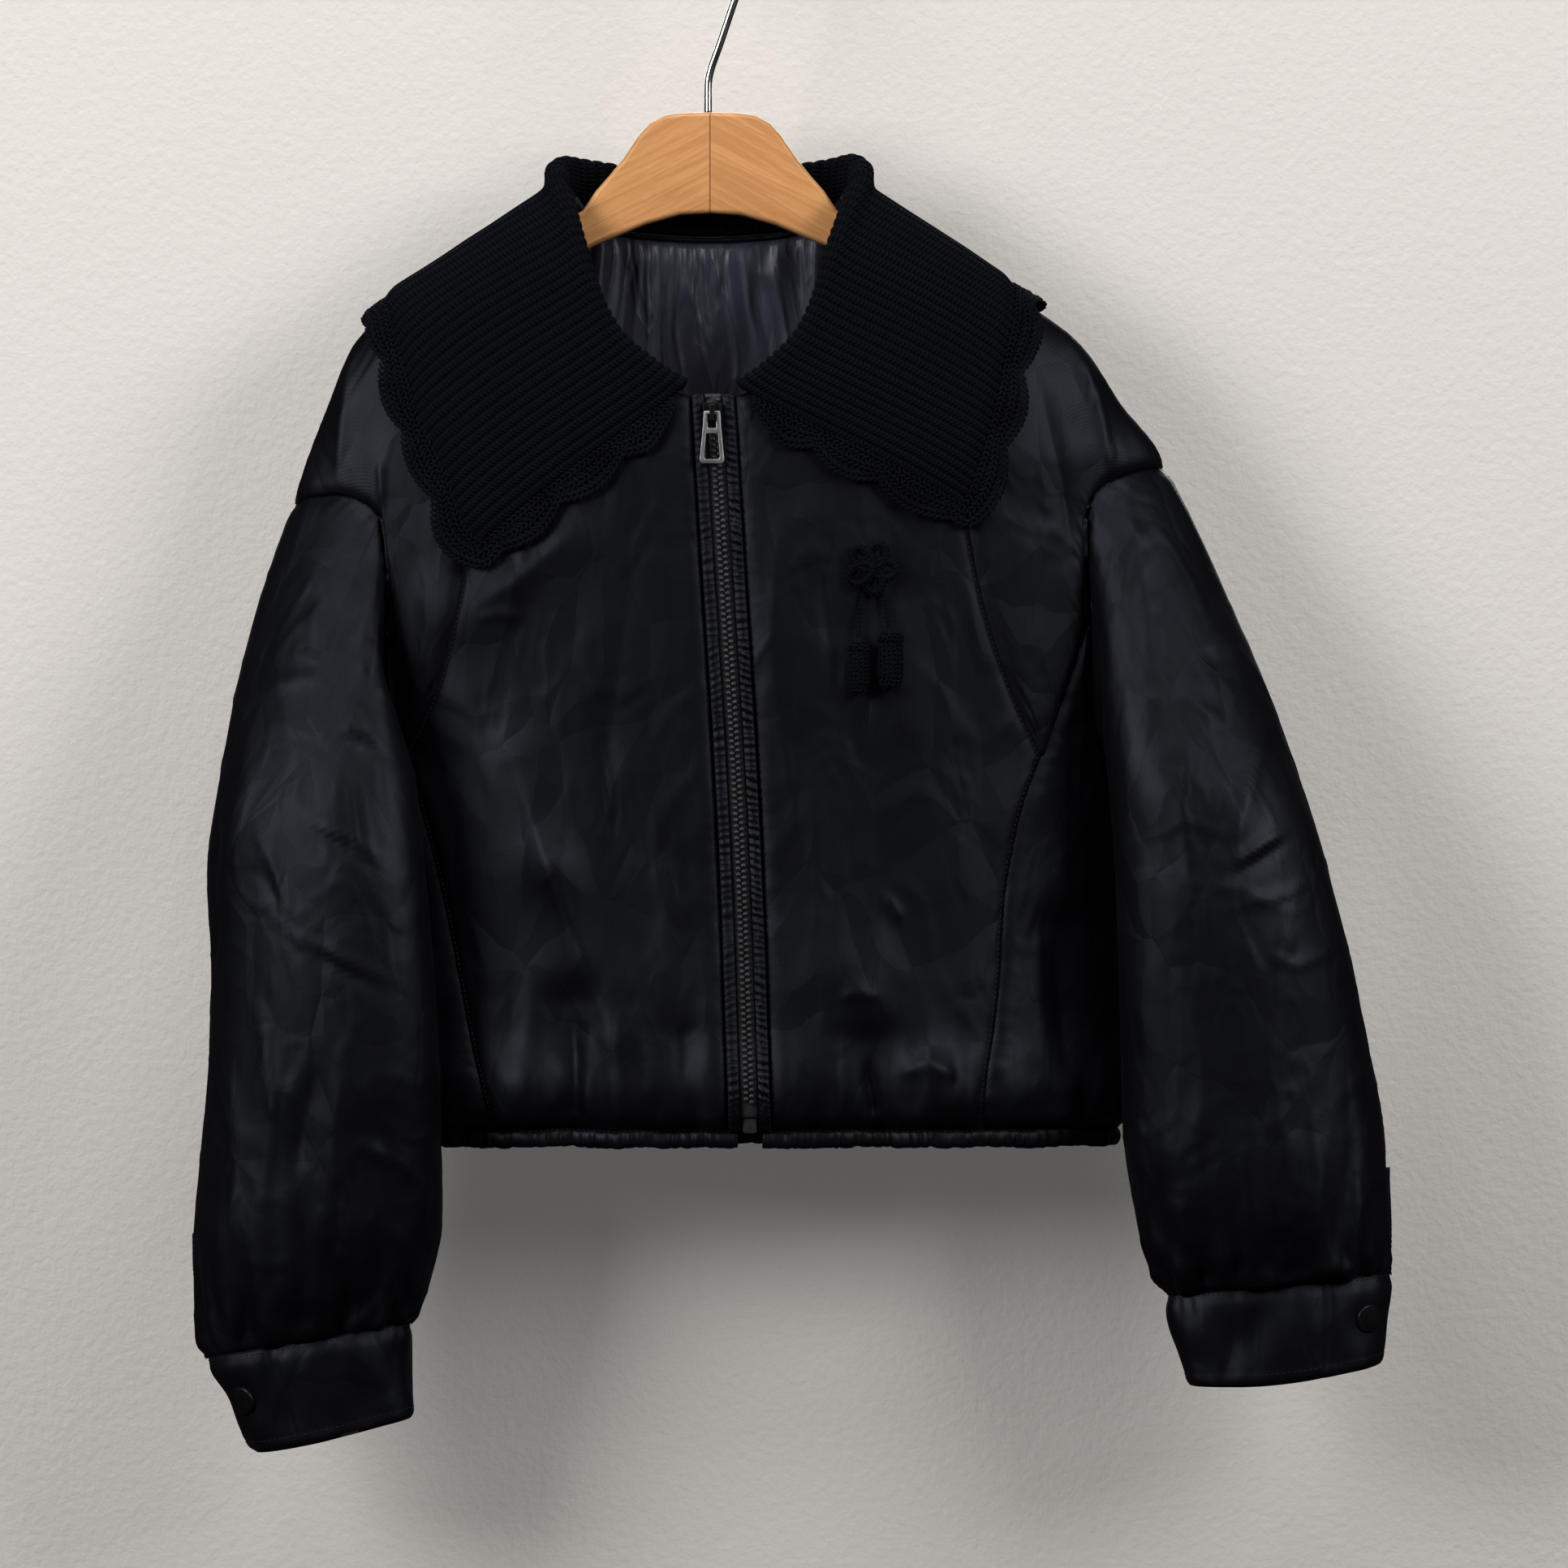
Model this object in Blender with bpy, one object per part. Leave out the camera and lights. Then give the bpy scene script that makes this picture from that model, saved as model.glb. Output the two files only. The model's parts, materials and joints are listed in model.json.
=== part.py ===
"""A cropped down jacket with a big rib-knit collar, zipped up and hanging on a wooden hanger.

Sizes are in millimetres and are scaled to metres when a mesh is made. The origin is the inside top of the hanger's
hook, +Z is up and the front of the jacket faces -Y. Right and left in the names are the wearer's, so the right side
is at -X. A place on the shell is given by an angle round the body (0 at the middle of the front, 90 degrees at the
left side, 180 behind) and a height.
"""

import math

import bmesh
import bpy
import numpy as np
from mathutils import Vector

MM = 0.001

# Driving sizes, in millimetres.
WALL = 5.0  # padded shell
GAP = 0.68  # between two pieces at a seam
SQUARENESS = 0.88  # 1 gives elliptical sections, less gives fuller corners

NECK_TOP_Z = -138.0  # where the shoulder seam meets the neck
PRINCESS_TOP_Z = -160.0  # where the princess seam leaves the shoulder seam
SHOULDER_TIP_Z = {-1: -303.0, 1: -283.5}  # where the shoulder seam meets the sleeve
UNDERARM_Z = -447.0
HEM_Z = -636.5
CASING_BOTTOM_Z = -646.0
ZIP_TOP_Z = -247.5
SLIDER_Z = -257.0

COLLAR_THICK = 4.4
COLLAR_CLEAR = 1.8  # under the fall
RIB_HEIGHT = 1.0
FRONT_RIBS = 28  # on each front
BACK_RIBS = 36
LACE_THICK = 3.2
LACE_WIDTH = 12.0
LACE_END_COLUMNS = 15  # along the front end of each fall
LACE_EDGE_COLUMNS = (19, 46, 17)  # up the right side, across the back and down the left side
SCALLOP_PITCH = 40.0

LINING_THICK = 1.6
LINING_GATHERS = 15
CUFF_WALL = 3.5
CASING_PUCKERS = 60

TAPE_HALF = 4.6
WELT_HALF = 11.2
CHAIN_HALF = 2.9

HOOK_WIRE = 4.0
HOOK_RADIUS = 19.0  # of the wire's centreline
WOOD_TOP_Z = -95.0
WOOD_THICK = 13.0

# Sections of the body: half of it is on each side of the line from `right` to `left`, `front` and `back` deep from
# the side line at depth `side`.
BODY_COLUMNS = ("z", "right", "left", "side", "front", "back")
BODY_ROWS = (
    (-118, -48, 46, 0, 14, 15),
    (-128, -64, 62, 0, 17, 18),
    (-138, -79, 80, 0, 20, 21),
    (-160, -112, 114, 0, 28, 24),
    (-185, -150, 152, 1, 36, 27),
    (-206, -180, 186, 2, 41, 29),
    (-219, -190, 200, 3, 44, 30),
    (-248, -203, 220, 5, 49, 31),
    (-283, -216.5, 244, 8, 54, 30),
    (-303, -222, 243, 10, 56, 28),
    (-340, -214, 239, 13, 60, 25),
    (-400, -196, 230, 17, 65, 20),
    (-447, -184, 224, 20, 68, 17),
    (-500, -183, 224, 20, 69, 16),
    (-580, -184, 225, 20, 72, 17),
    (-612, -187, 228, 20, 76, 20),
    (-628, -184, 225, 20, 73, 18),
    (-636.5, -178, 220, 20, 66, 13),
    (-648, -174, 216, 20, 63, 11),
)

# Seams, as points seen from the front.
ZIP_LINE = ((2.6, -244), (5.6, -295), (17.2, -490), (22.6, -640))
NECKLINE = {
    -1: ((-9.0, -247.5), (-15, -245.5), (-32, -235), (-54.6, -213), (-71, -170), (-79, NECK_TOP_Z)),
    1: ((14.0, -247.5), (20, -245.5), (34, -236), (56, -213), (70, -170), (80, NECK_TOP_Z)),
}
BACK_NECK = ((80, NECK_TOP_Z), (66, -151), (40, -158), (0, -160), (-40, -158), (-66, -151), (-79, NECK_TOP_Z))
PRINCESS = {
    -1: ((-112, PRINCESS_TOP_Z), (-116, -205), (-122, -262), (-129.4, -333), (-134.6, -363), (-141.9, -393),
         (-153.9, -422), (-162, -437)),
    1: ((114, PRINCESS_TOP_Z), (121, -205), (130, -262), (139.8, -324), (144.9, -349), (152.2, -375), (163, -405),
        (177.6, -437)),
}
LOWER_PRINCESS = {
    -1: ((-162, -437), (-150.5, -475), (-141.9, -509), (-132, -558), (-124.7, -595), (-118.7, -621), (-116.3, HEM_Z)),
    1: ((177.6, -437), (168, -463), (161.7, -490), (157.8, -514), (155.7, -551), (152.2, -583), (148.4, -607),
        (146.2, HEM_Z)),
}
ARMHOLE_TOP = {
    -1: ((-222, -303), (-212, -299.5), (-197, -298.8), (-182.5, -303), (-173, -311)),
    1: ((244, -283.5), (230, -286), (216.3, -290.7), (207, -297), (202.5, -304)),
}
ARMHOLE_SIDE = {
    -1: ((-173, -311), (-170.5, -329), (-170, -350), (-170.5, -372)),
    1: ((202.5, -304), (200.4, -317), (201.2, -338), (202.5, -368)),
}
ARMHOLE_LOW = {
    -1: ((-170.5, -372), (-171.5, -405), (-174, -428), (-178, -440), (-184, UNDERARM_Z)),
    1: ((202.5, -368), (204.5, -405), (207, -428), (213, -441), (224, UNDERARM_Z)),
}
ARMHOLE_BACK = {
    -1: ((-222, -303), (-205, -301), (-190, -304), (-180, -313), (-174.5, -330), (-173, -355), (-173.5, -385),
         (-176, -412), (-180, -431), (-184, UNDERARM_Z)),
    1: ((244, -283.5), (230, -285.5), (217, -290), (209, -299), (205, -315), (204, -340), (206, -370),
        (210, -400), (216, -426), (224, UNDERARM_Z)),
}
POINT_SEAM = {
    -1: ((-170.5, -372), (-167.5, -400), (-163.8, -437)),
    1: ((202.5, -368), (192.2, -400), (179.4, -437)),
}

# Main folds: a ridge (+) or trough (-) from one point to another on the front or the back.
FOLD_COLUMNS = ("face", "x0", "z0", "x1", "z1", "width", "height")
FOLD_ROWS = (
    ("front", -103, -441, -83, -497, 20, 4.0),
    ("front", -83, -497, -52, -583, 18, 5.0),
    ("front", -72, -570, -70, -640, 15, -6.0),
    ("front", -14, -587, -13, -640, 14, -3.0),
    ("front", -129, -363, -71, -322, 18, 3.0),
    ("front", 78, -560, 80, -575, 24, 5.0),
    ("front", 85, -590, 92, -640, 14, -7.0),
    ("front", 120, -605, 122, -620, 18, 4.0),
    ("front", 188, -531, 190, -620, 15, -5.0),
    ("front", -100, -612, -98, -622, 18, 3.0),
    ("back", -95, -440, -60, -570, 22, 4.0),
    ("back", 120, -430, 84, -560, 24, 4.5),
    ("back", -62, -575, -60, -640, 16, -5.0),
    ("back", 12, -560, 16, -640, 18, -4.0),
    ("back", 96, -580, 92, -640, 15, -6.0),
    ("back", -130, -590, -132, -640, 16, -4.0),
)

# Sleeve rings: outer and inner edge of each ring seen from the front, its middle's depth, its half depth, and how
# much further forward its inner edge is than its middle.
SLEEVE_COLUMNS = ("outer_x", "outer_z", "inner_x", "inner_z", "middle", "half_depth", "lean")
SLEEVE_ROWS = {
    -1: (
        (-262, -473, -154, -449, -46, 39, 8),
        (-264.5, -502, -149.5, -490, -50, 40, 11),
        (-263, -545, -145, -538, -52, 41, 12),
        (-263.5, -590, -142, -585, -52, 41, 12),
        (-266, -625, -140.6, -622, -50, 41, 11),
        (-269, -660, -140.3, -654, -46, 42, 8),
        (-271.5, -690, -141, -682, -43, 42, 4),
        (-270.5, -717, -144.5, -705, -40, 38, 2),
        (-267.5, -740, -150.5, -724, -38, 32, 0),
        (-264.6, -756.2, -156.4, -737.6, -38, 27.5, 0),
    ),
    1: (
        (320.5, -471, 211.5, -447, -40, 40, 3),
        (331, -510, 215, -490, -42, 42, 4),
        (342, -552, 216.8, -535, -42, 43, 4),
        (349.6, -592, 218, -578, -41, 43, 4),
        (356.9, -628, 219.3, -620, -40, 43, 3),
        (359.5, -655, 222, -652, -40, 43, 2),
        (360.3, -680, 227.5, -681, -39, 41, 1),
        (360.6, -698, 232.5, -703, -38, 36, 0),
        (360.4, -711.6, 242.6, -723.4, -38, 27.5, 0),
    ),
}
CUFF_ROWS = {
    -1: (
        (-263.6, -756.8, -156.8, -738.3, -38, 26.5, 0),
        (-254, -777, -156.2, -760, -38, 26.0, 0),
        (-248, -793, -155.8, -776, -37, 25.5, 0),
        (-242, -804, -155.8, -787, -37, 25.0, 0),
    ),
    1: (
        (361.6, -712.3, 242.9, -724.1, -38, 26.5, 0),
        (360.0, -729, 246.5, -741, -38, 26.0, 0),
        (358.0, -744, 249.5, -756, -37, 25.5, 0),
        (355.5, -757.5, 252, -769, -37, 25.0, 0),
    ),
}
SNAP_SPOTS = {-1: (-244.7, -777.8), 1: (348.7, -734.4)}
# Rings between the armhole and the first full ring: how far along, and how far the part that folds over the body
# stands out and forward.
CAP_ROWS = ((0.16, 7.0, 8.0), (0.36, 5.0, 9.0), (0.58, 2.0, 6.0), (0.79, 0.5, 2.5))
FOLD_OVER = {-1: 1.0, 1: 0.5}
CAP_BULGE = {-1: 5.5, 1: 5.0}  # how far the cap swells outwards between the armhole and the first full ring
CAP_FRONT_BULGE = 7.0

# The collar's outer edge, from the front corner over the shoulder to the middle of the back.
COLLAR_EDGE_FRONT = {
    -1: ((-119.3, -325), (-127.3, -318), (-133, -303), (-142.8, -278), (-153, -258), (-157.8, -239), (-163.8, -219),
         (-168, -197.6)),
    1: ((134, -304.7), (138.7, -295.4), (144.9, -278.2), (149.6, -261), (154.4, -242), (157.4, -223.6),
        (161.5, -203), (161, -189.8)),
}
COLLAR_EDGE_BACK = {
    -1: ((-168, -197.6), (-150, -216), (-120, -229), (-60, -236), (0, -237)),
    1: ((161, -189.8), (150, -208), (120, -225), (60, -235), (0, -237)),
}
# How far the roll stands beyond the neck seam, by the angle round the neck.
ROLL_COLUMNS = ("angle", "height")
ROLL_ROWS = ((-180, 38), (-140, 32), (-110, 21), (-90, 15), (-60, 9.5), (0, 8.0), (60, 9.5), (90, 15), (110, 21),
             (140, 32), (180, 38))

HANGER_TOP = ((1.7, -95.0), (14, -95.2), (24, -96.6), (32, -101), (38, -107.5), (46, -119.5), (54, -129.0),
              (61, -137.0), (68, -147.5))
HANGER_BOTTOM = ((0, -148.6), (16, -149.6), (34, -154.5), (61, -165.5), (100, -187), (140, -214), (166, -236))
ARM_END = {-1: -174.0, 1: 178.0}
ARM_DROP = 4.0  # below the highest place a straight-sided arm could take

CHARM_BOW = (86.4, -338.0)
CHARM_PODS = ((79.3, -391.0), (96.1, -387.0))


# ---------------------------------------------------------------- curves and tables
def column_curve(keys, values):
    """A smooth curve through the values that never overshoots them."""
    keys, values = np.asarray(keys, float), np.asarray(values, float)
    if keys[0] > keys[-1]:
        keys, values = keys[::-1], values[::-1]
    step = np.diff(keys)
    rise = np.diff(values) / step
    slope = np.zeros(len(keys))
    slope[0], slope[-1] = rise[0], rise[-1]
    for i in range(1, len(keys) - 1):
        if rise[i - 1] * rise[i] > 0:
            a, b = 2 * step[i] + step[i - 1], step[i] + 2 * step[i - 1]
            slope[i] = (a + b) / (a / rise[i - 1] + b / rise[i])

    def at(key):
        k = np.clip(np.searchsorted(keys, key) - 1, 0, len(step) - 1)
        t = (key - keys[k]) / step[k]
        t = min(max(t, 0.0), 1.0)
        return float(
            values[k] * (1 + 2 * t) * (1 - t) ** 2
            + values[k + 1] * t * t * (3 - 2 * t)
            + step[k] * (slope[k] * t * (1 - t) ** 2 - slope[k + 1] * t * t * (1 - t))
        )

    return at


def table_curves(columns, rows):
    """One curve for each column, over the first column."""
    keys = [row[0] for row in rows]
    return {name: column_curve(keys, [row[i + 1] for row in rows]) for i, name in enumerate(columns[1:])}


def path_points(points, count):
    """count + 1 points evenly along a smooth path through the points."""
    points = np.asarray(points, float)
    length = np.concatenate([[0], np.cumsum(np.linalg.norm(np.diff(points, axis=0), axis=1))])
    axes = [column_curve(length, points[:, i]) for i in range(points.shape[1])]
    fine = np.linspace(0, length[-1], 12 * len(points))
    dense = np.array([[axis(t) for axis in axes] for t in fine])
    run = np.concatenate([[0], np.cumsum(np.linalg.norm(np.diff(dense, axis=0), axis=1))])
    even = np.linspace(0, run[-1], count + 1)
    return np.array([[np.interp(t, run, dense[:, i]) for i in range(dense.shape[1])] for t in even])


def unit(vector):
    return vector / max(np.linalg.norm(vector), 1e-9)


# ---------------------------------------------------------------- the body's form
BODY = table_curves(BODY_COLUMNS, BODY_ROWS)


def section(z):
    right, left = BODY["right"](z), BODY["left"](z)
    return (right + left) / 2, (left - right) / 2, BODY["side"](z), BODY["front"](z), BODY["back"](z)


def signed_power(value, power):
    return math.copysign(abs(value) ** power, value)


def fold_depth(x, z, face):
    total = 0.0
    for row in FOLD_ROWS:
        fold = dict(zip(FOLD_COLUMNS, row))
        if fold["face"] != face:
            continue
        start = np.array([fold["x0"], fold["z0"]])
        along = np.array([fold["x1"], fold["z1"]]) - start
        t = np.clip(np.dot(np.array([x, z]) - start, along) / np.dot(along, along), 0, 1)
        away = np.linalg.norm(np.array([x, z]) - start - t * along)
        total += fold["height"] * math.exp(-((away / fold["width"]) ** 2))
    return total


def body_point(angle, z, inside=False):
    """A point of the shell's outer surface, or of its inner one."""
    middle, half, side, front, back = section(z)
    if inside:
        slope = (section(z + 1)[1] - section(z - 1)[1]) / 2
        half -= WALL * min(math.sqrt(1 + slope * slope), 2.2)
        front -= WALL
        back -= WALL
    x = middle + half * signed_power(math.sin(angle), SQUARENESS)
    across = signed_power(math.cos(angle), SQUARENESS)
    y = side - (front if across > 0 else back) * across
    fade = min(abs(across) * 1.6, 1.0)
    depth = fold_depth(x, z, "front" if across > 0 else "back") * fade
    return np.array([x, y - depth if across > 0 else y + depth, z])


def angle_at(x, z, behind=False):
    """The angle round the body of a point seen from the front, or from behind."""
    middle, half, *_ = section(z)
    share = np.clip((x - middle) / half, -1, 1)
    angle = math.asin(signed_power(share, 1 / SQUARENESS))
    return (math.pi - angle if angle >= 0 else -math.pi - angle) if behind else angle


def body_normal(angle, z):
    small = 0.01
    round_ = body_point(angle + small, z) - body_point(angle - small, z)
    up = body_point(angle, z + 1.5) - body_point(angle, z - 1.5)
    return unit(np.cross(round_, up))


def on_body(angle, z, out):
    """A point of the shell moved out by so much."""
    return body_point(angle, z) + body_normal(angle, z) * out


def angle_of_point(point):
    """The angle at which the body's section, seen from its middle, has this point."""
    middle, half, side, front, back = section(point[2])
    across = (side - point[1]) / (front if point[1] < side else back)
    return math.atan2(
        signed_power((point[0] - middle) / half, 1 / SQUARENESS), signed_power(across, 1 / SQUARENESS)
    )


# ---------------------------------------------------------------- meshes
def new_material(name, colour, roughness, metallic=0.0):
    made = bpy.data.materials.new(name)
    made.use_nodes = True
    shader = made.node_tree.nodes["Principled BSDF"]
    shader.inputs["Base Color"].default_value = (*colour, 1)
    shader.inputs["Roughness"].default_value = roughness
    shader.inputs["Metallic"].default_value = metallic
    return made


def add_object(name, points, faces, material, origin=(0, 0, 0)):
    """A closed object from points in millimetres."""
    mesh = bpy.data.meshes.new(name)
    shape = bmesh.new()
    corner = np.asarray(origin, float)
    verts = [shape.verts.new(((np.asarray(p, float) - corner) * MM).tolist()) for p in points]
    for face in faces:
        ring = [verts[i] for i in face]
        if len(set(ring)) == len(ring):
            shape.faces.new(ring)
    bmesh.ops.remove_doubles(shape, verts=shape.verts, dist=2e-6)
    bmesh.ops.recalc_face_normals(shape, faces=shape.faces)
    bmesh.ops.triangulate(shape, faces=shape.faces)
    if shape.calc_volume(signed=True) < 0:
        bmesh.ops.reverse_faces(shape, faces=shape.faces)
    shape.to_mesh(mesh)
    shape.free()
    mesh.shade_smooth()
    mesh.set_sharp_from_angle(angle=math.radians(50))
    mesh.materials.append(material)
    made = bpy.data.objects.new(name, mesh)
    made.location = Vector((corner * MM).tolist())
    bpy.context.scene.collection.objects.link(made)
    return made


def shrink_edges(outer, inner, sides, amount=GAP / 2):
    """Moves the named border rows and columns in, so that the piece beside it stays a gap away."""
    for grid, share in ((outer, 1.0), (inner, 2.0)):
        fresh = grid.copy()
        for here, near in (((0, slice(None)), (1, slice(None))), ((-1, slice(None)), (-2, slice(None))),
                           ((slice(None), 0), (slice(None), 1)), ((slice(None), -1), (slice(None), -2))):
            key = {0: "top", -1: "bottom"}[here[0]] if isinstance(here[0], int) else {0: "first", -1: "last"}[here[1]]
            if key not in sides:
                continue
            way = grid[near] - grid[here]
            size = np.maximum(np.linalg.norm(way, axis=-1, keepdims=True), 1e-6)
            fresh[here] += way / size * np.minimum(amount * share, 0.4 * size)
        grid[:] = fresh


def wall(name, outer, inner, material, closed=False):
    """A closed wall between two grids of points of one shape. closed joins the last column to the first."""
    rows, columns = outer.shape[:2]
    points = list(outer.reshape(-1, 3)) + list(inner.reshape(-1, 3))
    half = rows * columns

    def at(row, column, layer):
        return layer * half + row * columns + column % columns

    faces = []
    steps = columns if closed else columns - 1
    for row in range(rows - 1):
        for column in range(steps):
            ring = [at(row, column, 0), at(row, column + 1, 0), at(row + 1, column + 1, 0), at(row + 1, column, 0)]
            faces.append(ring)
            faces.append([i + half for i in reversed(ring)])
    for column in range(steps):
        faces.append([at(0, column + 1, 0), at(0, column, 0), at(0, column, 1), at(0, column + 1, 1)])
        faces.append([at(rows - 1, column, 0), at(rows - 1, column + 1, 0), at(rows - 1, column + 1, 1),
                      at(rows - 1, column, 1)])
    if not closed:
        for row in range(rows - 1):
            faces.append([at(row, 0, 0), at(row + 1, 0, 0), at(row + 1, 0, 1), at(row, 0, 1)])
            faces.append([at(row + 1, columns - 1, 0), at(row, columns - 1, 0), at(row, columns - 1, 1),
                          at(row + 1, columns - 1, 1)])
    return add_object(name, points, faces, material)


def ribbed_wall(name, outer, inner, ratio, material):
    """A wall whose outer grid has ratio times as many columns as its plain inner grid."""
    rows, columns = outer.shape[:2]
    plain = inner.shape[1]
    points = list(outer.reshape(-1, 3)) + list(inner.reshape(-1, 3))
    base = rows * columns
    faces = []
    for row in range(rows - 1):
        for column in range(columns - 1):
            i = row * columns + column
            faces.append([i, i + 1, i + columns + 1, i + columns])
        for column in range(plain - 1):
            i = base + row * plain + column
            faces.append([i + plain, i + plain + 1, i + 1, i])
    for row, turn in ((0, False), (rows - 1, True)):
        for column in range(plain - 1):
            first = base + row * plain + column
            fan = [row * columns + ratio * column + k for k in range(ratio + 1)]
            middle = ratio // 2
            ring = [[first, fan[k + 1], fan[k]] for k in range(middle)]
            ring.append([first, first + 1, fan[middle]])
            ring += [[first + 1, fan[k + 1], fan[k]] for k in range(middle, ratio)]
            faces += [list(reversed(face)) for face in ring] if turn else ring
    for row in range(rows - 1):
        near, far = row * columns, base + row * plain
        faces.append([near, near + columns, far + plain, far])
        near, far = near + columns - 1, far + plain - 1
        faces.append([near + columns, near, far, far + plain])
    return add_object(name, points, faces, material)


def tube(name, path, radius, sides, material, flatten=1.0):
    """A round tube with flat ends along a path in millimetres."""
    path = np.asarray(path, float)
    points, faces = [], []
    side = None
    for i, here in enumerate(path):
        along = unit(path[min(i + 1, len(path) - 1)] - path[max(i - 1, 0)])
        if side is None:
            side = unit(np.cross(along, (0, 1, 0) if abs(along[1]) < 0.9 else (1, 0, 0)))
        side = unit(side - along * np.dot(side, along))
        up = np.cross(along, side)
        size = radius[i] if hasattr(radius, "__len__") else radius
        for k in range(sides):
            turn = 2 * math.pi * k / sides
            points.append(here + size * (side * math.cos(turn) + up * math.sin(turn) * flatten))
    for i in range(len(path) - 1):
        for k in range(sides):
            a, b = i * sides + k, i * sides + (k + 1) % sides
            faces.append([a, b, b + sides, a + sides])
    faces.append(list(reversed(range(sides))))
    faces.append([(len(path) - 1) * sides + k for k in range(sides)])
    return add_object(name, points, faces, material)


def plate(name, outline, thick, material, place, holes=(), origin=None):
    """A flat plate in the XZ plane from outline points, with holes, its front at place's depth."""
    shape = bmesh.new()
    loops = [outline, *holes]
    edges = []
    for loop in loops:
        verts = [shape.verts.new((x, 0, z)) for x, z in loop]
        edges += [shape.edges.new((verts[i], verts[(i + 1) % len(verts)])) for i in range(len(verts))]
    bmesh.ops.triangle_fill(shape, use_beauty=True, edges=edges)
    shape.verts.ensure_lookup_table()
    count = len(shape.verts)
    front = [np.array([v.co.x, 0, v.co.z]) + place for v in shape.verts]
    faces = [[v.index for v in f.verts] for f in shape.faces if f.normal.y < 0]
    faces += [[v.index for v in reversed(f.verts)] for f in shape.faces if f.normal.y >= 0]
    points = front + [p + np.array([0, thick, 0]) for p in front]
    closed = list(faces) + [[i + count for i in reversed(f)] for f in faces]
    start = 0
    for loop in loops:
        n = len(loop)
        for i in range(n):
            a, b = start + i, start + (i + 1) % n
            closed.append([a, b, b + count, a + count])
        start += n
    shape.free()
    return add_object(name, points, closed, material, origin if origin is not None else (0, 0, 0))


# ---------------------------------------------------------------- the shell
SATIN = KNIT = LINING = METAL = WIRE = WOOD = TAPE = None
SIDE_NAME = {-1: "right", 1: "left"}
NECK_STEPS, PRINCESS_STEPS, LOWER_STEPS = 7, 11, 9
SHOULDER_STEPS, ARM_TOP_STEPS, ARM_SIDE_STEPS, ARM_LOW_STEPS = 6, 3, 5, 4
SEAM_STEPS, SIDE_STEPS, BACK_ARM_STEPS, BACK_NECK_STEPS = 3, 8, 9, 9
NECK_SHOULDER_STEPS = 2


def seam(points, steps, behind=False):
    """Even places along a seam, as angle and height."""
    return np.array([[angle_at(x, z, behind), z] for x, z in path_points(points, steps)])


def side_line(side, high, low, steps):
    return np.array([[side * math.pi / 2, z] for z in np.linspace(high, low, steps + 1)])


def level(first, last, steps):
    return np.array([first + (last - first) * t for t in np.linspace(0, 1, steps + 1)])


def zip_x(z):
    return column_curve([p[1] for p in ZIP_LINE], [p[0] for p in ZIP_LINE])(z)


def girth(z, behind):
    """Angles from the middle of the front or of the back to the side, and the way along the shell to each."""
    key = (round(z, 2), behind)
    if key not in known_girths:
        middle, half, _, front, back = section(z)
        turns = np.linspace(0, math.pi / 2, 61)
        x = half * np.sin(turns) ** SQUARENESS
        y = (back if behind else front) * np.maximum(np.cos(turns), 0) ** SQUARENESS
        run = np.concatenate([[0], np.cumsum(np.hypot(np.diff(x), np.diff(y)))])
        known_girths[key] = (middle, turns, run)
    return known_girths[key]


known_girths = {}


def flat_place(place, behind):
    """A place as it lies on the flat cloth: the way across from the middle, and the height."""
    angle, z = place
    middle, turns, run = girth(z, behind)
    angle = angle - 2 * math.pi if angle > math.pi else angle
    turn = math.pi - abs(angle) if behind else abs(angle)
    return np.array([middle + math.copysign(np.interp(turn, turns, run), angle), z])


def body_place(spot, behind):
    """The place on the body of a spot on the flat cloth."""
    middle, turns, run = girth(spot[1], behind)
    across = spot[0] - middle
    turn = float(np.interp(abs(across), run, turns))
    return np.array([math.copysign(math.pi - turn if behind else turn, across), spot[1]])


def patch(top, bottom, first, last, behind=False, fade=1.0):
    """Places over a four-sided panel, blended on the flat cloth from its four edges. A larger fade lets the top's form
    die out sooner."""
    rows, columns = len(first), len(top)
    edges = [np.array([flat_place(place, behind) for place in edge]) for edge in (top, bottom, first, last)]
    top_flat, bottom_flat, first_flat, last_flat = edges
    places = np.zeros((rows, columns, 2))
    places[0], places[-1], places[:, 0], places[:, -1] = top, bottom, first, last
    for i in range(1, rows - 1):
        v = 1 - (1 - i / (rows - 1)) ** fade
        for j in range(1, columns - 1):
            u = j / (columns - 1)
            corners = (1 - u) * ((1 - v) * top_flat[0] + v * bottom_flat[0])
            corners = corners + u * ((1 - v) * top_flat[-1] + v * bottom_flat[-1])
            spot = (1 - v) * top_flat[j] + v * bottom_flat[j] + (1 - u) * first_flat[i] + u * last_flat[i] - corners
            places[i, j] = body_place(spot, behind)
    return places


def panel(name, places, sides=("top", "bottom", "first", "last")):
    outer = np.array([[body_point(a, z) for a, z in row] for row in places])
    inner = np.array([[body_point(a, z, True) for a, z in row] for row in places])
    shrink_edges(outer, inner, sides)
    return wall(name, outer, inner, SATIN)


def armhole_front(side):
    top = seam(ARMHOLE_TOP[side], ARM_TOP_STEPS)
    down = seam(ARMHOLE_SIDE[side], ARM_SIDE_STEPS)
    low = seam(ARMHOLE_LOW[side], ARM_LOW_STEPS)
    top[0, 0] = low[-1, 0] = side * math.pi / 2
    return top, down, low


def armhole_back(side):
    """The armhole's back edge, from the shoulder tip to the underarm."""
    edge = seam(ARMHOLE_BACK[side], BACK_ARM_STEPS, behind=True)
    edge[0, 0] = edge[-1, 0] = side * math.pi / 2
    return edge


def unwrapped(places, side):
    """Angles behind the body, carried on past 180 degrees so that they run one way."""
    fresh = places.copy()
    fresh[:, 0] = np.where(fresh[:, 0] < 0, fresh[:, 0] + 2 * math.pi, fresh[:, 0])
    return fresh


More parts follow.
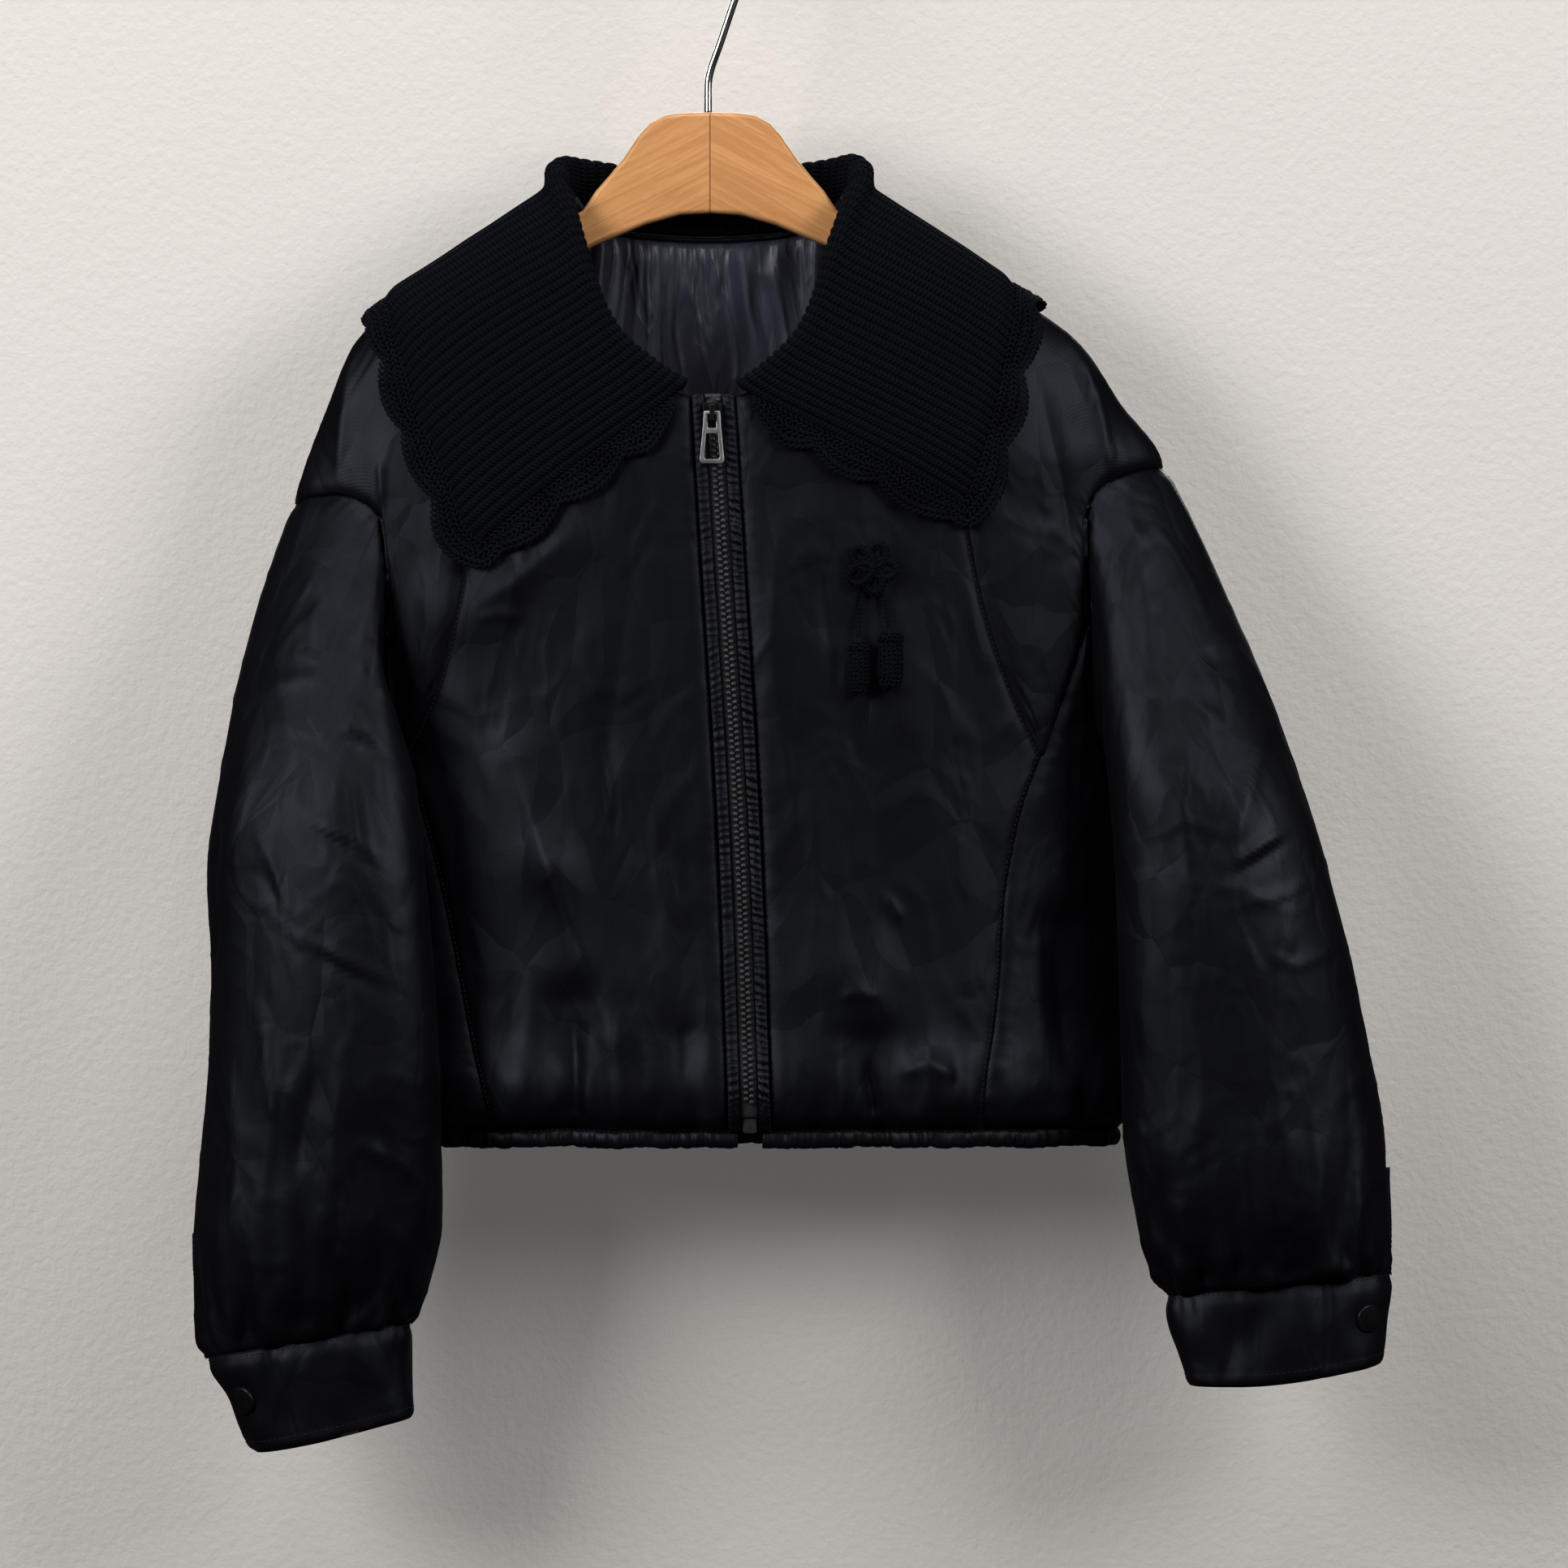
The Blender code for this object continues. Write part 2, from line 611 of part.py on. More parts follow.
def build_shell():
    for side in (-1, 1):
        name = SIDE_NAME[side]
        neck = seam(NECKLINE[side], NECK_STEPS)
        neck[-1, 0] = side * math.pi / 2
        neck_shoulder = side_line(side, NECK_TOP_Z, PRINCESS_TOP_Z + 0.9, NECK_SHOULDER_STEPS)
        princess = seam(PRINCESS[side], PRINCESS_STEPS)
        princess[0, 0] = side * math.pi / 2
        lower = seam(LOWER_PRINCESS[side], LOWER_STEPS)
        zip_edge = np.array([
            [angle_at(zip_x(z) + side * (WELT_HALF + 0.3), z), z]
            for z in np.linspace(ZIP_TOP_Z, HEM_Z, NECK_SHOULDER_STEPS + PRINCESS_STEPS + LOWER_STEPS + 1)
        ])
        neck[0] = zip_edge[0]
        outer_edge = np.concatenate([neck_shoulder, princess[1:], lower[1:]])
        panel(f"front_{name}", patch(neck, level(zip_edge[-1], lower[-1], NECK_STEPS), zip_edge, outer_edge))

        shoulder = side_line(side, PRINCESS_TOP_Z, SHOULDER_TIP_Z[side], SHOULDER_STEPS)
        arm_top, arm_down, arm_low = armhole_front(side)
        point = seam(POINT_SEAM[side], SEAM_STEPS)
        arm_edge = np.concatenate([arm_top, arm_down[1:], point[1:]])
        panel(f"shoulder_panel_{name}",
              patch(shoulder, level(princess[-1], arm_edge[-1], SHOULDER_STEPS), princess, arm_edge))

        side_seam = side_line(side, UNDERARM_Z, HEM_Z, SIDE_STEPS)
        inner_edge = np.concatenate([point, lower[1:]])
        outer_edge = np.concatenate([arm_low, side_seam[1:]])
        tip = outer_edge[0] + (outer_edge[1] - outer_edge[0]) * 0.12
        outer_edge[0] = tip
        panel(f"side_front_{name}", patch(level(inner_edge[0], outer_edge[0], 4),
                                          level(inner_edge[-1], outer_edge[-1], 4), inner_edge, outer_edge))

    edges = {}
    for side in (-1, 1):
        down = np.concatenate([armhole_back(side), side_line(side, UNDERARM_Z, HEM_Z, SIDE_STEPS)[1:]])
        edges[side] = unwrapped(down, side)
    shoulders = {
        side: unwrapped(np.concatenate([
            side_line(side, NECK_TOP_Z, PRINCESS_TOP_Z, NECK_SHOULDER_STEPS),
            side_line(side, PRINCESS_TOP_Z, SHOULDER_TIP_Z[side], SHOULDER_STEPS)[1:],
        ]), side)
        for side in (-1, 1)
    }
    neck = unwrapped(seam(BACK_NECK, BACK_NECK_STEPS, behind=True), 1)
    neck[0, 0], neck[-1, 0] = math.pi / 2, 3 * math.pi / 2
    top = np.concatenate([shoulders[1][::-1], neck[1:-1], shoulders[-1]])
    bottom = level(edges[1][-1], edges[-1][-1], len(top) - 1)
    panel("back_panel", patch(top, bottom, edges[1], edges[-1], behind=True, fade=2.6))


def sleeve_ring(row, side, turn):
    """A point of a sleeve's or a cuff's ring. turn is 0 at the inner edge, a quarter turn at the front."""
    outer = np.array([row["outer_x"], row["outer_z"]])
    inner = np.array([row["inner_x"], row["inner_z"]])
    middle, half = (outer + inner) / 2, (inner - outer) / 2
    across = signed_power(math.cos(turn), SQUARENESS)
    x, z = middle + half * across
    depth = row["middle"] - row["lean"] * across - row["half_depth"] * signed_power(math.sin(turn), SQUARENESS)
    return np.array([x, depth, z])


def thinner(row, thick):
    """The same ring inside the wall."""
    fresh = dict(row)
    side = math.copysign(1, row["inner_x"] - row["outer_x"])
    fresh["outer_x"] += side * thick
    fresh["inner_x"] -= side * thick
    fresh["half_depth"] -= thick
    return fresh


def sleeve_turns():
    front = ARM_TOP_STEPS + ARM_SIDE_STEPS + ARM_LOW_STEPS
    low, top = math.radians(-70), math.pi
    turns = [low + (top - low) * k / front for k in range(front + 1)]
    end = low + 2 * math.pi
    turns += [top + (end - top) * k / BACK_ARM_STEPS for k in range(1, BACK_ARM_STEPS)]
    return turns


def build_sleeves():
    for side in (-1, 1):
        name = SIDE_NAME[side]
        top, down, low = armhole_front(side)
        front = np.concatenate([top, down[1:], low[1:]])[::-1]
        back = armhole_back(side)[1:-1]
        loop = np.concatenate([front, back])
        turns = sleeve_turns()
        hole = np.array([body_point(a, z) for a, z in loop])
        way = hole.mean(axis=0) - hole
        hole += way / np.linalg.norm(way, axis=1, keepdims=True) * (GAP + 0.1)
        rows = [dict(zip(SLEEVE_COLUMNS, row)) for row in SLEEVE_ROWS[side]]
        full, under = [
            [np.array([sleeve_ring(thinner(row, thick), side, turn) for turn in turns]) for row in rows]
            for thick in (0.0, WALL)
        ]
        cap = [hole]
        for step, (share, out, forward) in enumerate(CAP_ROWS):
            ring = hole * (1 - share) + full[0] * share
            swell = math.sin(math.pi * share)
            for j, turn in enumerate(turns):
                near = max(math.cos(turn) - 0.35, 0) / 0.65 * FOLD_OVER[side]
                ring[j, 0] += side * (CAP_BULGE[side] * swell * max(-math.cos(turn), 0) + out * near)
                ring[j, 1] -= CAP_FRONT_BULGE * swell * max(math.sin(turn), 0) + forward * near
            cap.append(ring)
        pairs = ring_normals(cap, full[0])
        seam_out = np.array([body_normal(a, z) for a, z in loop]) + pairs[0][1]
        seam_out /= np.linalg.norm(seam_out, axis=1, keepdims=True)
        # The padding is pressed thin at the seam, most of all under the arm.
        pressed = np.ones((len(turns), 1))
        pressed[[-2, -1, 0, 1]] = np.array([[0.8], [0.45], [0.45], [0.5]])
        cap_inner = []
        for share, (ring, out) in zip((0.5, 0.66, 0.85, 1.0, 1.0), [(hole, seam_out), *pairs]):
            for j in (-1, 0, 1):
                out[j] = unit(0.25 * out[j] + unit(ring[j] - ring.mean(axis=0)))
            cap_inner.append(ring - WALL * share * (pressed if share < 1 else 1.0) * out)
        layers = [np.array(cap + full), np.array(cap_inner + under)]
        wall(f"sleeve_{name}", layers[0], layers[1], SATIN, closed=True)

        cuff = [dict(zip(SLEEVE_COLUMNS, row)) for row in CUFF_ROWS[side]]
        outer = np.array([[sleeve_ring(row, side, turn) for turn in turns] for row in cuff])
        inner = np.array([[sleeve_ring(thinner(row, CUFF_WALL), side, turn) for turn in turns] for row in cuff])
        wall(f"cuff_{name}", outer, inner, SATIN, closed=True)
        build_snap(side, cuff)
        build_placket(side, rows)


def ring_normals(cap, last):
    """Each cap ring after the first, with its points' outward normals."""
    rings = cap + [last]
    pairs = []
    for i in range(1, len(cap)):
        round_ = np.roll(rings[i], -1, axis=0) - np.roll(rings[i], 1, axis=0)
        normals = np.cross(round_, rings[i + 1] - rings[i - 1])
        for _ in range(2):
            normals = normals + 0.5 * (np.roll(normals, 1, axis=0) + np.roll(normals, -1, axis=0))
        normals /= np.linalg.norm(normals, axis=1, keepdims=True)
        if np.mean(np.sum(normals * (rings[i] - rings[i].mean(axis=0)), axis=1)) < 0:
            normals = -normals
        pairs.append((rings[i], normals))
    return pairs


def ring_normal(row, side, turn):
    small = 0.05
    here = sleeve_ring(row, side, turn)
    out = np.array([here[0] - (row["outer_x"] + row["inner_x"]) / 2, here[1] - row["middle"], 0])
    along = sleeve_ring(row, side, turn + small) - sleeve_ring(row, side, turn - small)
    normal = unit(np.cross(along, (0, 0, 1)))
    return normal if np.dot(normal, out) > 0 else -normal


def build_snap(side, cuff):
    """A low metal cap, 15 mm across, near the cuff's outer edge."""

    def spot_at(down, turn):
        low = min(int(down), len(cuff) - 2)
        row = {key: cuff[low][key] * (1 - down + low) + cuff[low + 1][key] * (down - low) for key in cuff[0]}
        return sleeve_ring(row, side, turn)

    aim = np.array(SNAP_SPOTS[side])
    tries = [(down, math.radians(d)) for down in np.linspace(0, 2.9, 60) for d in range(100, 176, 2)]
    down, turn = min(tries, key=lambda t: np.linalg.norm(spot_at(*t)[[0, 2]] - aim))
    round_ = spot_at(down, turn + 0.12) - spot_at(down, turn - 0.12)
    out = unit(np.cross(round_, spot_at(down + 0.1, turn) - spot_at(down - 0.1, turn)))
    out = out if out[1] < 0 else -out
    seat = spot_at(down, turn) + out * 0.8
    path = [seat + out * step for step in (0.0, 1.2, 1.9)]
    tube(f"snap_{SIDE_NAME[side]}", path, (7.5, 7.2, 5.2), 20, METAL)


def build_placket(side, rows):
    """The strip over the sleeve's opening, along its outer edge above the cuff."""
    strip = rows[-4:]
    outer, inner = [], []
    for row in strip:
        line = []
        for turn in (math.radians(176), math.radians(186), math.radians(197), math.radians(208)):
            point = sleeve_ring(row, side, turn)
            line.append((point, ring_normal(row, side, turn)))
        outer.append([point + out * 2.6 for point, out in line])
        inner.append([point + out * 0.9 for point, out in line])
    outer, inner = np.array(outer), np.array(inner)
    outer[-1, :, 2] += 0.5
    inner[-1, :, 2] += 0.5
    wall(f"sleeve_placket_{SIDE_NAME[side]}", outer, inner, SATIN)


# ---------------------------------------------------------------- the collar
def neck_loop():
    """Places along the neck seam, from the right front end round the back to the left front end."""
    right = [(angle_at(x, z), z) for x, z in path_points(NECKLINE[-1][1:], 24)]
    left = [(angle_at(x, z), z) for x, z in path_points(NECKLINE[1][1:], 24)]
    back = [(angle_at(x, z, True), z) for x, z in path_points(BACK_NECK, 36)]
    right[-1] = (-math.pi / 2, NECK_TOP_Z)
    left[-1] = (math.pi / 2, NECK_TOP_Z)
    back = [(a if a < 0 else a - 2 * math.pi, z) for a, z in back][1:-1][::-1]
    left = [(a - 2 * math.pi, z) for a, z in left][::-1]
    return right, back, left


def even_places(line, count):
    """count + 1 places evenly spaced along a line of places on the shell."""
    line = np.asarray(line)
    spots = np.array([body_point(a, z) for a, z in line])
    run = np.concatenate([[0], np.cumsum(np.linalg.norm(np.diff(spots, axis=0), axis=1))])
    even = np.linspace(0, run[-1], count + 1)
    return np.column_stack([np.interp(even, run, line[:, i]) for i in (0, 1)])


def edge_line():
    right = [(angle_at(x, z), z) for x, z in path_points(COLLAR_EDGE_FRONT[-1], 30)]
    left = [(angle_at(x, z), z) for x, z in path_points(COLLAR_EDGE_FRONT[1], 30)]
    back_right = [(angle_at(x, z, True), z) for x, z in path_points(COLLAR_EDGE_BACK[-1], 24)]
    back_left = [(angle_at(x, z, True), z) for x, z in path_points(COLLAR_EDGE_BACK[1], 24)]
    right[-1] = back_right[0] = (-math.pi / 2, right[-1][1])
    left[-1] = back_left[0] = (math.pi / 2, left[-1][1])
    back_right = [(a if a < 0 else a - 2 * math.pi, z) for a, z in back_right]
    back_left = [(a if a < 0 else a - 2 * math.pi, z) for a, z in back_left][::-1]
    left = [(a - 2 * math.pi, z) for a, z in left][::-1]
    return right, back_right + back_left[1:], left


def collar_places():
    """For each rib line: its place on the neck seam and its place on the outer edge."""
    neck_right, neck_back, neck_left = neck_loop()
    back_neck = [neck_right[-1], *neck_back, neck_left[0]]
    edge_right, edge_back, edge_left = edge_line()
    pairs = []
    for neck, edge, ribs in (
        (neck_right, edge_right, FRONT_RIBS), (back_neck, edge_back, BACK_RIBS), (neck_left, edge_left, FRONT_RIBS),
    ):
        places = np.hstack([even_places(neck, 2 * ribs), even_places(edge, 2 * ribs)])
        pairs += list(places if not pairs else places[1:])
    return np.array(pairs)


def collar_line(neck, edge, out):
    """One rib line's points. out is the face that shows (True) or the hidden one."""
    thick = COLLAR_THICK
    half_turn = (WALL + COLLAR_CLEAR + thick) / 2
    angle, z = neck
    seat = body_point(angle, z)
    under = body_point(angle, z, True)
    normal = unit(seat - under)
    round_ = body_point(angle + 0.02, z) - body_point(angle - 0.02, z)
    place = math.degrees(angle)
    place = place + 360 if place < -180 else place
    height = column_curve([r[0] for r in ROLL_ROWS], [r[1] for r in ROLL_ROWS])(place)
    tangent = neck_tangent(angle, z)
    rise = unit(np.cross(tangent, normal))
    straight = height - half_turn
    start = seat - normal * WALL + rise * 1.4
    middle = -WALL + half_turn
    if out:
        points = [
            start, seat - normal * WALL + rise * max(straight, 0.8),
            seat + rise * height + normal * middle,
            seat + rise * straight + normal * (COLLAR_CLEAR + thick),
        ]
        lift = COLLAR_CLEAR + thick
    else:
        points = [
            start + normal * thick, seat - normal * (WALL - thick) + rise * max(straight, 0.8),
            seat + rise * (height - thick) + normal * middle,
            seat + rise * straight + normal * COLLAR_CLEAR,
        ]
        lift = COLLAR_CLEAR
    last_edge = body_point(*edge)
    level_seat = seat
    run_up = max(straight, 0.0)
    run_down = np.linalg.norm(last_edge - level_seat)
    total = run_up + run_down
    for share in (0.33, 0.66, 1.0):
        along = total * share
        if along < run_up:
            points.append(seat + rise * (run_up - along) + normal * lift)
            continue
        mix = (along - run_up) / run_down
        if mix >= 0.999:
            spot = (edge[0], edge[1])
        else:
            between = level_seat * (1 - mix) + last_edge * mix
            spot = (angle_of_point(between), between[2])
        points.append(on_body(spot[0], spot[1], lift))
    return points


def neck_tangent(angle, z):
    """The way the neck seam runs at a place, from the right front end towards the left one."""
    here = body_point(angle, z)
    spots = neck_seam_points
    nearest = int(np.argmin(np.linalg.norm(spots - here, axis=1)))
    low, high = max(nearest - 9, 0), min(nearest + 9, len(spots) - 1)
    return unit(spots[high] - spots[low])


neck_seam_points = np.array([body_point(angle, z) for part in neck_loop() for angle, z in part])


def build_collar():
    places = collar_places()
    outer, inner = [], []
    for i, (a0, z0, a1, z1) in enumerate(places):
        show = np.array(collar_line((a0, z0), (a1, z1), True))
        if i % 2:
            hidden = np.array(collar_line((a0, z0), (a1, z1), False))
            way = show - hidden
            way /= np.maximum(np.linalg.norm(way, axis=1, keepdims=True), 1e-6)
            show = show + way * RIB_HEIGHT
        else:
            inner.append(collar_line((a0, z0), (a1, z1), False))
        outer.append(show)
    outer = np.array(outer).transpose(1, 0, 2)
    inner = np.array(inner).transpose(1, 0, 2)
    ribbed_wall("collar_knit", outer, inner, 2, KNIT)
    return places


def build_lace(places):
    """The crochet border: along the first rib, round the outer edge, and back along the last rib."""
    first, last = places[0], places[-1]

    def rib_places(row, steps):
        start, end = body_point(row[0], row[1]), body_point(row[2], row[3])
        spots = []
        for share in np.linspace(0.03, 1, steps + 1):
            point = start * (1 - share) + end * share
            if share > 0.999:
                spots.append((row[2], row[3]))
            else:
                angle = angle_of_point(point)
                spots.append((angle if row[0] > -math.pi else angle - 2 * math.pi, point[2]))
        return spots

    round_edge = [(row[2], row[3]) for row in places]
    turns = (0, 2 * FRONT_RIBS, 2 * (FRONT_RIBS + BACK_RIBS), len(round_edge) - 1)
    parts = [even_places(rib_places(first, 16), LACE_END_COLUMNS)]
    parts += [even_places(round_edge[low:high + 1], columns)[1:]
              for low, high, columns in zip(turns, turns[1:], LACE_EDGE_COLUMNS)]
    parts.append(even_places(rib_places(last, 16)[::-1], LACE_END_COLUMNS)[1:])
    line = np.concatenate(parts)
    spots = np.array([body_point(a, z) for a, z in line])
    normals = np.array([body_normal(a, z) for a, z in line])
    run = np.concatenate([[0], np.cumsum(np.linalg.norm(np.diff(spots, axis=0), axis=1))])
    ways = []
    for i in range(len(line)):
        low, high = max(i - 1, 0), min(i + 1, len(line) - 1)
        ways.append(unit(np.cross(normals[i], unit(spots[high] - spots[low]))))
    ways = np.array(ways)
    for _ in range(3):
        ways[1:-1] = (ways[:-2] + 2 * ways[1:-1] + ways[2:]) / 4
    count = round(run[-1] / SCALLOP_PITCH)
    show, hidden = [], []
    for i in range(len(line)):
        phase = math.pi * count * run[i] / run[-1]
        ends = min(run[i], run[-1] - run[i])
        width = LACE_WIDTH * (0.62 + 0.38 * abs(math.sin(phase))) * (0.3 + 0.7 * min(ends / 26, 1))
        rows_show, rows_hidden = [], []
        for share, lift in ((0.0, 0.0), (0.55, 0.7), (1.0, -0.5)):
            point = spots[i] + unit(ways[i]) * (1.25 + width * share)
            angle = angle_of_point(point)
            rows_show.append(on_body(angle, point[2], COLLAR_CLEAR + LACE_THICK + lift))
            rows_hidden.append(on_body(angle, point[2], COLLAR_CLEAR))
        show.append(rows_show)
        hidden.append(rows_hidden)
    wall("collar_lace_edge", np.array(show).transpose(1, 0, 2), np.array(hidden).transpose(1, 0, 2), KNIT)


# ---------------------------------------------------------------- neck, lining and hem
def build_neck_binding():
    path = []
    for x, z in path_points(BACK_NECK, 18)[3:-3]:
        angle = angle_at(x, z, True)
        under, seat = body_point(angle, z, True), body_point(angle, z)
        path.append(under - unit(seat - under) * 2.2 + np.array([0, 0, -2.0]))
    tube("neck_binding", path, 1.5, 6, SATIN)


def build_back_lining():
    """The gathered lining behind the neck: ripples at its top that die out below."""
    columns = 2 * LINING_GATHERS + 4
    top = [(x, z - 7.0) for x, z in path_points(BACK_NECK, columns)[3:-3]]
    heights = (0.0, 22.0, 50.0, 90.0, 135.0, 180.0)
    outer, inner = [], []
    for drop in heights:
        line_out, line_in = [], []
        for j, (x, z) in enumerate(top):
            spread = 1 + 0.25 * drop / 180
            low = z - drop
            angle = angle_at(x * spread, low, True)
            under, seat = body_point(angle, low, True), body_point(angle, low)
            way = unit(seat - under)
            ripple = (1.7 if j % 2 else 0.0) * math.exp(-drop / 70) + (0.7 if j % 4 == 1 else 0)
            line_out.append(under - way * 1.4)
            line_in.append(under - way * (1.4 + LINING_THICK + ripple))
        outer.append(line_out)
        inner.append(line_in)
    wall("back_lining", np.array(outer), np.array(inner), LINING)


def build_hem_casing():
    """The gathered elastic casing under the hem, from one side of the zip round to the other."""
    columns = 2 * CASING_PUCKERS
    start = angle_at(zip_x(HEM_Z) + TAPE_HALF + 2, HEM_Z)
    end = angle_at(zip_x(HEM_Z) - TAPE_HALF - 2, HEM_Z) + 2 * math.pi
    fine = np.column_stack([np.linspace(start, end, 400), np.full(400, HEM_Z)])
    places = even_places(fine, columns)
    top, bottom = HEM_Z - GAP, CASING_BOTTOM_Z
    show, plain = [], []
    for height, tuck in ((top, 0.4), ((top + bottom) / 2, 0.0), (bottom, 1.4)):
        line = []
        for j, (angle, _) in enumerate(places):
            seat, under = body_point(angle, HEM_Z), body_point(angle, HEM_Z, True)
            way = unit(seat - under)
            pucker = 1.3 if j % 2 and height != top else 0.0
            point = seat - way * (1.3 + tuck) + way * pucker
            line.append([point[0], point[1], height])
        show.append(line)
        plain.append([
            [*(body_point(a, HEM_Z) - unit(body_point(a, HEM_Z) - body_point(a, HEM_Z, True)) * 4.9)[:2], height]
            for a, _ in places[::2]
        ])
    ribbed_wall("hem_casing", np.array(show), np.array(plain), 2, SATIN)


# ---------------------------------------------------------------- the zip
def zip_surface(z, offset, depth):
    """A point beside the zip's middle line, sunk below the shell's outer surface."""
    x = zip_x(z) + offset
    angle = angle_at(x, z)
    seat, under = body_point(angle, z), body_point(angle, z, True)
    return seat + unit(under - seat) * depth


def build_zip():
    heights = np.linspace(ZIP_TOP_Z + 1.5, HEM_Z, 17)
    for side in (-1, 1):
        offsets = (TAPE_HALF + GAP, (TAPE_HALF + WELT_HALF) / 2, WELT_HALF)
        lifts = (-0.6, 0.9, 0.0)
        outer = np.array([
            [zip_surface(z, side * o, -lift) for o, lift in zip(offsets, lifts)] for z in heights
        ])
        inner = np.array([[zip_surface(z, side * o, WALL) for o in offsets] for z in heights])
        wall(f"zip_welt_{SIDE_NAME[side]}", outer, inner, SATIN)
    low_end = HEM_Z + 8.0
    rows = np.linspace(ZIP_TOP_Z + 1.5, low_end, 17)
    profile = ((-TAPE_HALF, 2.6), (-CHAIN_HALF, 2.6), (-CHAIN_HALF + 0.2, 0.8), (CHAIN_HALF - 0.2, 0.8),
               (CHAIN_HALF, 2.6), (TAPE_HALF, 2.6))
    outer = np.array([[zip_surface(z, o, d) for o, d in profile] for z in rows])
    inner = np.array([[zip_surface(z, o, 4.2) for o, _ in profile] for z in rows])
    wall("zip_tape", outer, inner, TAPE)

    foot = zip_surface(low_end - 4.2, 0, 0.6)
    box = [(-3.6, 3.8), (3.6, 3.8), (3.6, -3.4), (2.8, -4.2), (-2.8, -4.2), (-3.6, -3.4)]
    plate("zip_bottom_box", box, 3.4, METAL, foot - np.array([0, 0.9, 0]))
    build_slider()


def slider_place():
    seat = zip_surface(SLIDER_Z, 0, 0.0)
    return np.array([zip_x(SLIDER_Z) - 1.0, seat[1] - 0.2, SLIDER_Z])


def build_slider():
    """The slider: a waisted plate in front of the chain, with a bridge standing on it that holds the pull tab."""
    seat = slider_place()
    face = 3.2
    body = [(-5.0, 5.6), (-3.2, 6.6), (3.2, 6.6), (5.0, 5.6), (4.3, -4.6), (3.2, -6.0), (-3.2, -6.0), (-4.3, -4.6)]
    half, length, post = 1.25, 5.2, 1.4
    rise, bar = 3.3, 1.3
    points, faces = [], []
    shape = [(x, z) for x, z in body]
    count = len(shape)
    for depth in (0.0, -face):
        points += [seat + np.array([x, depth, z]) for x, z in shape]
    faces.append(list(range(count)))
    for i in range(count):
        j = (i + 1) % count
        faces.append([i, j, j + count, i + count])
    # The front face carries the bridge's two posts, so it is filled round their feet.
    feet = []
    for foot_z in (length - post / 2, -length + 1.6 + post / 2):
        base = len(points)
        ring = [(-half, foot_z + post / 2), (half, foot_z + post / 2), (half, foot_z - post / 2),
                (-half, foot_z - post / 2)]
        points += [seat + np.array([x, -face, z]) for x, z in ring]
        feet.append(base)
    flat = bmesh.new()
    loops = [list(range(count, 2 * count)), [feet[0] + k for k in range(4)], [feet[1] + k for k in range(4)]]
    lookup = {}
    edges = []
    for loop in loops:
        verts = []
        for index in loop:
            vert = flat.verts.new((points[index][0], 0, points[index][2]))
            lookup[vert] = index
            verts.append(vert)
        edges += [flat.edges.new((verts[i], verts[(i + 1) % len(verts)])) for i in range(len(verts))]
    bmesh.ops.triangle_fill(flat, use_beauty=True, edges=edges)
    faces += [[lookup[v] for v in f.verts] for f in flat.faces]
    flat.free()
    # Bridge: outer and inner rows of an arch from the upper post to the lower one.
    up, down = feet
    arch = []
    for depth, z_shift in ((-face - rise, 0.0), (-face - rise - bar, 0.0)):
        for foot, sign in ((up, 1), (down, -1)):
            base = len(points)
            for k in range(4):
                point = points[foot + k].copy()
                point[1] = seat[1] + depth
                points.append(point)
            arch.append(base)
    low_up, low_down, high_up, high_down = arch
    for foot, low in ((up, low_up), (down, low_down)):
        for k in range(4):
            j = (k + 1) % 4
            faces.append([foot + k, foot + j, low + j, low + k])
    # ring order at each post: 0,1 on its upper side, 2,3 on its lower side
    for low, high, skip in ((low_up, high_up, 2), (low_down, high_down, 0)):
        for k in range(4):
            if k == skip:
                continue
            j = (k + 1) % 4
            faces.append([low + k, low + j, high + j, high + k])
    faces.append([low_up + 3, low_up + 2, low_down + 1, low_down + 0])
    faces.append([high_up + 3, high_up + 2, high_down + 1, high_down + 0])
    faces.append([low_up + 2, high_up + 2, high_down + 1, low_down + 1])
    faces.append([low_up + 3, high_up + 3, high_down + 0, low_down + 0])
    faces.append([high_up + k for k in range(4)])
    faces.append([high_down + k for k in range(4)])
    add_object("zip_slider", points, faces, METAL)

    # The pull tab: its top bar runs under the bridge, on the hinge.
    hinge = seat + np.array([0, -face - 1.75, 0.9])
    thick = 1.4
    outline = [(-4.0, 0.9), (4.0, 0.9), (4.5, 0.2), (4.9, -8.0), (6.6, -24.5), (6.3, -26.2), (5.4, -27.0),
               (-5.4, -27.0), (-6.3, -26.2), (-6.6, -24.5), (-4.9, -8.0), (-4.5, 0.2)]
    slot = [(-2.1, -0.9), (-2.1, -8.2), (2.1, -8.2), (2.1, -0.9)]
    window = [(-3.0, -11.2), (-4.1, -23.6), (-3.4, -24.6), (3.4, -24.6), (4.1, -23.6), (3.0, -11.2)]
    plate("zip_pull_tab", outline, thick, METAL, hinge - np.array([0, thick / 2, 0]), (slot, window), origin=hinge)


# ---------------------------------------------------------------- the charm
def front_seat(x, z, out):
    return on_body(angle_at(x, z), z, out)


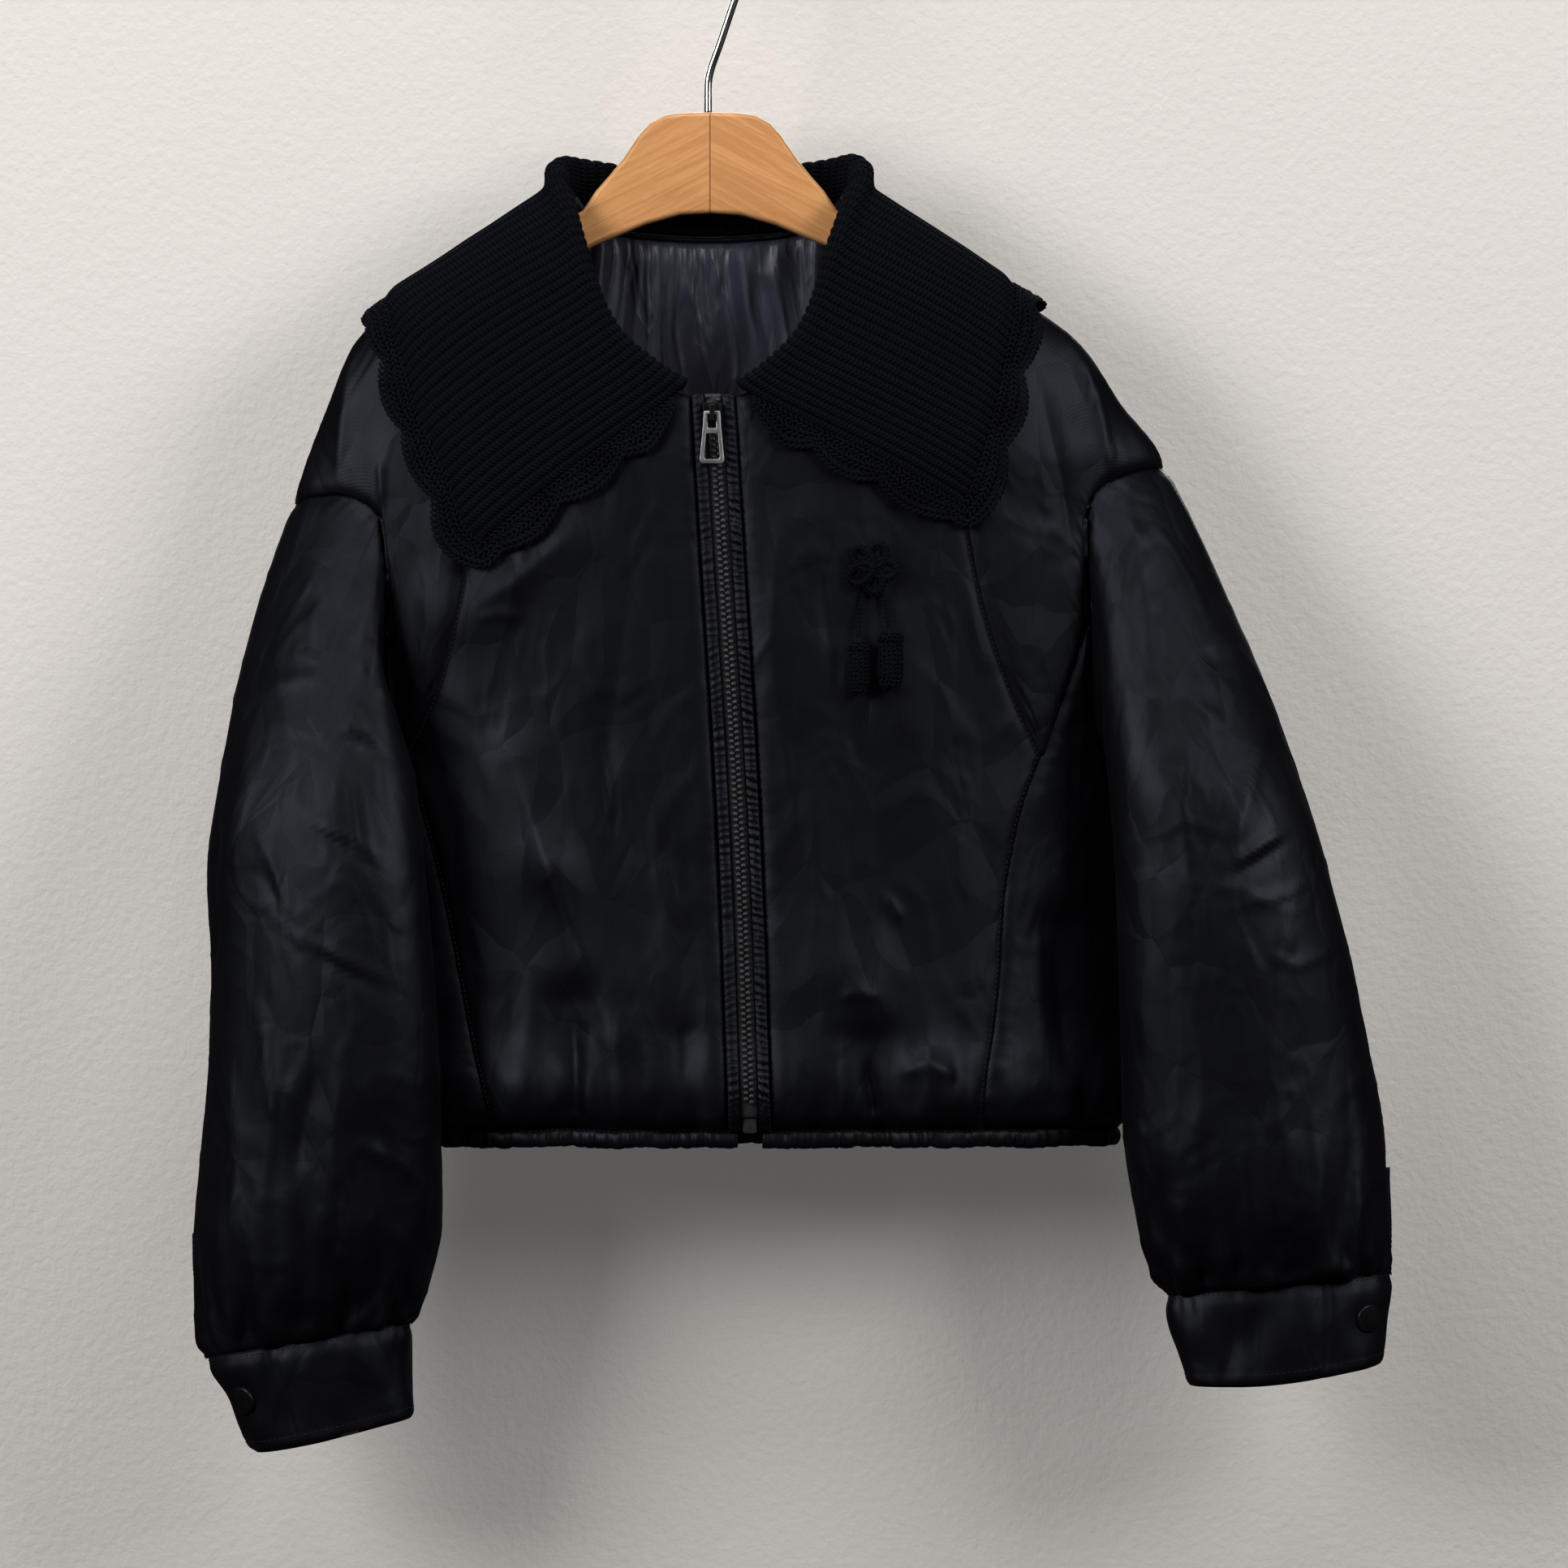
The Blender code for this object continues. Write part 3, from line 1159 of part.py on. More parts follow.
def build_charm():
    """A crochet bow with five lobes, and two pods on cords below it."""
    x0, z0 = CHARM_BOW
    seat = front_seat(x0, z0, 0.0)
    seat[1] = min(front_seat(x0 + x, z0 + z, 0.0)[1] for x in (-13, 0, 13) for z in (-13, 0, 13)) - 0.4
    sides, rings = 30, ((0.0, 4.2), (0.35, 4.6), (0.75, 6.2), (0.97, 3.6))
    points, faces = [seat + np.array([0, -4.2, 0])], []
    for share, thick in rings[1:]:
        for k in range(sides):
            turn = 2 * math.pi * k / sides
            lobe = 1 + 0.13 * math.cos(5 * turn + 0.6) * share
            points.append(seat + np.array([14.2 * share * lobe * math.cos(turn), -thick,
                                           13.6 * share * lobe * math.sin(turn)]))
    base = len(points)
    points += [p + np.array([0, -p[1] + seat[1], 0]) for p in points[base - sides:base]]
    points.append(seat.copy())
    for k in range(sides):
        j = (k + 1) % sides
        faces.append([0, 1 + k, 1 + j])
        for ring in range(3):
            low = 1 + ring * sides
            faces.append([low + k, low + sides + k, low + sides + j, low + j])
        faces.append([base + j, base + k, len(points) - 1])
    add_object("charm_bow", points, faces, KNIT)
    for number, (x, z) in enumerate(CHARM_PODS, 1):
        half_high = (13.6, 14.6)[number - 1]
        half_wide = (5.9, 7.0)[number - 1]
        depth = 5.6
        middle = front_seat(x, z, depth + 0.6)
        path = [middle + np.array([0, 0, half_high * s]) for s in (1.0, 0.86, 0.55, 0.1, -0.45, -0.85, -1.0)]
        widths = [half_wide * s for s in (0.35, 0.74, 0.95, 0.97, 1.0, 0.82, 0.45)]
        tube(f"charm_pod_{number}", path, widths, 12, KNIT, flatten=depth / half_wide)
        start = np.array([x0 + (-4.0, 5.5)[number - 1], 0, z0 - 15.2])
        end = np.array([x, 0, z + half_high + 1.4])
        route = []
        for share in np.linspace(0, 1, 8):
            point = start * (1 - share) + end * share
            point[0] += (-0.6, 0.5)[number - 1] * math.sin(math.pi * share)
            lift = 1.5 + 2.2 * share
            route.append(front_seat(point[0], point[2], lift))
        route[-1] = np.array([end[0], middle[1], end[2]])
        tube(f"charm_cord_{number}", route, 1.0, 8, KNIT)


# ---------------------------------------------------------------- the hanger
def arm_top_z(x):
    """The highest that the hanger's arm can reach under the shell's inner surface."""
    reach = WOOD_THICK / 2 + 1.5
    side = 1 if x > 0 else -1
    z = -118.0
    while z > -320.0:
        middle, half, *_ = section(z)
        if abs(x - middle) < half - 2:
            slope = (section(z + 1)[1] - section(z - 1)[1]) / 2
            share = min(abs(x - middle) / (half - WALL * min(math.sqrt(1 + slope * slope), 2.2)), 1.0)
            across = (1 - share ** (2 / SQUARENESS)) ** (SQUARENESS / 2)
            _, _, depth, front, back = section(z)
            if depth - (front - WALL) * across < -reach and depth + (back - WALL) * across > reach:
                return z
        z -= 0.25
    return z


def build_hanger():
    top = []
    for side in (-1, 1):
        arm = []
        end = ARM_END[side]
        for share in np.linspace(0.0, 1.0, 8):
            x = 76 * side + (end - 76 * side) * share
            arm.append((x, arm_top_z(x) - ARM_DROP - 3.0 * share))
        middle = [(side * x + 1.0, z) for x, z in HANGER_TOP]
        top.append(middle + arm)
    right, left = top
    line = list(reversed(right))[:-1] + [(1.0, -94.9)] + left[1:]
    bottom = [(x + 1.0, z) for x, z in reversed(HANGER_BOTTOM)] + [(1.0 - x, z) for x, z in HANGER_BOTTOM[1:]]
    low_x, low_z = HANGER_BOTTOM[-1]
    tips = []
    for side, (x, z) in ((1, left[-1]), (-1, right[-1])):
        tips.append(((x + side * low_x + 1.0) / 2 + side * 5.5, (z + low_z) / 2))
    outline = line + [tips[0]] + bottom + [tips[1]]
    half = WOOD_THICK / 2
    edge = 1.6
    middle_line = np.array(outline)
    count = len(outline)
    inset = []
    for i in range(count):
        before, after = middle_line[i - 1], middle_line[(i + 1) % count]
        way = unit(after - before)
        inset.append(middle_line[i] + edge * np.array([way[1], -way[0]]))
    shape_rows = [
        [(x, -half, z) for x, z in inset], [(x, -half + edge, z) for x, z in outline],
        [(x, half - edge, z) for x, z in outline], [(x, half, z) for x, z in inset],
    ]
    points = [np.array(p) for row in shape_rows for p in row]
    faces = []
    for row in range(3):
        for i in range(count):
            j = (i + 1) % count
            faces.append([row * count + i, row * count + j, (row + 1) * count + j, (row + 1) * count + i])
    faces.append(list(range(count)))
    faces.append([3 * count + i for i in reversed(range(count))])
    add_object("hanger_wood", points, faces, WOOD)

    lean = math.radians(18.5)
    bend_z = WOOD_TOP_Z + 18
    centre_z = -HOOK_RADIUS + HOOK_WIRE / 2
    tangent = (bend_z - centre_z) * -math.cos(lean)
    route = [np.array([0, 0, z]) for z in (WOOD_TOP_Z + 0.4, WOOD_TOP_Z + 9, bend_z - 1.5)]
    way = np.array([math.sin(lean), 0, math.cos(lean)])
    bend = np.array([0, 0, bend_z])
    route += [bend + way * length for length in (1.5, tangent * 0.35, tangent * 0.7)]
    for degrees in range(-18, 206, 14):
        turn = math.radians(degrees)
        route.append(np.array([HOOK_RADIUS * math.cos(turn), 0, centre_z + HOOK_RADIUS * math.sin(turn)]))
    tube("hanger_hook", route, HOOK_WIRE / 2, 8, WIRE)


# ---------------------------------------------------------------- all of it
for old in list(bpy.data.objects):
    bpy.data.objects.remove(old, do_unlink=True)

SATIN = new_material("satin", (0.012, 0.013, 0.018), 0.42)
KNIT = new_material("knit", (0.006, 0.008, 0.014), 0.92)
LINING = new_material("lining", (0.05, 0.05, 0.065), 0.38)
TAPE = new_material("zip_tape", (0.02, 0.02, 0.022), 0.8)
METAL = new_material("gunmetal", (0.12, 0.12, 0.125), 0.38, 0.8)
WIRE = new_material("chrome_wire", (0.6, 0.6, 0.6), 0.15, 1.0)
WOOD = new_material("wood", (0.42, 0.22, 0.1), 0.45)

build_shell()
build_sleeves()
build_lace(build_collar())
build_neck_binding()
build_back_lining()
build_hem_casing()
build_zip()
build_charm()
build_hanger()
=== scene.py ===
import json
import math

import bmesh
import bpy
import numpy as np
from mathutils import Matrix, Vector, noise

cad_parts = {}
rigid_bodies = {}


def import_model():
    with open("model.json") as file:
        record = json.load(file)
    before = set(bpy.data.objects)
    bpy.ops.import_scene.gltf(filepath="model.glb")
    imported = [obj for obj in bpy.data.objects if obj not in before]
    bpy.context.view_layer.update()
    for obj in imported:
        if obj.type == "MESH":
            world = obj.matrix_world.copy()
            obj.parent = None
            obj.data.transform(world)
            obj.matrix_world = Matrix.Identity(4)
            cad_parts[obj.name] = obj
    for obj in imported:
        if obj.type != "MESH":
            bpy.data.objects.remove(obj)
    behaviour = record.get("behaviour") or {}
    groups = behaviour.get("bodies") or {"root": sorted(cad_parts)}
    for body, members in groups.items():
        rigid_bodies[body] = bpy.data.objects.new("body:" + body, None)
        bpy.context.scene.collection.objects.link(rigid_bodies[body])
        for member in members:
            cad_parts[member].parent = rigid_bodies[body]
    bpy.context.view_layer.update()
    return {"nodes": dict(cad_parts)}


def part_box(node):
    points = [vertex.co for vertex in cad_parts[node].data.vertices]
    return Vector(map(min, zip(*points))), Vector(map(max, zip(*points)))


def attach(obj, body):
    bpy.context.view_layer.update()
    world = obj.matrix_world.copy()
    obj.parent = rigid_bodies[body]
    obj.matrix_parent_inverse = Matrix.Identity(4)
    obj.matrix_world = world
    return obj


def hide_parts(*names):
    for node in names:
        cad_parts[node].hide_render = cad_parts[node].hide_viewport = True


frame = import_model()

sideName = {-1: "right", 1: "left"}
quarter = math.pi / 2
fullTurn = 2 * math.pi
hemHeight = -636.5
neckHeight = -138.0
shoulderHeight = -160.0
zipTop = -247.5
underarm = -447.0
bodyCentre = (20.0, 10.0)
shell = {"wall": 5.0, "lining": 0.4, "squareness": 0.88, "seamDip": 1.9, "seamWidth": 3.4, "pucker": 0.34,
         "inside": 0.9}
finer = 9


def linked(name, data):
    made = bpy.data.objects.new(name, data)
    bpy.context.scene.collection.objects.link(made)
    return made


# The camera.
view = {"distance": 6.0, "front": 0.03, "across": 0.0404, "high": -0.4523, "wide": 0.8308, "sensor": 36.0}
cameraData = bpy.data.cameras.new("camera")
cameraData.sensor_width = view["sensor"]
cameraData.lens = view["sensor"] * view["distance"] / view["wide"]
camera = linked("camera", cameraData)
camera.location = (view["across"], -view["distance"] - view["front"], view["high"])
camera.rotation_euler = (quarter, 0, 0)
bpy.context.scene.camera = camera


# Curves and sections, in millimetres as the part's source has them.
def smoothCurve(keys, values):
    keys, values = np.asarray(keys, float), np.asarray(values, float)
    if keys[0] > keys[-1]:
        keys, values = keys[::-1], values[::-1]
    step = np.diff(keys)
    rise = np.diff(values) / step
    slope = np.zeros(len(keys))
    slope[0], slope[-1] = rise[0], rise[-1]
    for i in range(1, len(keys) - 1):
        if rise[i - 1] * rise[i] > 0:
            a, b = 2 * step[i] + step[i - 1], step[i] + 2 * step[i - 1]
            slope[i] = (a + b) / (a / rise[i - 1] + b / rise[i])

    def at(key):
        key = np.asarray(key, float)
        k = np.clip(np.searchsorted(keys, key) - 1, 0, len(step) - 1)
        t = np.clip((key - keys[k]) / step[k], 0, 1)
        return (values[k] * (1 + 2 * t) * (1 - t) ** 2 + values[k + 1] * t * t * (3 - 2 * t)
                + step[k] * (slope[k] * t * (1 - t) ** 2 - slope[k + 1] * t * t * (1 - t)))

    return at


def runAlong(line):
    return np.concatenate([[0], np.cumsum(np.linalg.norm(np.diff(line, axis=0), axis=1))])


# A line's value at each place of a run along it.
def placedOn(places, run, line):
    return np.stack([np.interp(places, run, line[:, i]) for i in range(line.shape[1])], -1)


def pathPoints(points, count):
    points = np.asarray(points, float)
    length = runAlong(points)
    fine = np.linspace(0, length[-1], 12 * len(points))
    dense = np.stack([smoothCurve(length, points[:, i])(fine) for i in range(points.shape[1])], 1)
    run = runAlong(dense)
    return placedOn(np.linspace(0, run[-1], count + 1), run, dense)


def unit(vector):
    return vector / np.maximum(np.linalg.norm(vector, axis=-1, keepdims=True), 1e-9)


def signedPower(value, power):
    return np.sign(value) * np.abs(value) ** power


# 1 where the value is 0, falling away on both sides of it.
def bell(value, width):
    return np.exp(-((value / width) ** 2))


# The body's sections at each height: the two sides' places across, the side line's depth, and how far the
# front and the back reach from it. A fold's row has its face, its line's two ends, its width and its height.
body = {
    "columns": ("z", "right", "left", "side", "front", "back"),
    "rows": ((-118, -48, 46, 0, 14, 15), (-128, -64, 62, 0, 17, 18), (-138, -79, 80, 0, 20, 21),
        (-160, -112, 114, 0, 28, 24), (-185, -150, 152, 1, 36, 27), (-206, -180, 186, 2, 41, 29),
        (-219, -190, 200, 3, 44, 30), (-248, -203, 220, 5, 49, 31), (-283, -216.5, 244, 8, 54, 30),
        (-303, -222, 243, 10, 56, 28), (-340, -214, 239, 13, 60, 25), (-400, -196, 230, 17, 65, 20),
        (-447, -184, 224, 20, 68, 17), (-500, -183, 224, 20, 69, 16), (-580, -184, 225, 20, 72, 17),
        (-612, -187, 228, 20, 76, 20), (-628, -184, 225, 20, 73, 18), (-636.5, -178, 220, 20, 66, 13),
        (-648, -174, 216, 20, 63, 11)),
    "folds": (("front", -103, -441, -83, -497, 20, 4), ("front", -83, -497, -52, -583, 18, 5),
        ("front", -72, -570, -70, -640, 15, -6), ("front", -14, -587, -13, -640, 14, -3),
        ("front", -129, -363, -71, -322, 18, 3), ("front", 78, -560, 80, -575, 24, 5),
        ("front", 85, -590, 92, -640, 14, -7), ("front", 120, -605, 122, -620, 18, 4),
        ("front", 188, -531, 190, -620, 15, -5), ("front", -100, -612, -98, -622, 18, 3),
        ("back", -95, -440, -60, -570, 22, 4), ("back", 120, -430, 84, -560, 24, 4.5),
        ("back", -62, -575, -60, -640, 16, -5), ("back", 12, -560, 16, -640, 18, -4),
        ("back", 96, -580, 92, -640, 15, -6), ("back", -130, -590, -132, -640, 16, -4)),
}

zipper = {"top": -246.0, "foot": -628.5, "tapeHalf": 4.6, "weltHalf": 11.2, "pitch": 3.2, "toothOut": 1.45,
          "slider": -257.0, "ruffle": {-1: 0.8, 1: 1.7}}

# Seams, seen from the front; 1 is the wearer's left.
seams = {
    "zip": ((2.6, -244), (5.6, -295), (17.2, -490), (22.6, -640)),
    "neckline": {
        -1: ((-9, -247.5), (-15, -245.5), (-32, -235), (-54.6, -213), (-71, -170), (-79, -138)),
        1: ((14, -247.5), (20, -245.5), (34, -236), (56, -213), (70, -170), (80, -138)),
    },
    "backNeck": ((80, -138), (66, -151), (40, -158), (0, -160), (-40, -158), (-66, -151), (-79, -138)),
    "princess": {
        -1: ((-112, -160), (-116, -205), (-122, -262), (-129.4, -333), (-134.6, -363), (-141.9, -393),
            (-153.9, -422), (-162, -437)),
        1: ((114, -160), (121, -205), (130, -262), (139.8, -324), (144.9, -349), (152.2, -375), (163, -405),
            (177.6, -437)),
    },
    "lowerPrincess": {
        -1: ((-162, -437), (-150.5, -475), (-141.9, -509), (-132, -558), (-124.7, -595), (-118.7, -621),
            (-116.3, -636.5)),
        1: ((177.6, -437), (168, -463), (161.7, -490), (157.8, -514), (155.7, -551), (152.2, -583),
            (148.4, -607), (146.2, -636.5)),
    },
    "armholeTop": {
        -1: ((-222, -303), (-212, -299.5), (-197, -298.8), (-182.5, -303), (-173, -311)),
        1: ((244, -283.5), (230, -286), (216.3, -290.7), (207, -297), (202.5, -304)),
    },
    "armholeSide": {
        -1: ((-173, -311), (-170.5, -329), (-170, -350), (-170.5, -372)),
        1: ((202.5, -304), (200.4, -317), (201.2, -338), (202.5, -368)),
    },
    "armholeLow": {
        -1: ((-170.5, -372), (-171.5, -405), (-174, -428), (-178, -440), (-184, -447)),
        1: ((202.5, -368), (204.5, -405), (207, -428), (213, -441), (224, -447)),
    },
    "armholeBack": {
        -1: ((-222, -303), (-205, -301), (-190, -304), (-180, -313), (-174.5, -330), (-173, -355),
            (-173.5, -385), (-176, -412), (-180, -431), (-184, -447)),
        1: ((244, -283.5), (230, -285.5), (217, -290), (209, -299), (205, -315), (204, -340), (206, -370),
            (210, -400), (216, -426), (224, -447)),
    },
    "point": {
        -1: ((-170.5, -372), (-167.5, -400), (-163.8, -437)),
        1: ((202.5, -368), (192.2, -400), (179.4, -437)),
    },
    "shoulderTip": {-1: -303, 1: -283.5},
}

bodyCurves = {name: smoothCurve([row[0] for row in body["rows"]], [row[i + 1] for row in body["rows"]])
              for i, name in enumerate(body["columns"][1:])}
zipAcross = smoothCurve([p[1] for p in seams["zip"]], [p[0] for p in seams["zip"]])


def section(z):
    right, left = bodyCurves["right"](z), bodyCurves["left"](z)
    depths = (bodyCurves[name](z) for name in ("side", "front", "back"))
    return (right + left) / 2, (left - right) / 2, *depths


def foldDepth(x, z, face):
    total = np.zeros(np.broadcast(x, z).shape)
    for _, x0, z0, x1, z1, width, height in (row for row in body["folds"] if row[0] == face):
        ax, az = x1 - x0, z1 - z0
        t = np.clip(((x - x0) * ax + (z - z0) * az) / (ax * ax + az * az), 0, 1)
        away = np.hypot(x - x0 - t * ax, z - z0 - t * az)
        total += height * bell(away, width)
    return total


def bodyPoint(angle, z, sunk=0.0):
    angle, z = np.asarray(angle, float), np.asarray(z, float)
    middle, half, side, front, back = section(z)
    if sunk:
        slope = (section(z + 1)[1] - section(z - 1)[1]) / 2
        half = half - sunk * np.minimum(np.sqrt(1 + slope * slope), 2.2)
        front, back = front - sunk, back - sunk
    x = middle + half * signedPower(np.sin(angle), shell["squareness"])
    across = signedPower(np.cos(angle), shell["squareness"])
    ahead = across > 0
    y = side - np.where(ahead, front, back) * across
    depth = np.where(ahead, foldDepth(x, z, "front"), foldDepth(x, z, "back"))
    depth = depth * np.minimum(np.abs(across) * 1.6, 1)
    return np.stack([x, np.where(ahead, y - depth, y + depth), z + 0 * x], -1)


def angleAt(x, z, behind=False):
    middle, half, *_ = section(z)
    share = np.clip((x - middle) / half, -1, 1)
    angle = np.arcsin(signedPower(share, 1 / shell["squareness"]))
    return np.where(angle >= 0, math.pi - angle, -math.pi - angle) if behind else angle


def bodyNormal(angle, z):
    around = bodyPoint(angle + 0.01, z) - bodyPoint(angle - 0.01, z)
    up = bodyPoint(angle, z + 1.5) - bodyPoint(angle, z - 1.5)
    return unit(np.cross(around, up))


def onBody(angle, z, out):
    return bodyPoint(angle, z) + bodyNormal(angle, z) * np.asarray(out)[..., None]


def angleOfPoint(point):
    middle, half, side, front, back = section(point[..., 2])
    across = (side - point[..., 1]) / np.where(point[..., 1] < side, front, back)
    power = 1 / shell["squareness"]
    return np.arctan2(signedPower((point[..., 0] - middle) / half, power), signedPower(across, power))


# The way along the cloth from the middle of the front or the back, by height and by angle, and the reverse.
flatHeights = np.linspace(-652, -110, 543)
flatTurns = np.linspace(0, quarter, 91)
flatShares = 120


def flatTables(behind):
    _, half, _, front, back = section(flatHeights)
    x = half[:, None] * np.sin(flatTurns) ** shell["squareness"]
    y = (back if behind else front)[:, None] * np.maximum(np.cos(flatTurns), 0) ** shell["squareness"]
    run = np.concatenate([np.zeros((len(x), 1)), np.cumsum(np.hypot(np.diff(x), np.diff(y)), axis=1)], axis=1)
    shares = np.linspace(0, 1, flatShares + 1)
    turns = np.array([np.interp(shares * row[-1], row, flatTurns) for row in run])
    return run, run[:, -1], turns


flat = {behind: flatTables(behind) for behind in (False, True)}


def lookUp(table, row, column):
    row = np.clip(row, 0, table.shape[0] - 1.001)
    column = np.clip(column, 0, table.shape[1] - 1.001)
    i, j = row.astype(int), column.astype(int)
    a, b = row - i, column - j
    return ((1 - a) * ((1 - b) * table[i, j] + b * table[i, j + 1])
            + a * ((1 - b) * table[i + 1, j] + b * table[i + 1, j + 1]))


def flatPlace(places, behind):
    angle, z = places[..., 0], places[..., 1]
    angle = np.where(angle > math.pi, angle - fullTurn, angle)
    turn = math.pi - np.abs(angle) if behind else np.abs(angle)
    run = lookUp(flat[behind][0], z - flatHeights[0], turn / flatTurns[1])
    return np.stack([section(z)[0] + np.sign(angle) * run, z], -1)


def bodyPlace(spots, behind):
    across, z = spots[..., 0] - section(spots[..., 1])[0], spots[..., 1]
    length = np.interp(z, flatHeights, flat[behind][1])
    turn = lookUp(flat[behind][2], z - flatHeights[0], np.abs(across) / length * flatShares)
    angle = np.sign(across) * (math.pi - turn if behind else turn)
    return np.stack([angle, z], -1)


def patch(top, bottom, first, last, behind=False, fade=1.0):
    rows, columns = len(first), len(top)
    topFlat, bottomFlat = flatPlace(top, behind), flatPlace(bottom, behind)
    firstFlat, lastFlat = flatPlace(first, behind), flatPlace(last, behind)
    v = (1 - (1 - np.linspace(0, 1, rows)) ** fade)[:, None, None]
    u = np.linspace(0, 1, columns)[None, :, None]
    corners = (1 - u) * ((1 - v) * topFlat[0] + v * bottomFlat[0])
    corners = corners + u * ((1 - v) * topFlat[-1] + v * bottomFlat[-1])
    between = (1 - v) * topFlat[None] + v * bottomFlat[None] + (1 - u) * firstFlat[:, None]
    places = bodyPlace(between + u * lastFlat[:, None] - corners, behind)
    if behind:
        places[..., 0] = np.where(places[..., 0] < 0, places[..., 0] + fullTurn, places[..., 0])
    places[0], places[-1], places[:, 0], places[:, -1] = top, bottom, first, last
    return places


# The way that a line in space runs at each of its points.
def waysAlong(line):
    return unit(np.concatenate([line[1:2] - line[:1], line[2:] - line[:-2], line[-1:] - line[-2:-1]]))


def seam(points, steps, behind=False):
    spots = pathPoints(points, steps)
    return np.stack([angleAt(spots[:, 0], spots[:, 1], behind), spots[:, 1]], 1)


def sideLine(side, high, low, steps):
    return np.stack([np.full(steps + 1, side * quarter), np.linspace(high, low, steps + 1)], 1)


def level(first, last, steps):
    return first + (last - first) * np.linspace(0, 1, steps + 1)[:, None]


# Meshes from grids of points in millimetres.
def gridNormals(grid, closed=False):
    around = np.roll(grid, -1, 1) - np.roll(grid, 1, 1) if closed else np.gradient(grid, axis=1)
    return unit(np.cross(np.gradient(grid, axis=0), around))


def facing(normals, grid, centre):
    return normals if np.sum(normals * (grid - centre)) > 0 else -normals


def runs(grid, axis):
    step = np.linalg.norm(np.diff(grid, axis=axis), axis=-1)
    start = np.zeros_like(np.take(step, [0], axis))
    return np.concatenate([start, np.cumsum(step, axis=axis)], axis=axis)


def wrapped(grid):
    return np.concatenate([grid, grid[:, :1]], axis=1)


# Each face's four corners, going round it.
def quads(grid):
    return np.stack([grid[:-1, :-1], grid[:-1, 1:], grid[1:, 1:], grid[1:, :-1]], 2)


# The cloth's own places in metres, across and down, for a grid in millimetres.
def clothPlaces(grid):
    across = np.mean(runs(grid, 1), axis=0)[None, :] + np.zeros((len(grid), 1))
    down = np.mean(runs(grid, 0), axis=1)[:, None] + np.zeros_like(across)
    return np.stack([across, down], -1) * 0.001


def meshObject(name, verts, faces, uv, materialOf, materials):
    mesh = bpy.data.meshes.new(name)
    mesh.from_pydata(verts * 0.001, [], faces)
    mesh.polygons.foreach_set("material_index", materialOf)
    mesh.polygons.foreach_set("use_smooth", np.ones(len(faces), bool))
    if uv is not None:
        mesh.uv_layers.new(name="cloth").data.foreach_set("uv", uv.ravel())
    for material in materials:
        mesh.materials.append(material)
    mesh.validate()
    mesh.update()
    return linked(name, mesh)


# The faces turned to the outside of a closed mesh; with remake they are also made to agree first.
def outward(made, remake=True):
    check = bmesh.new()
    check.from_mesh(made.data)
    if remake:
        bmesh.ops.recalc_face_normals(check, faces=check.faces)
    if check.calc_volume(signed=True) < 0:
        bmesh.ops.reverse_faces(check, faces=check.faces)
    check.to_mesh(made.data)
    check.free()


# A closed wall of cloth: the first material is on the outer grid and the rims, the second on the inner grid.
def clothWall(name, outer, inner, materials, closed=False):
    rows, columns = outer.shape[:2]
    half = rows * columns
    index = np.arange(half).reshape(rows, columns)
    if closed:
        index = wrapped(index)
    uvGrid = clothPlaces(wrapped(outer) if closed else outer)
    quad, quadUv = quads(index).reshape(-1, 4), quads(uvGrid).reshape(-1, 4, 2)
    faces, uvs, kinds = [quad, quad[:, ::-1] + half], [quadUv, quadUv[:, ::-1]], [0, 1]
    rims = [(index[0], uvGrid[0], True), (index[-1], uvGrid[-1], False)]
    if not closed:
        rims += [(index[:, 0], uvGrid[:, 0], False), (index[:, -1], uvGrid[:, -1], True)]
    for line, lineUv, turn in rims:
        ring = np.stack([line[:-1], line[1:], line[1:] + half, line[:-1] + half], -1)
        ringUv = np.stack([lineUv[:-1], lineUv[1:], lineUv[1:], lineUv[:-1]], -2)
        faces.append(ring[:, ::-1] if turn else ring)
        uvs.append(ringUv[:, ::-1] if turn else ringUv)
        kinds.append(0)
    materialOf = np.concatenate([np.full(len(f), min(k, len(materials) - 1)) for f, k in zip(faces, kinds)])
    made = meshObject(f"{name}_cloth", np.concatenate([outer.reshape(-1, 3), inner.reshape(-1, 3)]),
                      np.concatenate(faces), np.concatenate(uvs).reshape(-1, 2), materialOf, materials)
    outward(made, False)
    return made


# A crease: a ridge or, where height is below 0, a trough along a line, dying out at its ends, with a shallow
# dip on each side of it. Lines are seen from the front, in millimetres.
creaseShape = {"endShare": 0.3, "dip": 0.3, "dipReach": 2.6, "strength": 1.5, "narrow": 0.85}


def crease(x, z, points, width, height):
    points = np.asarray(points, float)
    best, share = np.full(x.shape, 1e9), np.zeros(x.shape)
    length = runAlong(points)
    for i in range(len(points) - 1):
        ax, az = points[i + 1] - points[i]
        t = np.clip(((x - points[i, 0]) * ax + (z - points[i, 1]) * az) / (ax * ax + az * az), 0, 1)
        away = np.hypot(x - points[i, 0] - t * ax, z - points[i, 1] - t * az)
        nearer = away < best
        best = np.where(nearer, away, best)
        share = np.where(nearer, (length[i] + t * (length[i + 1] - length[i])) / length[-1], share)
    fade = np.clip(np.minimum(share, 1 - share) / creaseShape["endShare"], 0.08, 1) ** 0.8
    width = width * (0.6 + 0.4 * fade)
    sharp = np.exp(-(np.sqrt(best ** 2 + 0.4) - 0.63) / width)
    return height * fade * (sharp - creaseShape["dip"] * bell(best, creaseShape["dipReach"] * width))


def creases(x, z, table):
    return sum(crease(x, z, points, creaseShape["narrow"] * width, creaseShape["strength"] * height)
               for points, width, height in table)


def softNoise(points, size, seed):
    scaled = points / np.asarray(size, float) + seed
    return np.array([noise.noise(p) for p in scaled.reshape(-1, 3).tolist()]).reshape(points.shape[:-1])


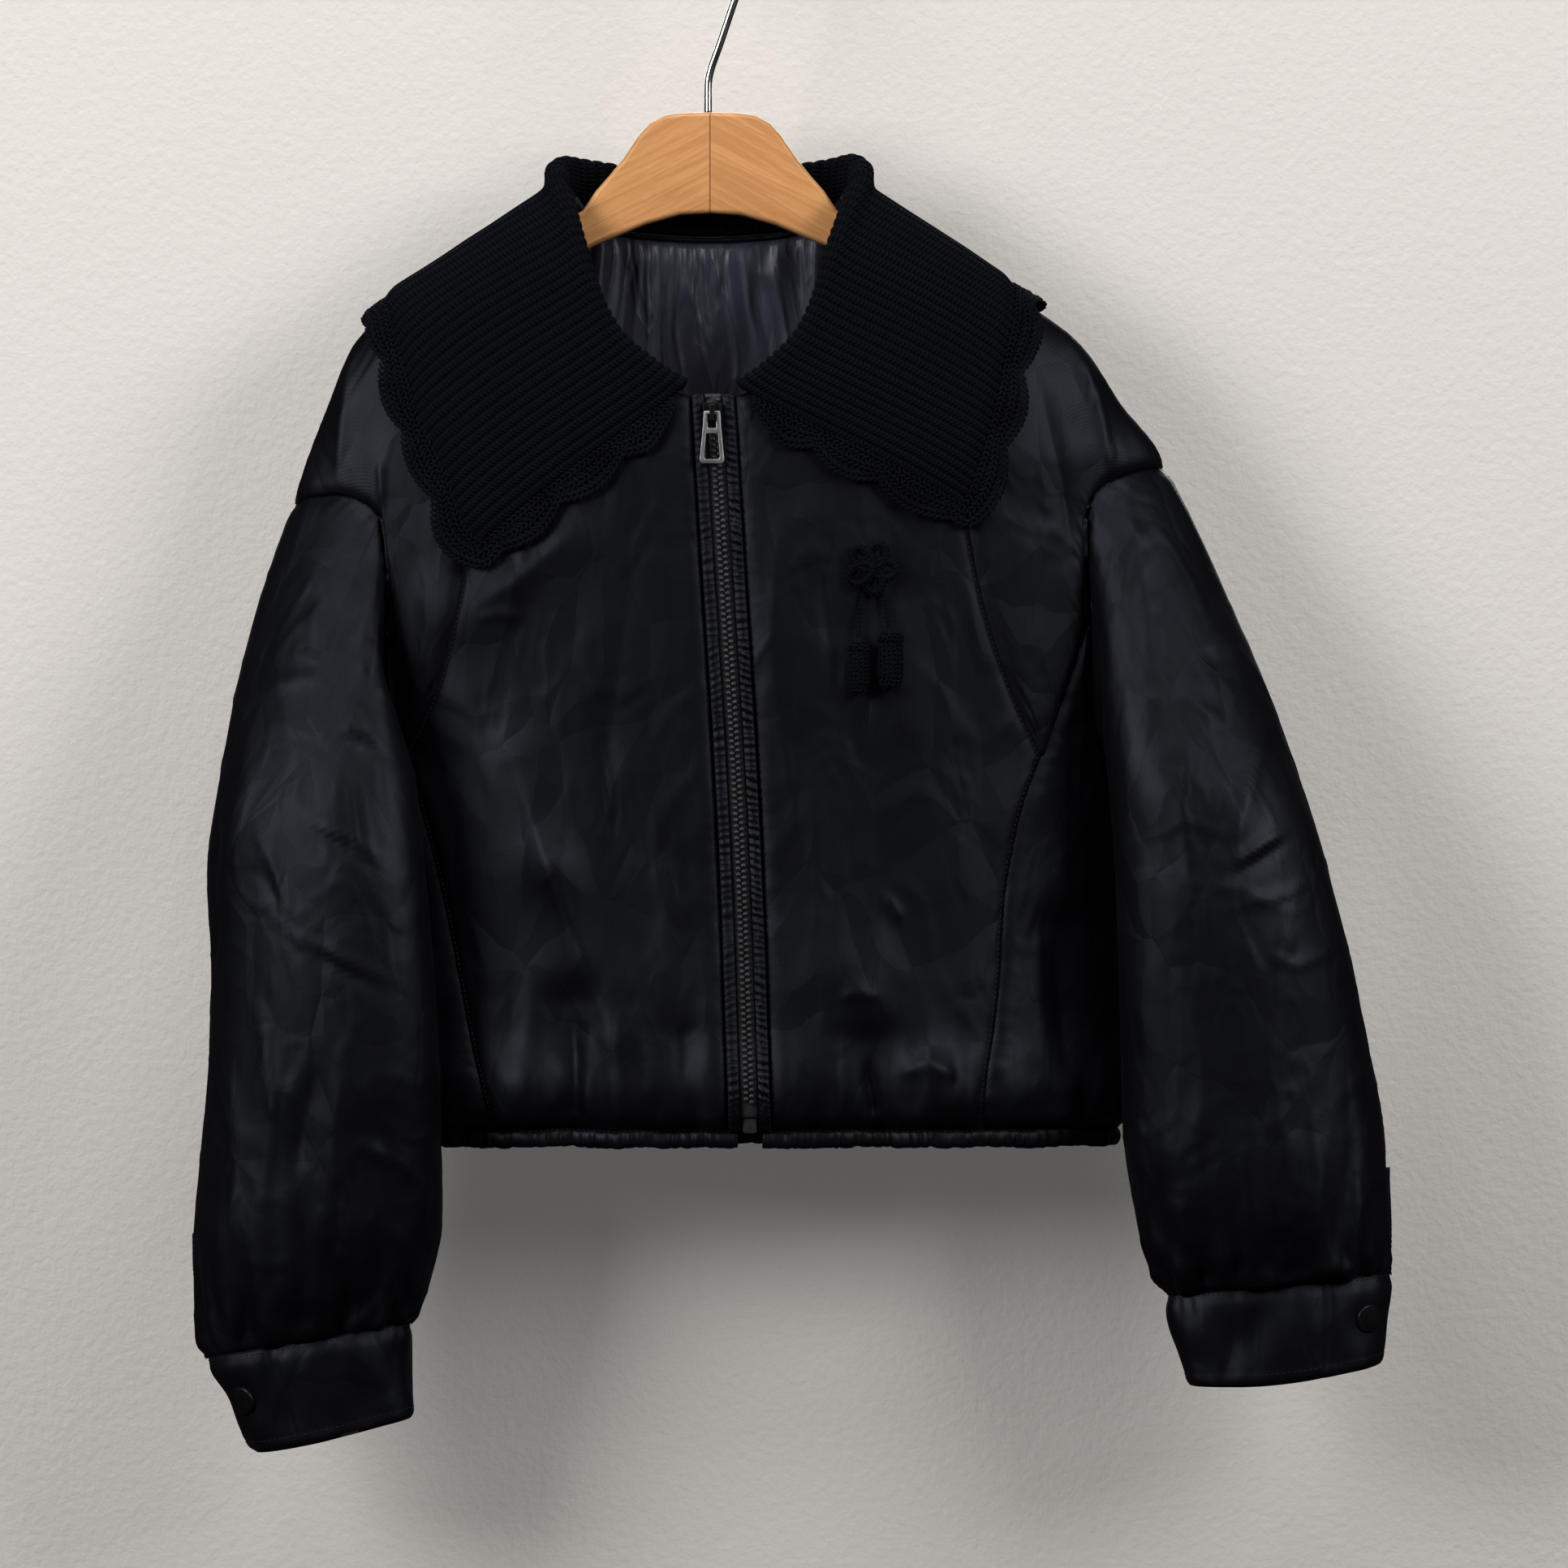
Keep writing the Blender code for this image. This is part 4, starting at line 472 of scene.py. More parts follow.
# Thin lines, as wrinkles in cloth have: high where the noise crosses zero.
def wrinkleNoise(points, size, seed, thin):
    return bell(softNoise(points, size, seed), thin)


# Shader helpers and the effects that several materials share.
def addNode(tree, kind, inputs=None, **settings):
    made = tree.nodes.new(kind)
    for key, value in settings.items():
        setattr(made, key, value)
    for key, value in (inputs or {}).items():
        if isinstance(value, bpy.types.NodeSocket):
            tree.links.new(value, made.inputs[key])
        else:
            made.inputs[key].default_value = value
    return made


def maths(tree, operation, *values):
    return addNode(tree, "ShaderNodeMath", dict(enumerate(values)), operation=operation).outputs[0]


# A shader group. An input with a number is a float, and one with None is a vector; every output is a float.
def effectGroup(name, inputs, outputs=("Height", "Shade")):
    tree = bpy.data.node_groups.new(name, "ShaderNodeTree")
    for label, value in inputs.items():
        kind = "NodeSocketVector" if value is None else "NodeSocketFloat"
        socket = tree.interface.new_socket(name=label, in_out="INPUT", socket_type=kind)
        if value is not None:
            socket.default_value = value
    for label in outputs:
        tree.interface.new_socket(name=label, in_out="OUTPUT", socket_type="NodeSocketFloat")
    return tree, tree.nodes.new("NodeGroupInput").outputs, tree.nodes.new("NodeGroupOutput").inputs


def useGroup(tree, group, inputs):
    return addNode(tree, "ShaderNodeGroup", inputs, node_tree=group).outputs


def newMaterial(name, **sockets):
    made = bpy.data.materials.new(name)
    made.use_nodes = True
    tree = made.node_tree
    shader = tree.nodes["Principled BSDF"]
    for key, value in sockets.items():
        shader.inputs[key.replace("_", " ")].default_value = value
    return made, tree, shader


# A noise's usual values spread between two numbers.
def span(tree, value, low, high):
    ends = {"Value": value, "From Min": 0.3, "From Max": 0.7, "To Min": low, "To Max": high}
    return addNode(tree, "ShaderNodeMapRange", ends).outputs[0]


def noiseOf(tree, place, scale, detail):
    made = addNode(tree, "ShaderNodeTexNoise", {"Vector": place, "Scale": scale, "Detail": detail})
    return made.outputs["Fac"]


def objectPlace(tree):
    return addNode(tree, "ShaderNodeTexCoord").outputs["Object"]


def makeTwillEffect():
    tree, given, out = effectGroup("twillThreads", {"Place": None, "Thread": 2200.0, "Slope": 0.3})
    parts = addNode(tree, "ShaderNodeSeparateXYZ", {"Vector": given["Place"]}).outputs
    rib = maths(tree, "ADD", maths(tree, "MULTIPLY", parts["X"], given["Thread"]),
                maths(tree, "MULTIPLY", maths(tree, "MULTIPLY", parts["Y"], given["Thread"]), given["Slope"]))
    wave = maths(tree, "MULTIPLY_ADD", maths(tree, "SINE", rib), 0.5, 0.5)
    slub = noiseOf(tree, given["Place"], 900.0, 1.0)
    tree.links.new(maths(tree, "MULTIPLY_ADD", slub, 0.5, wave), out["Height"])
    tree.links.new(slub, out["Shade"])
    return tree


def makeCrinkleEffect():
    tree, given, out = effectGroup("softCrinkle", {"Size": 40.0, "Stretch": 0.35, "Facets": 0.0})
    place = objectPlace(tree)
    squeeze = addNode(tree, "ShaderNodeCombineXYZ", {"X": 1.0, "Y": 1.0, "Z": given["Stretch"]}).outputs[0]
    moved = addNode(tree, "ShaderNodeVectorMath", {0: place, 1: squeeze}, operation="MULTIPLY").outputs[0]
    cloud = addNode(tree, "ShaderNodeTexNoise", {"Vector": moved, "Scale": given["Size"], "Detail": 2.0,
                                                 "Roughness": 0.5, "Distortion": 0.6})
    broad = cloud.outputs["Fac"]
    line = maths(tree, "ABSOLUTE", maths(tree, "SUBTRACT", broad, 0.5))
    ridge = maths(tree, "SUBTRACT", 1.0, maths(tree, "MINIMUM", maths(tree, "MULTIPLY", line, 9.0), 1.0))
    bent = addNode(tree, "ShaderNodeVectorMath", {0: cloud.outputs["Color"], 1: (0.016, 0.016, 0.016)},
                   operation="MULTIPLY").outputs[0]
    spot = addNode(tree, "ShaderNodeVectorMath", {0: moved, 1: bent}, operation="ADD").outputs[0]
    cell = addNode(tree, "ShaderNodeTexVoronoi", {"Vector": spot, "Scale": 24.0}, feature="DISTANCE_TO_EDGE")
    facets = maths(tree, "MULTIPLY", cell.outputs["Distance"], span(tree, broad, 0.1, 1.15))
    creased = maths(tree, "MULTIPLY", facets, given["Facets"])
    whole = maths(tree, "ADD", maths(tree, "MULTIPLY_ADD", ridge, 0.35, broad), creased)
    tree.links.new(whole, out["Height"])
    tree.links.new(broad, out["Shade"])
    return tree


twillEffect, crinkleEffect = makeTwillEffect(), makeCrinkleEffect()


def blendColour(tree, factor, first, second):
    colours = {"Factor": factor, 6: first, 7: second}
    for key in (6, 7):
        if not isinstance(colours[key], bpy.types.NodeSocket):
            colours[key] = (*colours[key], 1)
    return addNode(tree, "ShaderNodeMix", colours, data_type="RGBA").outputs[2]


def colourBy(tree, shader, shade, dark, pale):
    tree.links.new(blendColour(tree, span(tree, shade, 0.0, 1.0), dark, pale), shader.inputs["Base Color"])


def bumps(tree, shader, *layers):
    normal = None
    for height, distance, strength in layers:
        made = addNode(tree, "ShaderNodeBump", {"Height": height, "Distance": distance, "Strength": strength})
        if normal is not None:
            tree.links.new(normal, made.inputs["Normal"])
        normal = made.outputs[0]
    tree.links.new(normal, shader.inputs["Normal"])


def wovenMaterial(name, dark, pale, roughness, crinkle, thread, **sockets):
    made, tree, shader = newMaterial(name, **sockets)
    cloth = addNode(tree, "ShaderNodeUVMap", uv_map="cloth").outputs[0]
    twill = useGroup(tree, twillEffect, {"Place": cloth, "Thread": thread})
    fold = useGroup(tree, crinkleEffect, {"Size": crinkle["size"], "Stretch": crinkle["stretch"],
                                          "Facets": crinkle.get("facets", 0.0)})
    colourBy(tree, shader, fold["Shade"], dark, pale)
    broad, fine = span(tree, fold["Shade"], *roughness), maths(tree, "MULTIPLY", twill["Shade"], 0.06)
    tree.links.new(maths(tree, "ADD", broad, fine), shader.inputs["Roughness"])
    bumps(tree, shader, (fold["Height"], crinkle["depth"], 1.0), (twill["Height"], 0.00006, 0.35))
    return made


satin = wovenMaterial(
    "blackSatin", (0.0012, 0.0013, 0.0024), (0.0020, 0.0021, 0.0037), (0.43, 0.53),
    {"size": 26.0, "stretch": 0.6, "depth": 0.0004, "facets": 10.5}, 5200.0, Sheen_Weight=0.01,
    Sheen_Roughness=0.4, Sheen_Tint=(0.6, 0.68, 1.0, 1), Specular_IOR_Level=0.3,
    Specular_Tint=(0.80, 0.84, 1.0, 1))
lining = wovenMaterial(
    "greyLining", (0.038, 0.039, 0.058), (0.056, 0.057, 0.082), (0.34, 0.44),
    {"size": 60.0, "stretch": 0.3, "depth": 0.0009, "facets": 3.0}, 7000.0, Sheen_Weight=0.15,
    Sheen_Roughness=0.35, Sheen_Tint=(0.8, 0.82, 1.0, 1))


# The shell's panels.
folds = {
    "frontPanel": [
        (((-124.7, -365.5), (-110, -362), (-95.5, -364.2)), 3.2, 1.1),
        (((-129.4, -363), (-100, -345), (-71, -319.5)), 6.0, 1.0),
        (((-102.8, -441), (-83.4, -497), (-51.6, -582.6)), 7.5, 1.5),
        (((-71.8, -574.5), (-70, -605), (-71, -639)), 6.0, -2.2),
        (((-14, -580), (-13.5, -613)), 5.0, -1.2),
        (((92.5, -509.5), (98, -517), (103.2, -526.3)), 4.5, 1.6),
        (((70, -566), (80, -562), (92, -566)), 7.0, 1.6),
        (((84, -598), (88, -618), (91, -641)), 5.0, -4.6),
        (((100, -606), (116, -600), (133, -608)), 9.0, 2.2),
        (((184, -531), (188, -570), (192.6, -617)), 7.0, -2.0),
        (((171, -540), (176, -580), (178, -618)), 8.0, 1.6),
        (((-150, -520), (-146, -570), (-152, -622)), 7.0, 1.6),
        (((40, -300), (33, -380), (46, -470)), 14.0, 1.6),
        (((70, -300), (62, -350), (70, -420)), 11.0, -1.2),
        (((-40, -330), (-52, -420), (-48, -500)), 13.0, -1.3),
        (((55, -455), (60, -510), (52, -560)), 9.0, 1.1),
        (((-30, -460), (-20, -520), (-27, -590)), 10.0, 1.3),
    ],
    "shoulder": [
        (((-186, -209), (-192, -239), (-197, -298)), 7.0, 2.2),
        (((-174, -278), (-172, -307)), 4.0, 1.2),
        (((188, -207), (205, -243), (216, -291)), 7.0, 2.4),
        (((176, -240), (188, -290), (193, -330)), 6.0, -1.4),
        (((-150, -330), (-148, -370), (-158, -410)), 7.0, 1.0),
    ],
    "back": [
        (((-95, -440), (-80, -500), (-60, -570)), 9.0, 1.6),
        (((120, -430), (104, -490), (84, -560)), 9.0, 1.8),
        (((-150, -320), (-110, -380), (-96, -440)), 10.0, 1.6),
        (((170, -320), (138, -380), (122, -430)), 10.0, 1.7),
        (((-40, -300), (-30, -380), (-36, -460)), 14.0, -1.4),
        (((48, -290), (40, -370), (50, -450)), 13.0, 1.3),
        (((-62, -580), (-60, -605), (-60, -641)), 6.0, -3.0),
        (((12, -575), (14, -605), (16, -641)), 6.0, -2.4),
        (((96, -585), (94, -610), (92, -641)), 6.0, -3.2),
        (((-130, -590), (-131, -641)), 7.0, -2.2),
        (((150, -560), (154, -600), (150, -640)), 8.0, 2.0),
        (((-165, -350), (-150, -380), (-120, -400)), 5.0, 1.4),
        (((190, -350), (170, -385), (138, -402)), 5.0, 1.4),
    ],
}
surfaces = {}


def rideOn(piece, nodes=(), body="jacket"):
    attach(piece, body)
    if nodes:
        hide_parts(*nodes)
    return piece


def paddedWall(name, outer, inner, normals, materials, closed=False):
    surfaces[name] = (outer, normals)
    rideOn(clothWall(name, outer, inner, materials, closed), [name])


def plainWall(name, outer, inner, material):
    return rideOn(clothWall(name, outer, inner, [material]), [name])


def seamRelief(away, along, seed, pucker=shell["pucker"]):
    dip = -shell["seamDip"] * np.exp(-((np.maximum(away, 0) / shell["seamWidth"]) ** 1.6))
    wave = np.sin(along * 2 * math.pi / 9.5 + 4.0 * np.sin(along / 17.0 + seed) + 1.7 * np.sin(along / 5.3))
    calm = 0.55 + 0.45 * np.sin(along / 37.0 + 2 * seed)
    return dip + pucker * calm * wave * bell(away - 4, 5.0)


# The hem seam rises and falls where the casing gathers it.
def hemWobble(base):
    spot = base * np.array([1, 1, 0])
    return 1.3 * softNoise(spot, 17, 4.7) + 0.8 * softNoise(spot, 6.5, 8.1)


# Creases, broad unevenness and fine wrinkles, with gathers and puckers that die out above the hem.
def bodyRelief(base, table, fromHem):
    total = creases(base[..., 0], base[..., 2], table)
    total += 1.1 * softNoise(base, (38, 38, 120), 3.1)
    total += 0.35 * wrinkleNoise(base, (46, 46, 90), 11.7, 0.07)
    total += 4.6 * softNoise(base, (11, 11, 150), 7.3) * np.exp(-fromHem / 34)
    return total + 2.0 * softNoise(base, (4.4, 4.4, 90), 5.9) * np.exp(-fromHem / 11)


def panel(name, places, table):
    base = bodyPoint(places[..., 0], places[..., 1])
    under = bodyPoint(places[..., 0], places[..., 1], shell["wall"] - shell["lining"])
    centre = np.stack([0 * base[..., 0] + bodyCentre[0], 0 * base[..., 0] + bodyCentre[1], base[..., 2]], -1)
    normals = facing(gridNormals(base), base, centre)
    across, down = runs(base, 1), runs(base, 0)
    usual = shell["pucker"]
    edges = ((down, across, 4.4, usual), (across, down, 0.3, 0.1 if name.startswith("front") else usual),
             (across[:, -1:] - across, down, 2.1, usual), (down[-1:] - down, across, 5.7, usual))
    near = np.min([edge[0] for edge in edges], axis=0)
    fromHem = np.maximum(base[..., 2] - hemHeight, 0)
    relief = bodyRelief(base, table, fromHem) * (0.25 + 0.75 * (1 - bell(near, 9.0)))
    pressed = np.zeros_like(relief)
    for away, along, seed, pucker in edges:
        pressed = np.where(away <= near + 1e-6, seamRelief(away, along, seed, pucker), pressed)
    outer = base + normals * (relief + pressed)[..., None]
    inner = under + normals * (relief * shell["inside"])[..., None]
    lifted = hemWobble(base) * np.exp(-fromHem / 5)
    outer[..., 2] += lifted
    inner[..., 2] += lifted
    paddedWall(name, outer, inner, normals, [satin, lining])


def sideSeam(name, side, steps):
    return seam(seams[name][side], steps * finer)


def armholeFront(side):
    steps = {"Top": 3, "Side": 5, "Low": 4}
    top, down, low = (sideSeam(f"armhole{part}", side, count) for part, count in steps.items())
    top[0, 0] = low[-1, 0] = side * quarter
    return top, down, low


def armholeBack(side, steps):
    edge = seam(seams["armholeBack"][side], steps * finer, behind=True)
    edge[0, 0] = edge[-1, 0] = side * quarter
    return edge


# Angles counted on past half a turn, behind the wearer's left, so that the back is one run of places.
def unwrapped(places):
    fresh = places.copy()
    fresh[:, 0] = np.where(fresh[:, 0] < 0, fresh[:, 0] + fullTurn, fresh[:, 0])
    return fresh


def buildBody():
    for side in (-1, 1):
        name = sideName[side]
        neck = sideSeam("neckline", side, 7)
        neck[-1, 0] = side * quarter
        neckShoulder = sideLine(side, neckHeight, -159.1, 2 * finer)
        princess = sideSeam("princess", side, 11)
        princess[0, 0] = side * quarter
        lower = sideSeam("lowerPrincess", side, 9)
        heights = np.linspace(zipTop, hemHeight, 22 * finer + 1)
        beside = zipAcross(heights) + side * (zipper["weltHalf"] + 0.3)
        zipEdge = np.stack([angleAt(beside, heights), heights], 1)
        neck[0] = zipEdge[0]
        outerEdge = np.concatenate([neckShoulder, princess[1:], lower[1:]])
        places = patch(neck, level(zipEdge[-1], lower[-1], 7 * finer), zipEdge, outerEdge)
        panel(f"front_{name}", places, folds["frontPanel"])

        shoulder = sideLine(side, shoulderHeight, seams["shoulderTip"][side], 6 * finer)
        armTop, armDown, armLow = armholeFront(side)
        point = sideSeam("point", side, 3)
        armEdge = np.concatenate([armTop, armDown[1:], point[1:]])
        places = patch(shoulder, level(princess[-1], armEdge[-1], 6 * finer), princess, armEdge)
        panel(f"shoulder_panel_{name}", places, folds["shoulder"])

        innerEdge = np.concatenate([point, lower[1:]])
        outerEdge = np.concatenate([armLow, sideLine(side, underarm, hemHeight, 8 * finer)[1:]])
        outerEdge[0] += (outerEdge[1] - outerEdge[0]) * 0.12
        ends = (level(innerEdge[i], outerEdge[i], 4 * finer) for i in (0, -1))
        panel(f"side_front_{name}", patch(*ends, innerEdge, outerEdge), folds["frontPanel"])

    edges, shoulders = {}, {}
    for side in (-1, 1):
        below = sideLine(side, underarm, hemHeight, 8 * finer)[1:]
        edges[side] = unwrapped(np.concatenate([armholeBack(side, 9), below]))
        outside = sideLine(side, shoulderHeight, seams["shoulderTip"][side], 6 * finer)[1:]
        inside = sideLine(side, neckHeight, shoulderHeight, 2 * finer)
        shoulders[side] = unwrapped(np.concatenate([inside, outside]))
    neck = unwrapped(seam(seams["backNeck"], 9 * finer, behind=True))
    neck[0, 0], neck[-1, 0] = quarter, 3 * quarter
    top = np.concatenate([shoulders[1][::-1], neck[1:-1], shoulders[-1]])
    hem = level(edges[1][-1], edges[-1][-1], len(top) - 1)
    places = patch(top, hem, edges[1], edges[-1], behind=True, fade=2.6)
    few = [np.r_[0:count - 1:2, count - 1] for count in places.shape[:2]]
    panel("back_panel", places[few[0]][:, few[1]], folds["back"])
    print("body panels made")


buildBody()


# The sleeves and cuffs. A turn is 0 at the inner edge and a quarter turn at the front.
sleeve = {
    "columns": ("outerX", "outerZ", "innerX", "innerZ", "middle", "halfDepth", "lean"),
    "rows": {
        -1: ((-262, -473, -154, -449, -46, 39, 8), (-264.5, -502, -149.5, -490, -50, 40, 11),
            (-263, -545, -145, -538, -52, 41, 12), (-263.5, -590, -142, -585, -52, 41, 12),
            (-266, -625, -140.6, -622, -50, 41, 11), (-269, -660, -140.3, -654, -46, 42, 8),
            (-271.5, -690, -141, -682, -43, 42, 4), (-270.5, -717, -144.5, -705, -40, 38, 2),
            (-267.5, -740, -150.5, -724, -38, 32, 0), (-264.6, -756.2, -156.4, -737.6, -38, 27.5, 0)),
        1: ((320.5, -471, 211.5, -447, -40, 40, 3), (331, -510, 215, -490, -42, 42, 4),
            (342, -552, 216.8, -535, -42, 43, 4), (349.6, -592, 218, -578, -41, 43, 4),
            (356.9, -628, 219.3, -620, -40, 43, 3), (359.5, -655, 222, -652, -40, 43, 2),
            (360.3, -680, 227.5, -681, -39, 41, 1), (360.6, -698, 232.5, -703, -38, 36, 0),
            (360.4, -711.6, 242.6, -723.4, -38, 27.5, 0)),
    },
    "cap": ((0.16, 7, 8), (0.36, 5, 9), (0.58, 2, 6), (0.79, 0.5, 2.5)),
    "foldOver": {-1: 1, 1: 0.5},
    "capBulge": {-1: 5.5, 1: 5},
    "capDepth": 7.0,
    "spacing": 2.8,
}
sleeve["creases"] = {
    -1: [
        (((-245, -404.6), (-222, -398), (-198, -394)), 3.4, 1.3),
        (((-196, -424), (-178, -432), (-161, -443)), 3.2, -1.5),
        (((-194, -419), (-180, -425), (-166, -437)), 3.6, 1.2),
        (((-213.7, -469.5), (-190, -480), (-164, -494.5)), 3.6, 1.5),
        (((-208, -474), (-186, -488), (-168, -503)), 4.2, -1.4),
        (((-214, -530.6), (-186, -546), (-158.7, -559.4)), 3.8, 1.5),
        (((-214, -536), (-190, -552), (-166, -562)), 4.2, -1.2),
        (((-204, -598.5), (-212, -632), (-216.3, -658.7)), 8.0, -2.6),
        (((-190, -590), (-196, -640), (-199, -690)), 9.0, 2.0),
        (((-249.4, -414), (-254.1, -463.5), (-257.1, -502), (-262, -570)), 5.0, -1.6),
        (((-240, -470), (-226, -500), (-219, -540)), 4.0, 1.1),
        (((-236, -560), (-228, -620), (-234, -680)), 7.0, 1.6),
        (((-250, -600), (-247, -650), (-250, -700)), 6.0, 1.5),
        (((-176, -600), (-168, -650), (-172, -700)), 7.0, -1.4),
        (((-214, -330), (-206, -360), (-210, -392)), 6.0, 0.9),
        (((-226, -372), (-214, -384), (-196, -388)), 3.0, 0.8),
        (((-196, -500), (-182, -514), (-174, -536)), 4.0, 1.0),
        (((-232, -496), (-224, -520), (-206, -536)), 3.6, -1.0),
        (((-186, -640), (-160, -652), (-146, -668)), 5.0, 1.2),
    ],
    1: [
        (((221, -290.7), (229, -340), (235.2, -400.3)), 6.0, 1.2),
        (((261, -385.3), (270, -387), (281, -385.3)), 3.0, -1.5),
        (((257, -411), (264, -416), (272.2, -417.5)), 3.2, 1.3),
        (((298, -413.2), (286, -450), (274.3, -492.7)), 4.2, 1.6),
        (((308.7, -473.4), (290, -486), (270, -497)), 3.8, 1.5),
        (((304, -482), (288, -494), (272, -504)), 4.2, -1.3),
        (((322, -500), (306, -510), (286, -514), (270, -520)), 3.4, 1.0),
        (((330, -540), (310, -548), (294, -542)), 3.0, 1.0),
        (((254, -420), (250, -470), (256, -520)), 8.0, 1.4),
        (((236, -330), (244, -380), (243, -440)), 7.0, -1.0),
        (((250, -560), (262, -600), (258, -650)), 8.0, 1.4),
        (((300, -560), (296, -610), (306, -660)), 8.0, 1.5),
        (((336, -600), (340, -640), (337, -690)), 6.0, -1.5),
        (((280, -600), (276, -650), (284, -700)), 7.0, -1.4),
        (((318, -620), (322, -660), (318, -700)), 6.0, 1.6),
        (((300, -330), (292, -352), (300, -380)), 5.0, 0.7),
    ],
}
sleeve["backCreases"] = {
    -1: [
        (((-245, -470), (-210, -484), (-176, -478)), 6.0, 1.7),
        (((-240, -500), (-205, -520), (-180, -512)), 6.0, -1.5),
        (((-205, -380), (-215, -430), (-204, -480)), 8.0, 1.3),
        (((-225, -560), (-214, -620), (-222, -690)), 9.0, 1.7),
        (((-190, -590), (-182, -650), (-190, -710)), 8.0, -1.6),
        (((-255, -560), (-250, -620), (-254, -680)), 8.0, 1.3),
    ],
    1: [
        (((318, -470), (280, -486), (245, -480)), 6.0, 1.7),
        (((322, -500), (290, -518), (260, -510)), 6.0, -1.5),
        (((262, -380), (272, -430), (266, -480)), 8.0, 1.3),
        (((300, -560), (292, -620), (302, -680)), 9.0, 1.7),
        (((262, -580), (255, -640), (264, -690)), 8.0, -1.6),
        (((338, -560), (340, -620), (344, -680)), 8.0, 1.3),
    ],
}
cuff = {
    "rows": {
        -1: ((-263.6, -756.8, -156.8, -738.3, -38, 26.5, 0), (-254, -777, -156.2, -760, -38, 26, 0),
            (-248, -793, -155.8, -776, -37, 25.5, 0), (-242, -804, -155.8, -787, -37, 25, 0)),
        1: ((361.6, -712.3, 242.9, -724.1, -38, 26.5, 0), (360, -729, 246.5, -741, -38, 26, 0),
            (358, -744, 249.5, -756, -37, 25.5, 0), (355.5, -757.5, 252, -769, -37, 25, 0)),
    },
    "sag": {-1: 3.0, 1: 5.5},
    "snaps": {-1: (-244.7, -777.8), 1: (348.7, -734.4)},
    "lap": (112, 196),
    "thick": 3.4,
    "spacing": 1.8,
}


def sleeveTurns():
    low, top = math.radians(-70), math.pi
    front = np.linspace(low, top, 12 * finer + 1)
    return np.concatenate([front, np.linspace(top, low + fullTurn, 6 * finer + 1)[1:-1]])


def sleeveRing(row, turn):
    row = dict(zip(sleeve["columns"], row))
    across = signedPower(np.cos(turn), shell["squareness"])
    x = (row["outerX"] + row["innerX"]) / 2 + (row["innerX"] - row["outerX"]) / 2 * across
    z = (row["outerZ"] + row["innerZ"]) / 2 + (row["innerZ"] - row["outerZ"]) / 2 * across
    ahead = signedPower(np.sin(turn), shell["squareness"])
    return np.stack([x, row["middle"] - row["lean"] * across - row["halfDepth"] * ahead, z], -1)


# More rows along a loft, on a smooth curve through the given ones.
def lengthened(grid, spacing):
    steps = np.mean(np.linalg.norm(np.diff(grid, axis=0), axis=-1), axis=1)
    t = np.concatenate([[0], np.cumsum(steps)])
    slope = np.gradient(grid, t, axis=0)
    fresh = np.linspace(0, t[-1], int(t[-1] / spacing) + 1)
    k = np.clip(np.searchsorted(t, fresh) - 1, 0, len(t) - 2)
    h = (t[k + 1] - t[k])[:, None, None]
    s = ((fresh - t[k]) / (t[k + 1] - t[k]))[:, None, None]
    return ((1 + 2 * s) * (1 - s) ** 2 * grid[k] + s * s * (3 - 2 * s) * grid[k + 1]
            + h * (s * (1 - s) ** 2 * slope[k] - s * s * (1 - s) * slope[k + 1]))


def smoothed(grid, passes, axis=0, closed=False):
    for _ in range(passes):
        if closed:
            grid = (np.roll(grid, 1, axis) + 2 * grid + np.roll(grid, -1, axis)) / 4
        else:
            inner = np.moveaxis(grid, axis, 0).copy()
            inner[1:-1] = (inner[:-2] + 2 * inner[1:-1] + inner[2:]) / 4
            grid = np.moveaxis(inner, 0, axis)
    return grid


# How far each point of a closed loft is round its own ring.
def roundRings(base):
    return runs(wrapped(base), 1)[:, :-1]


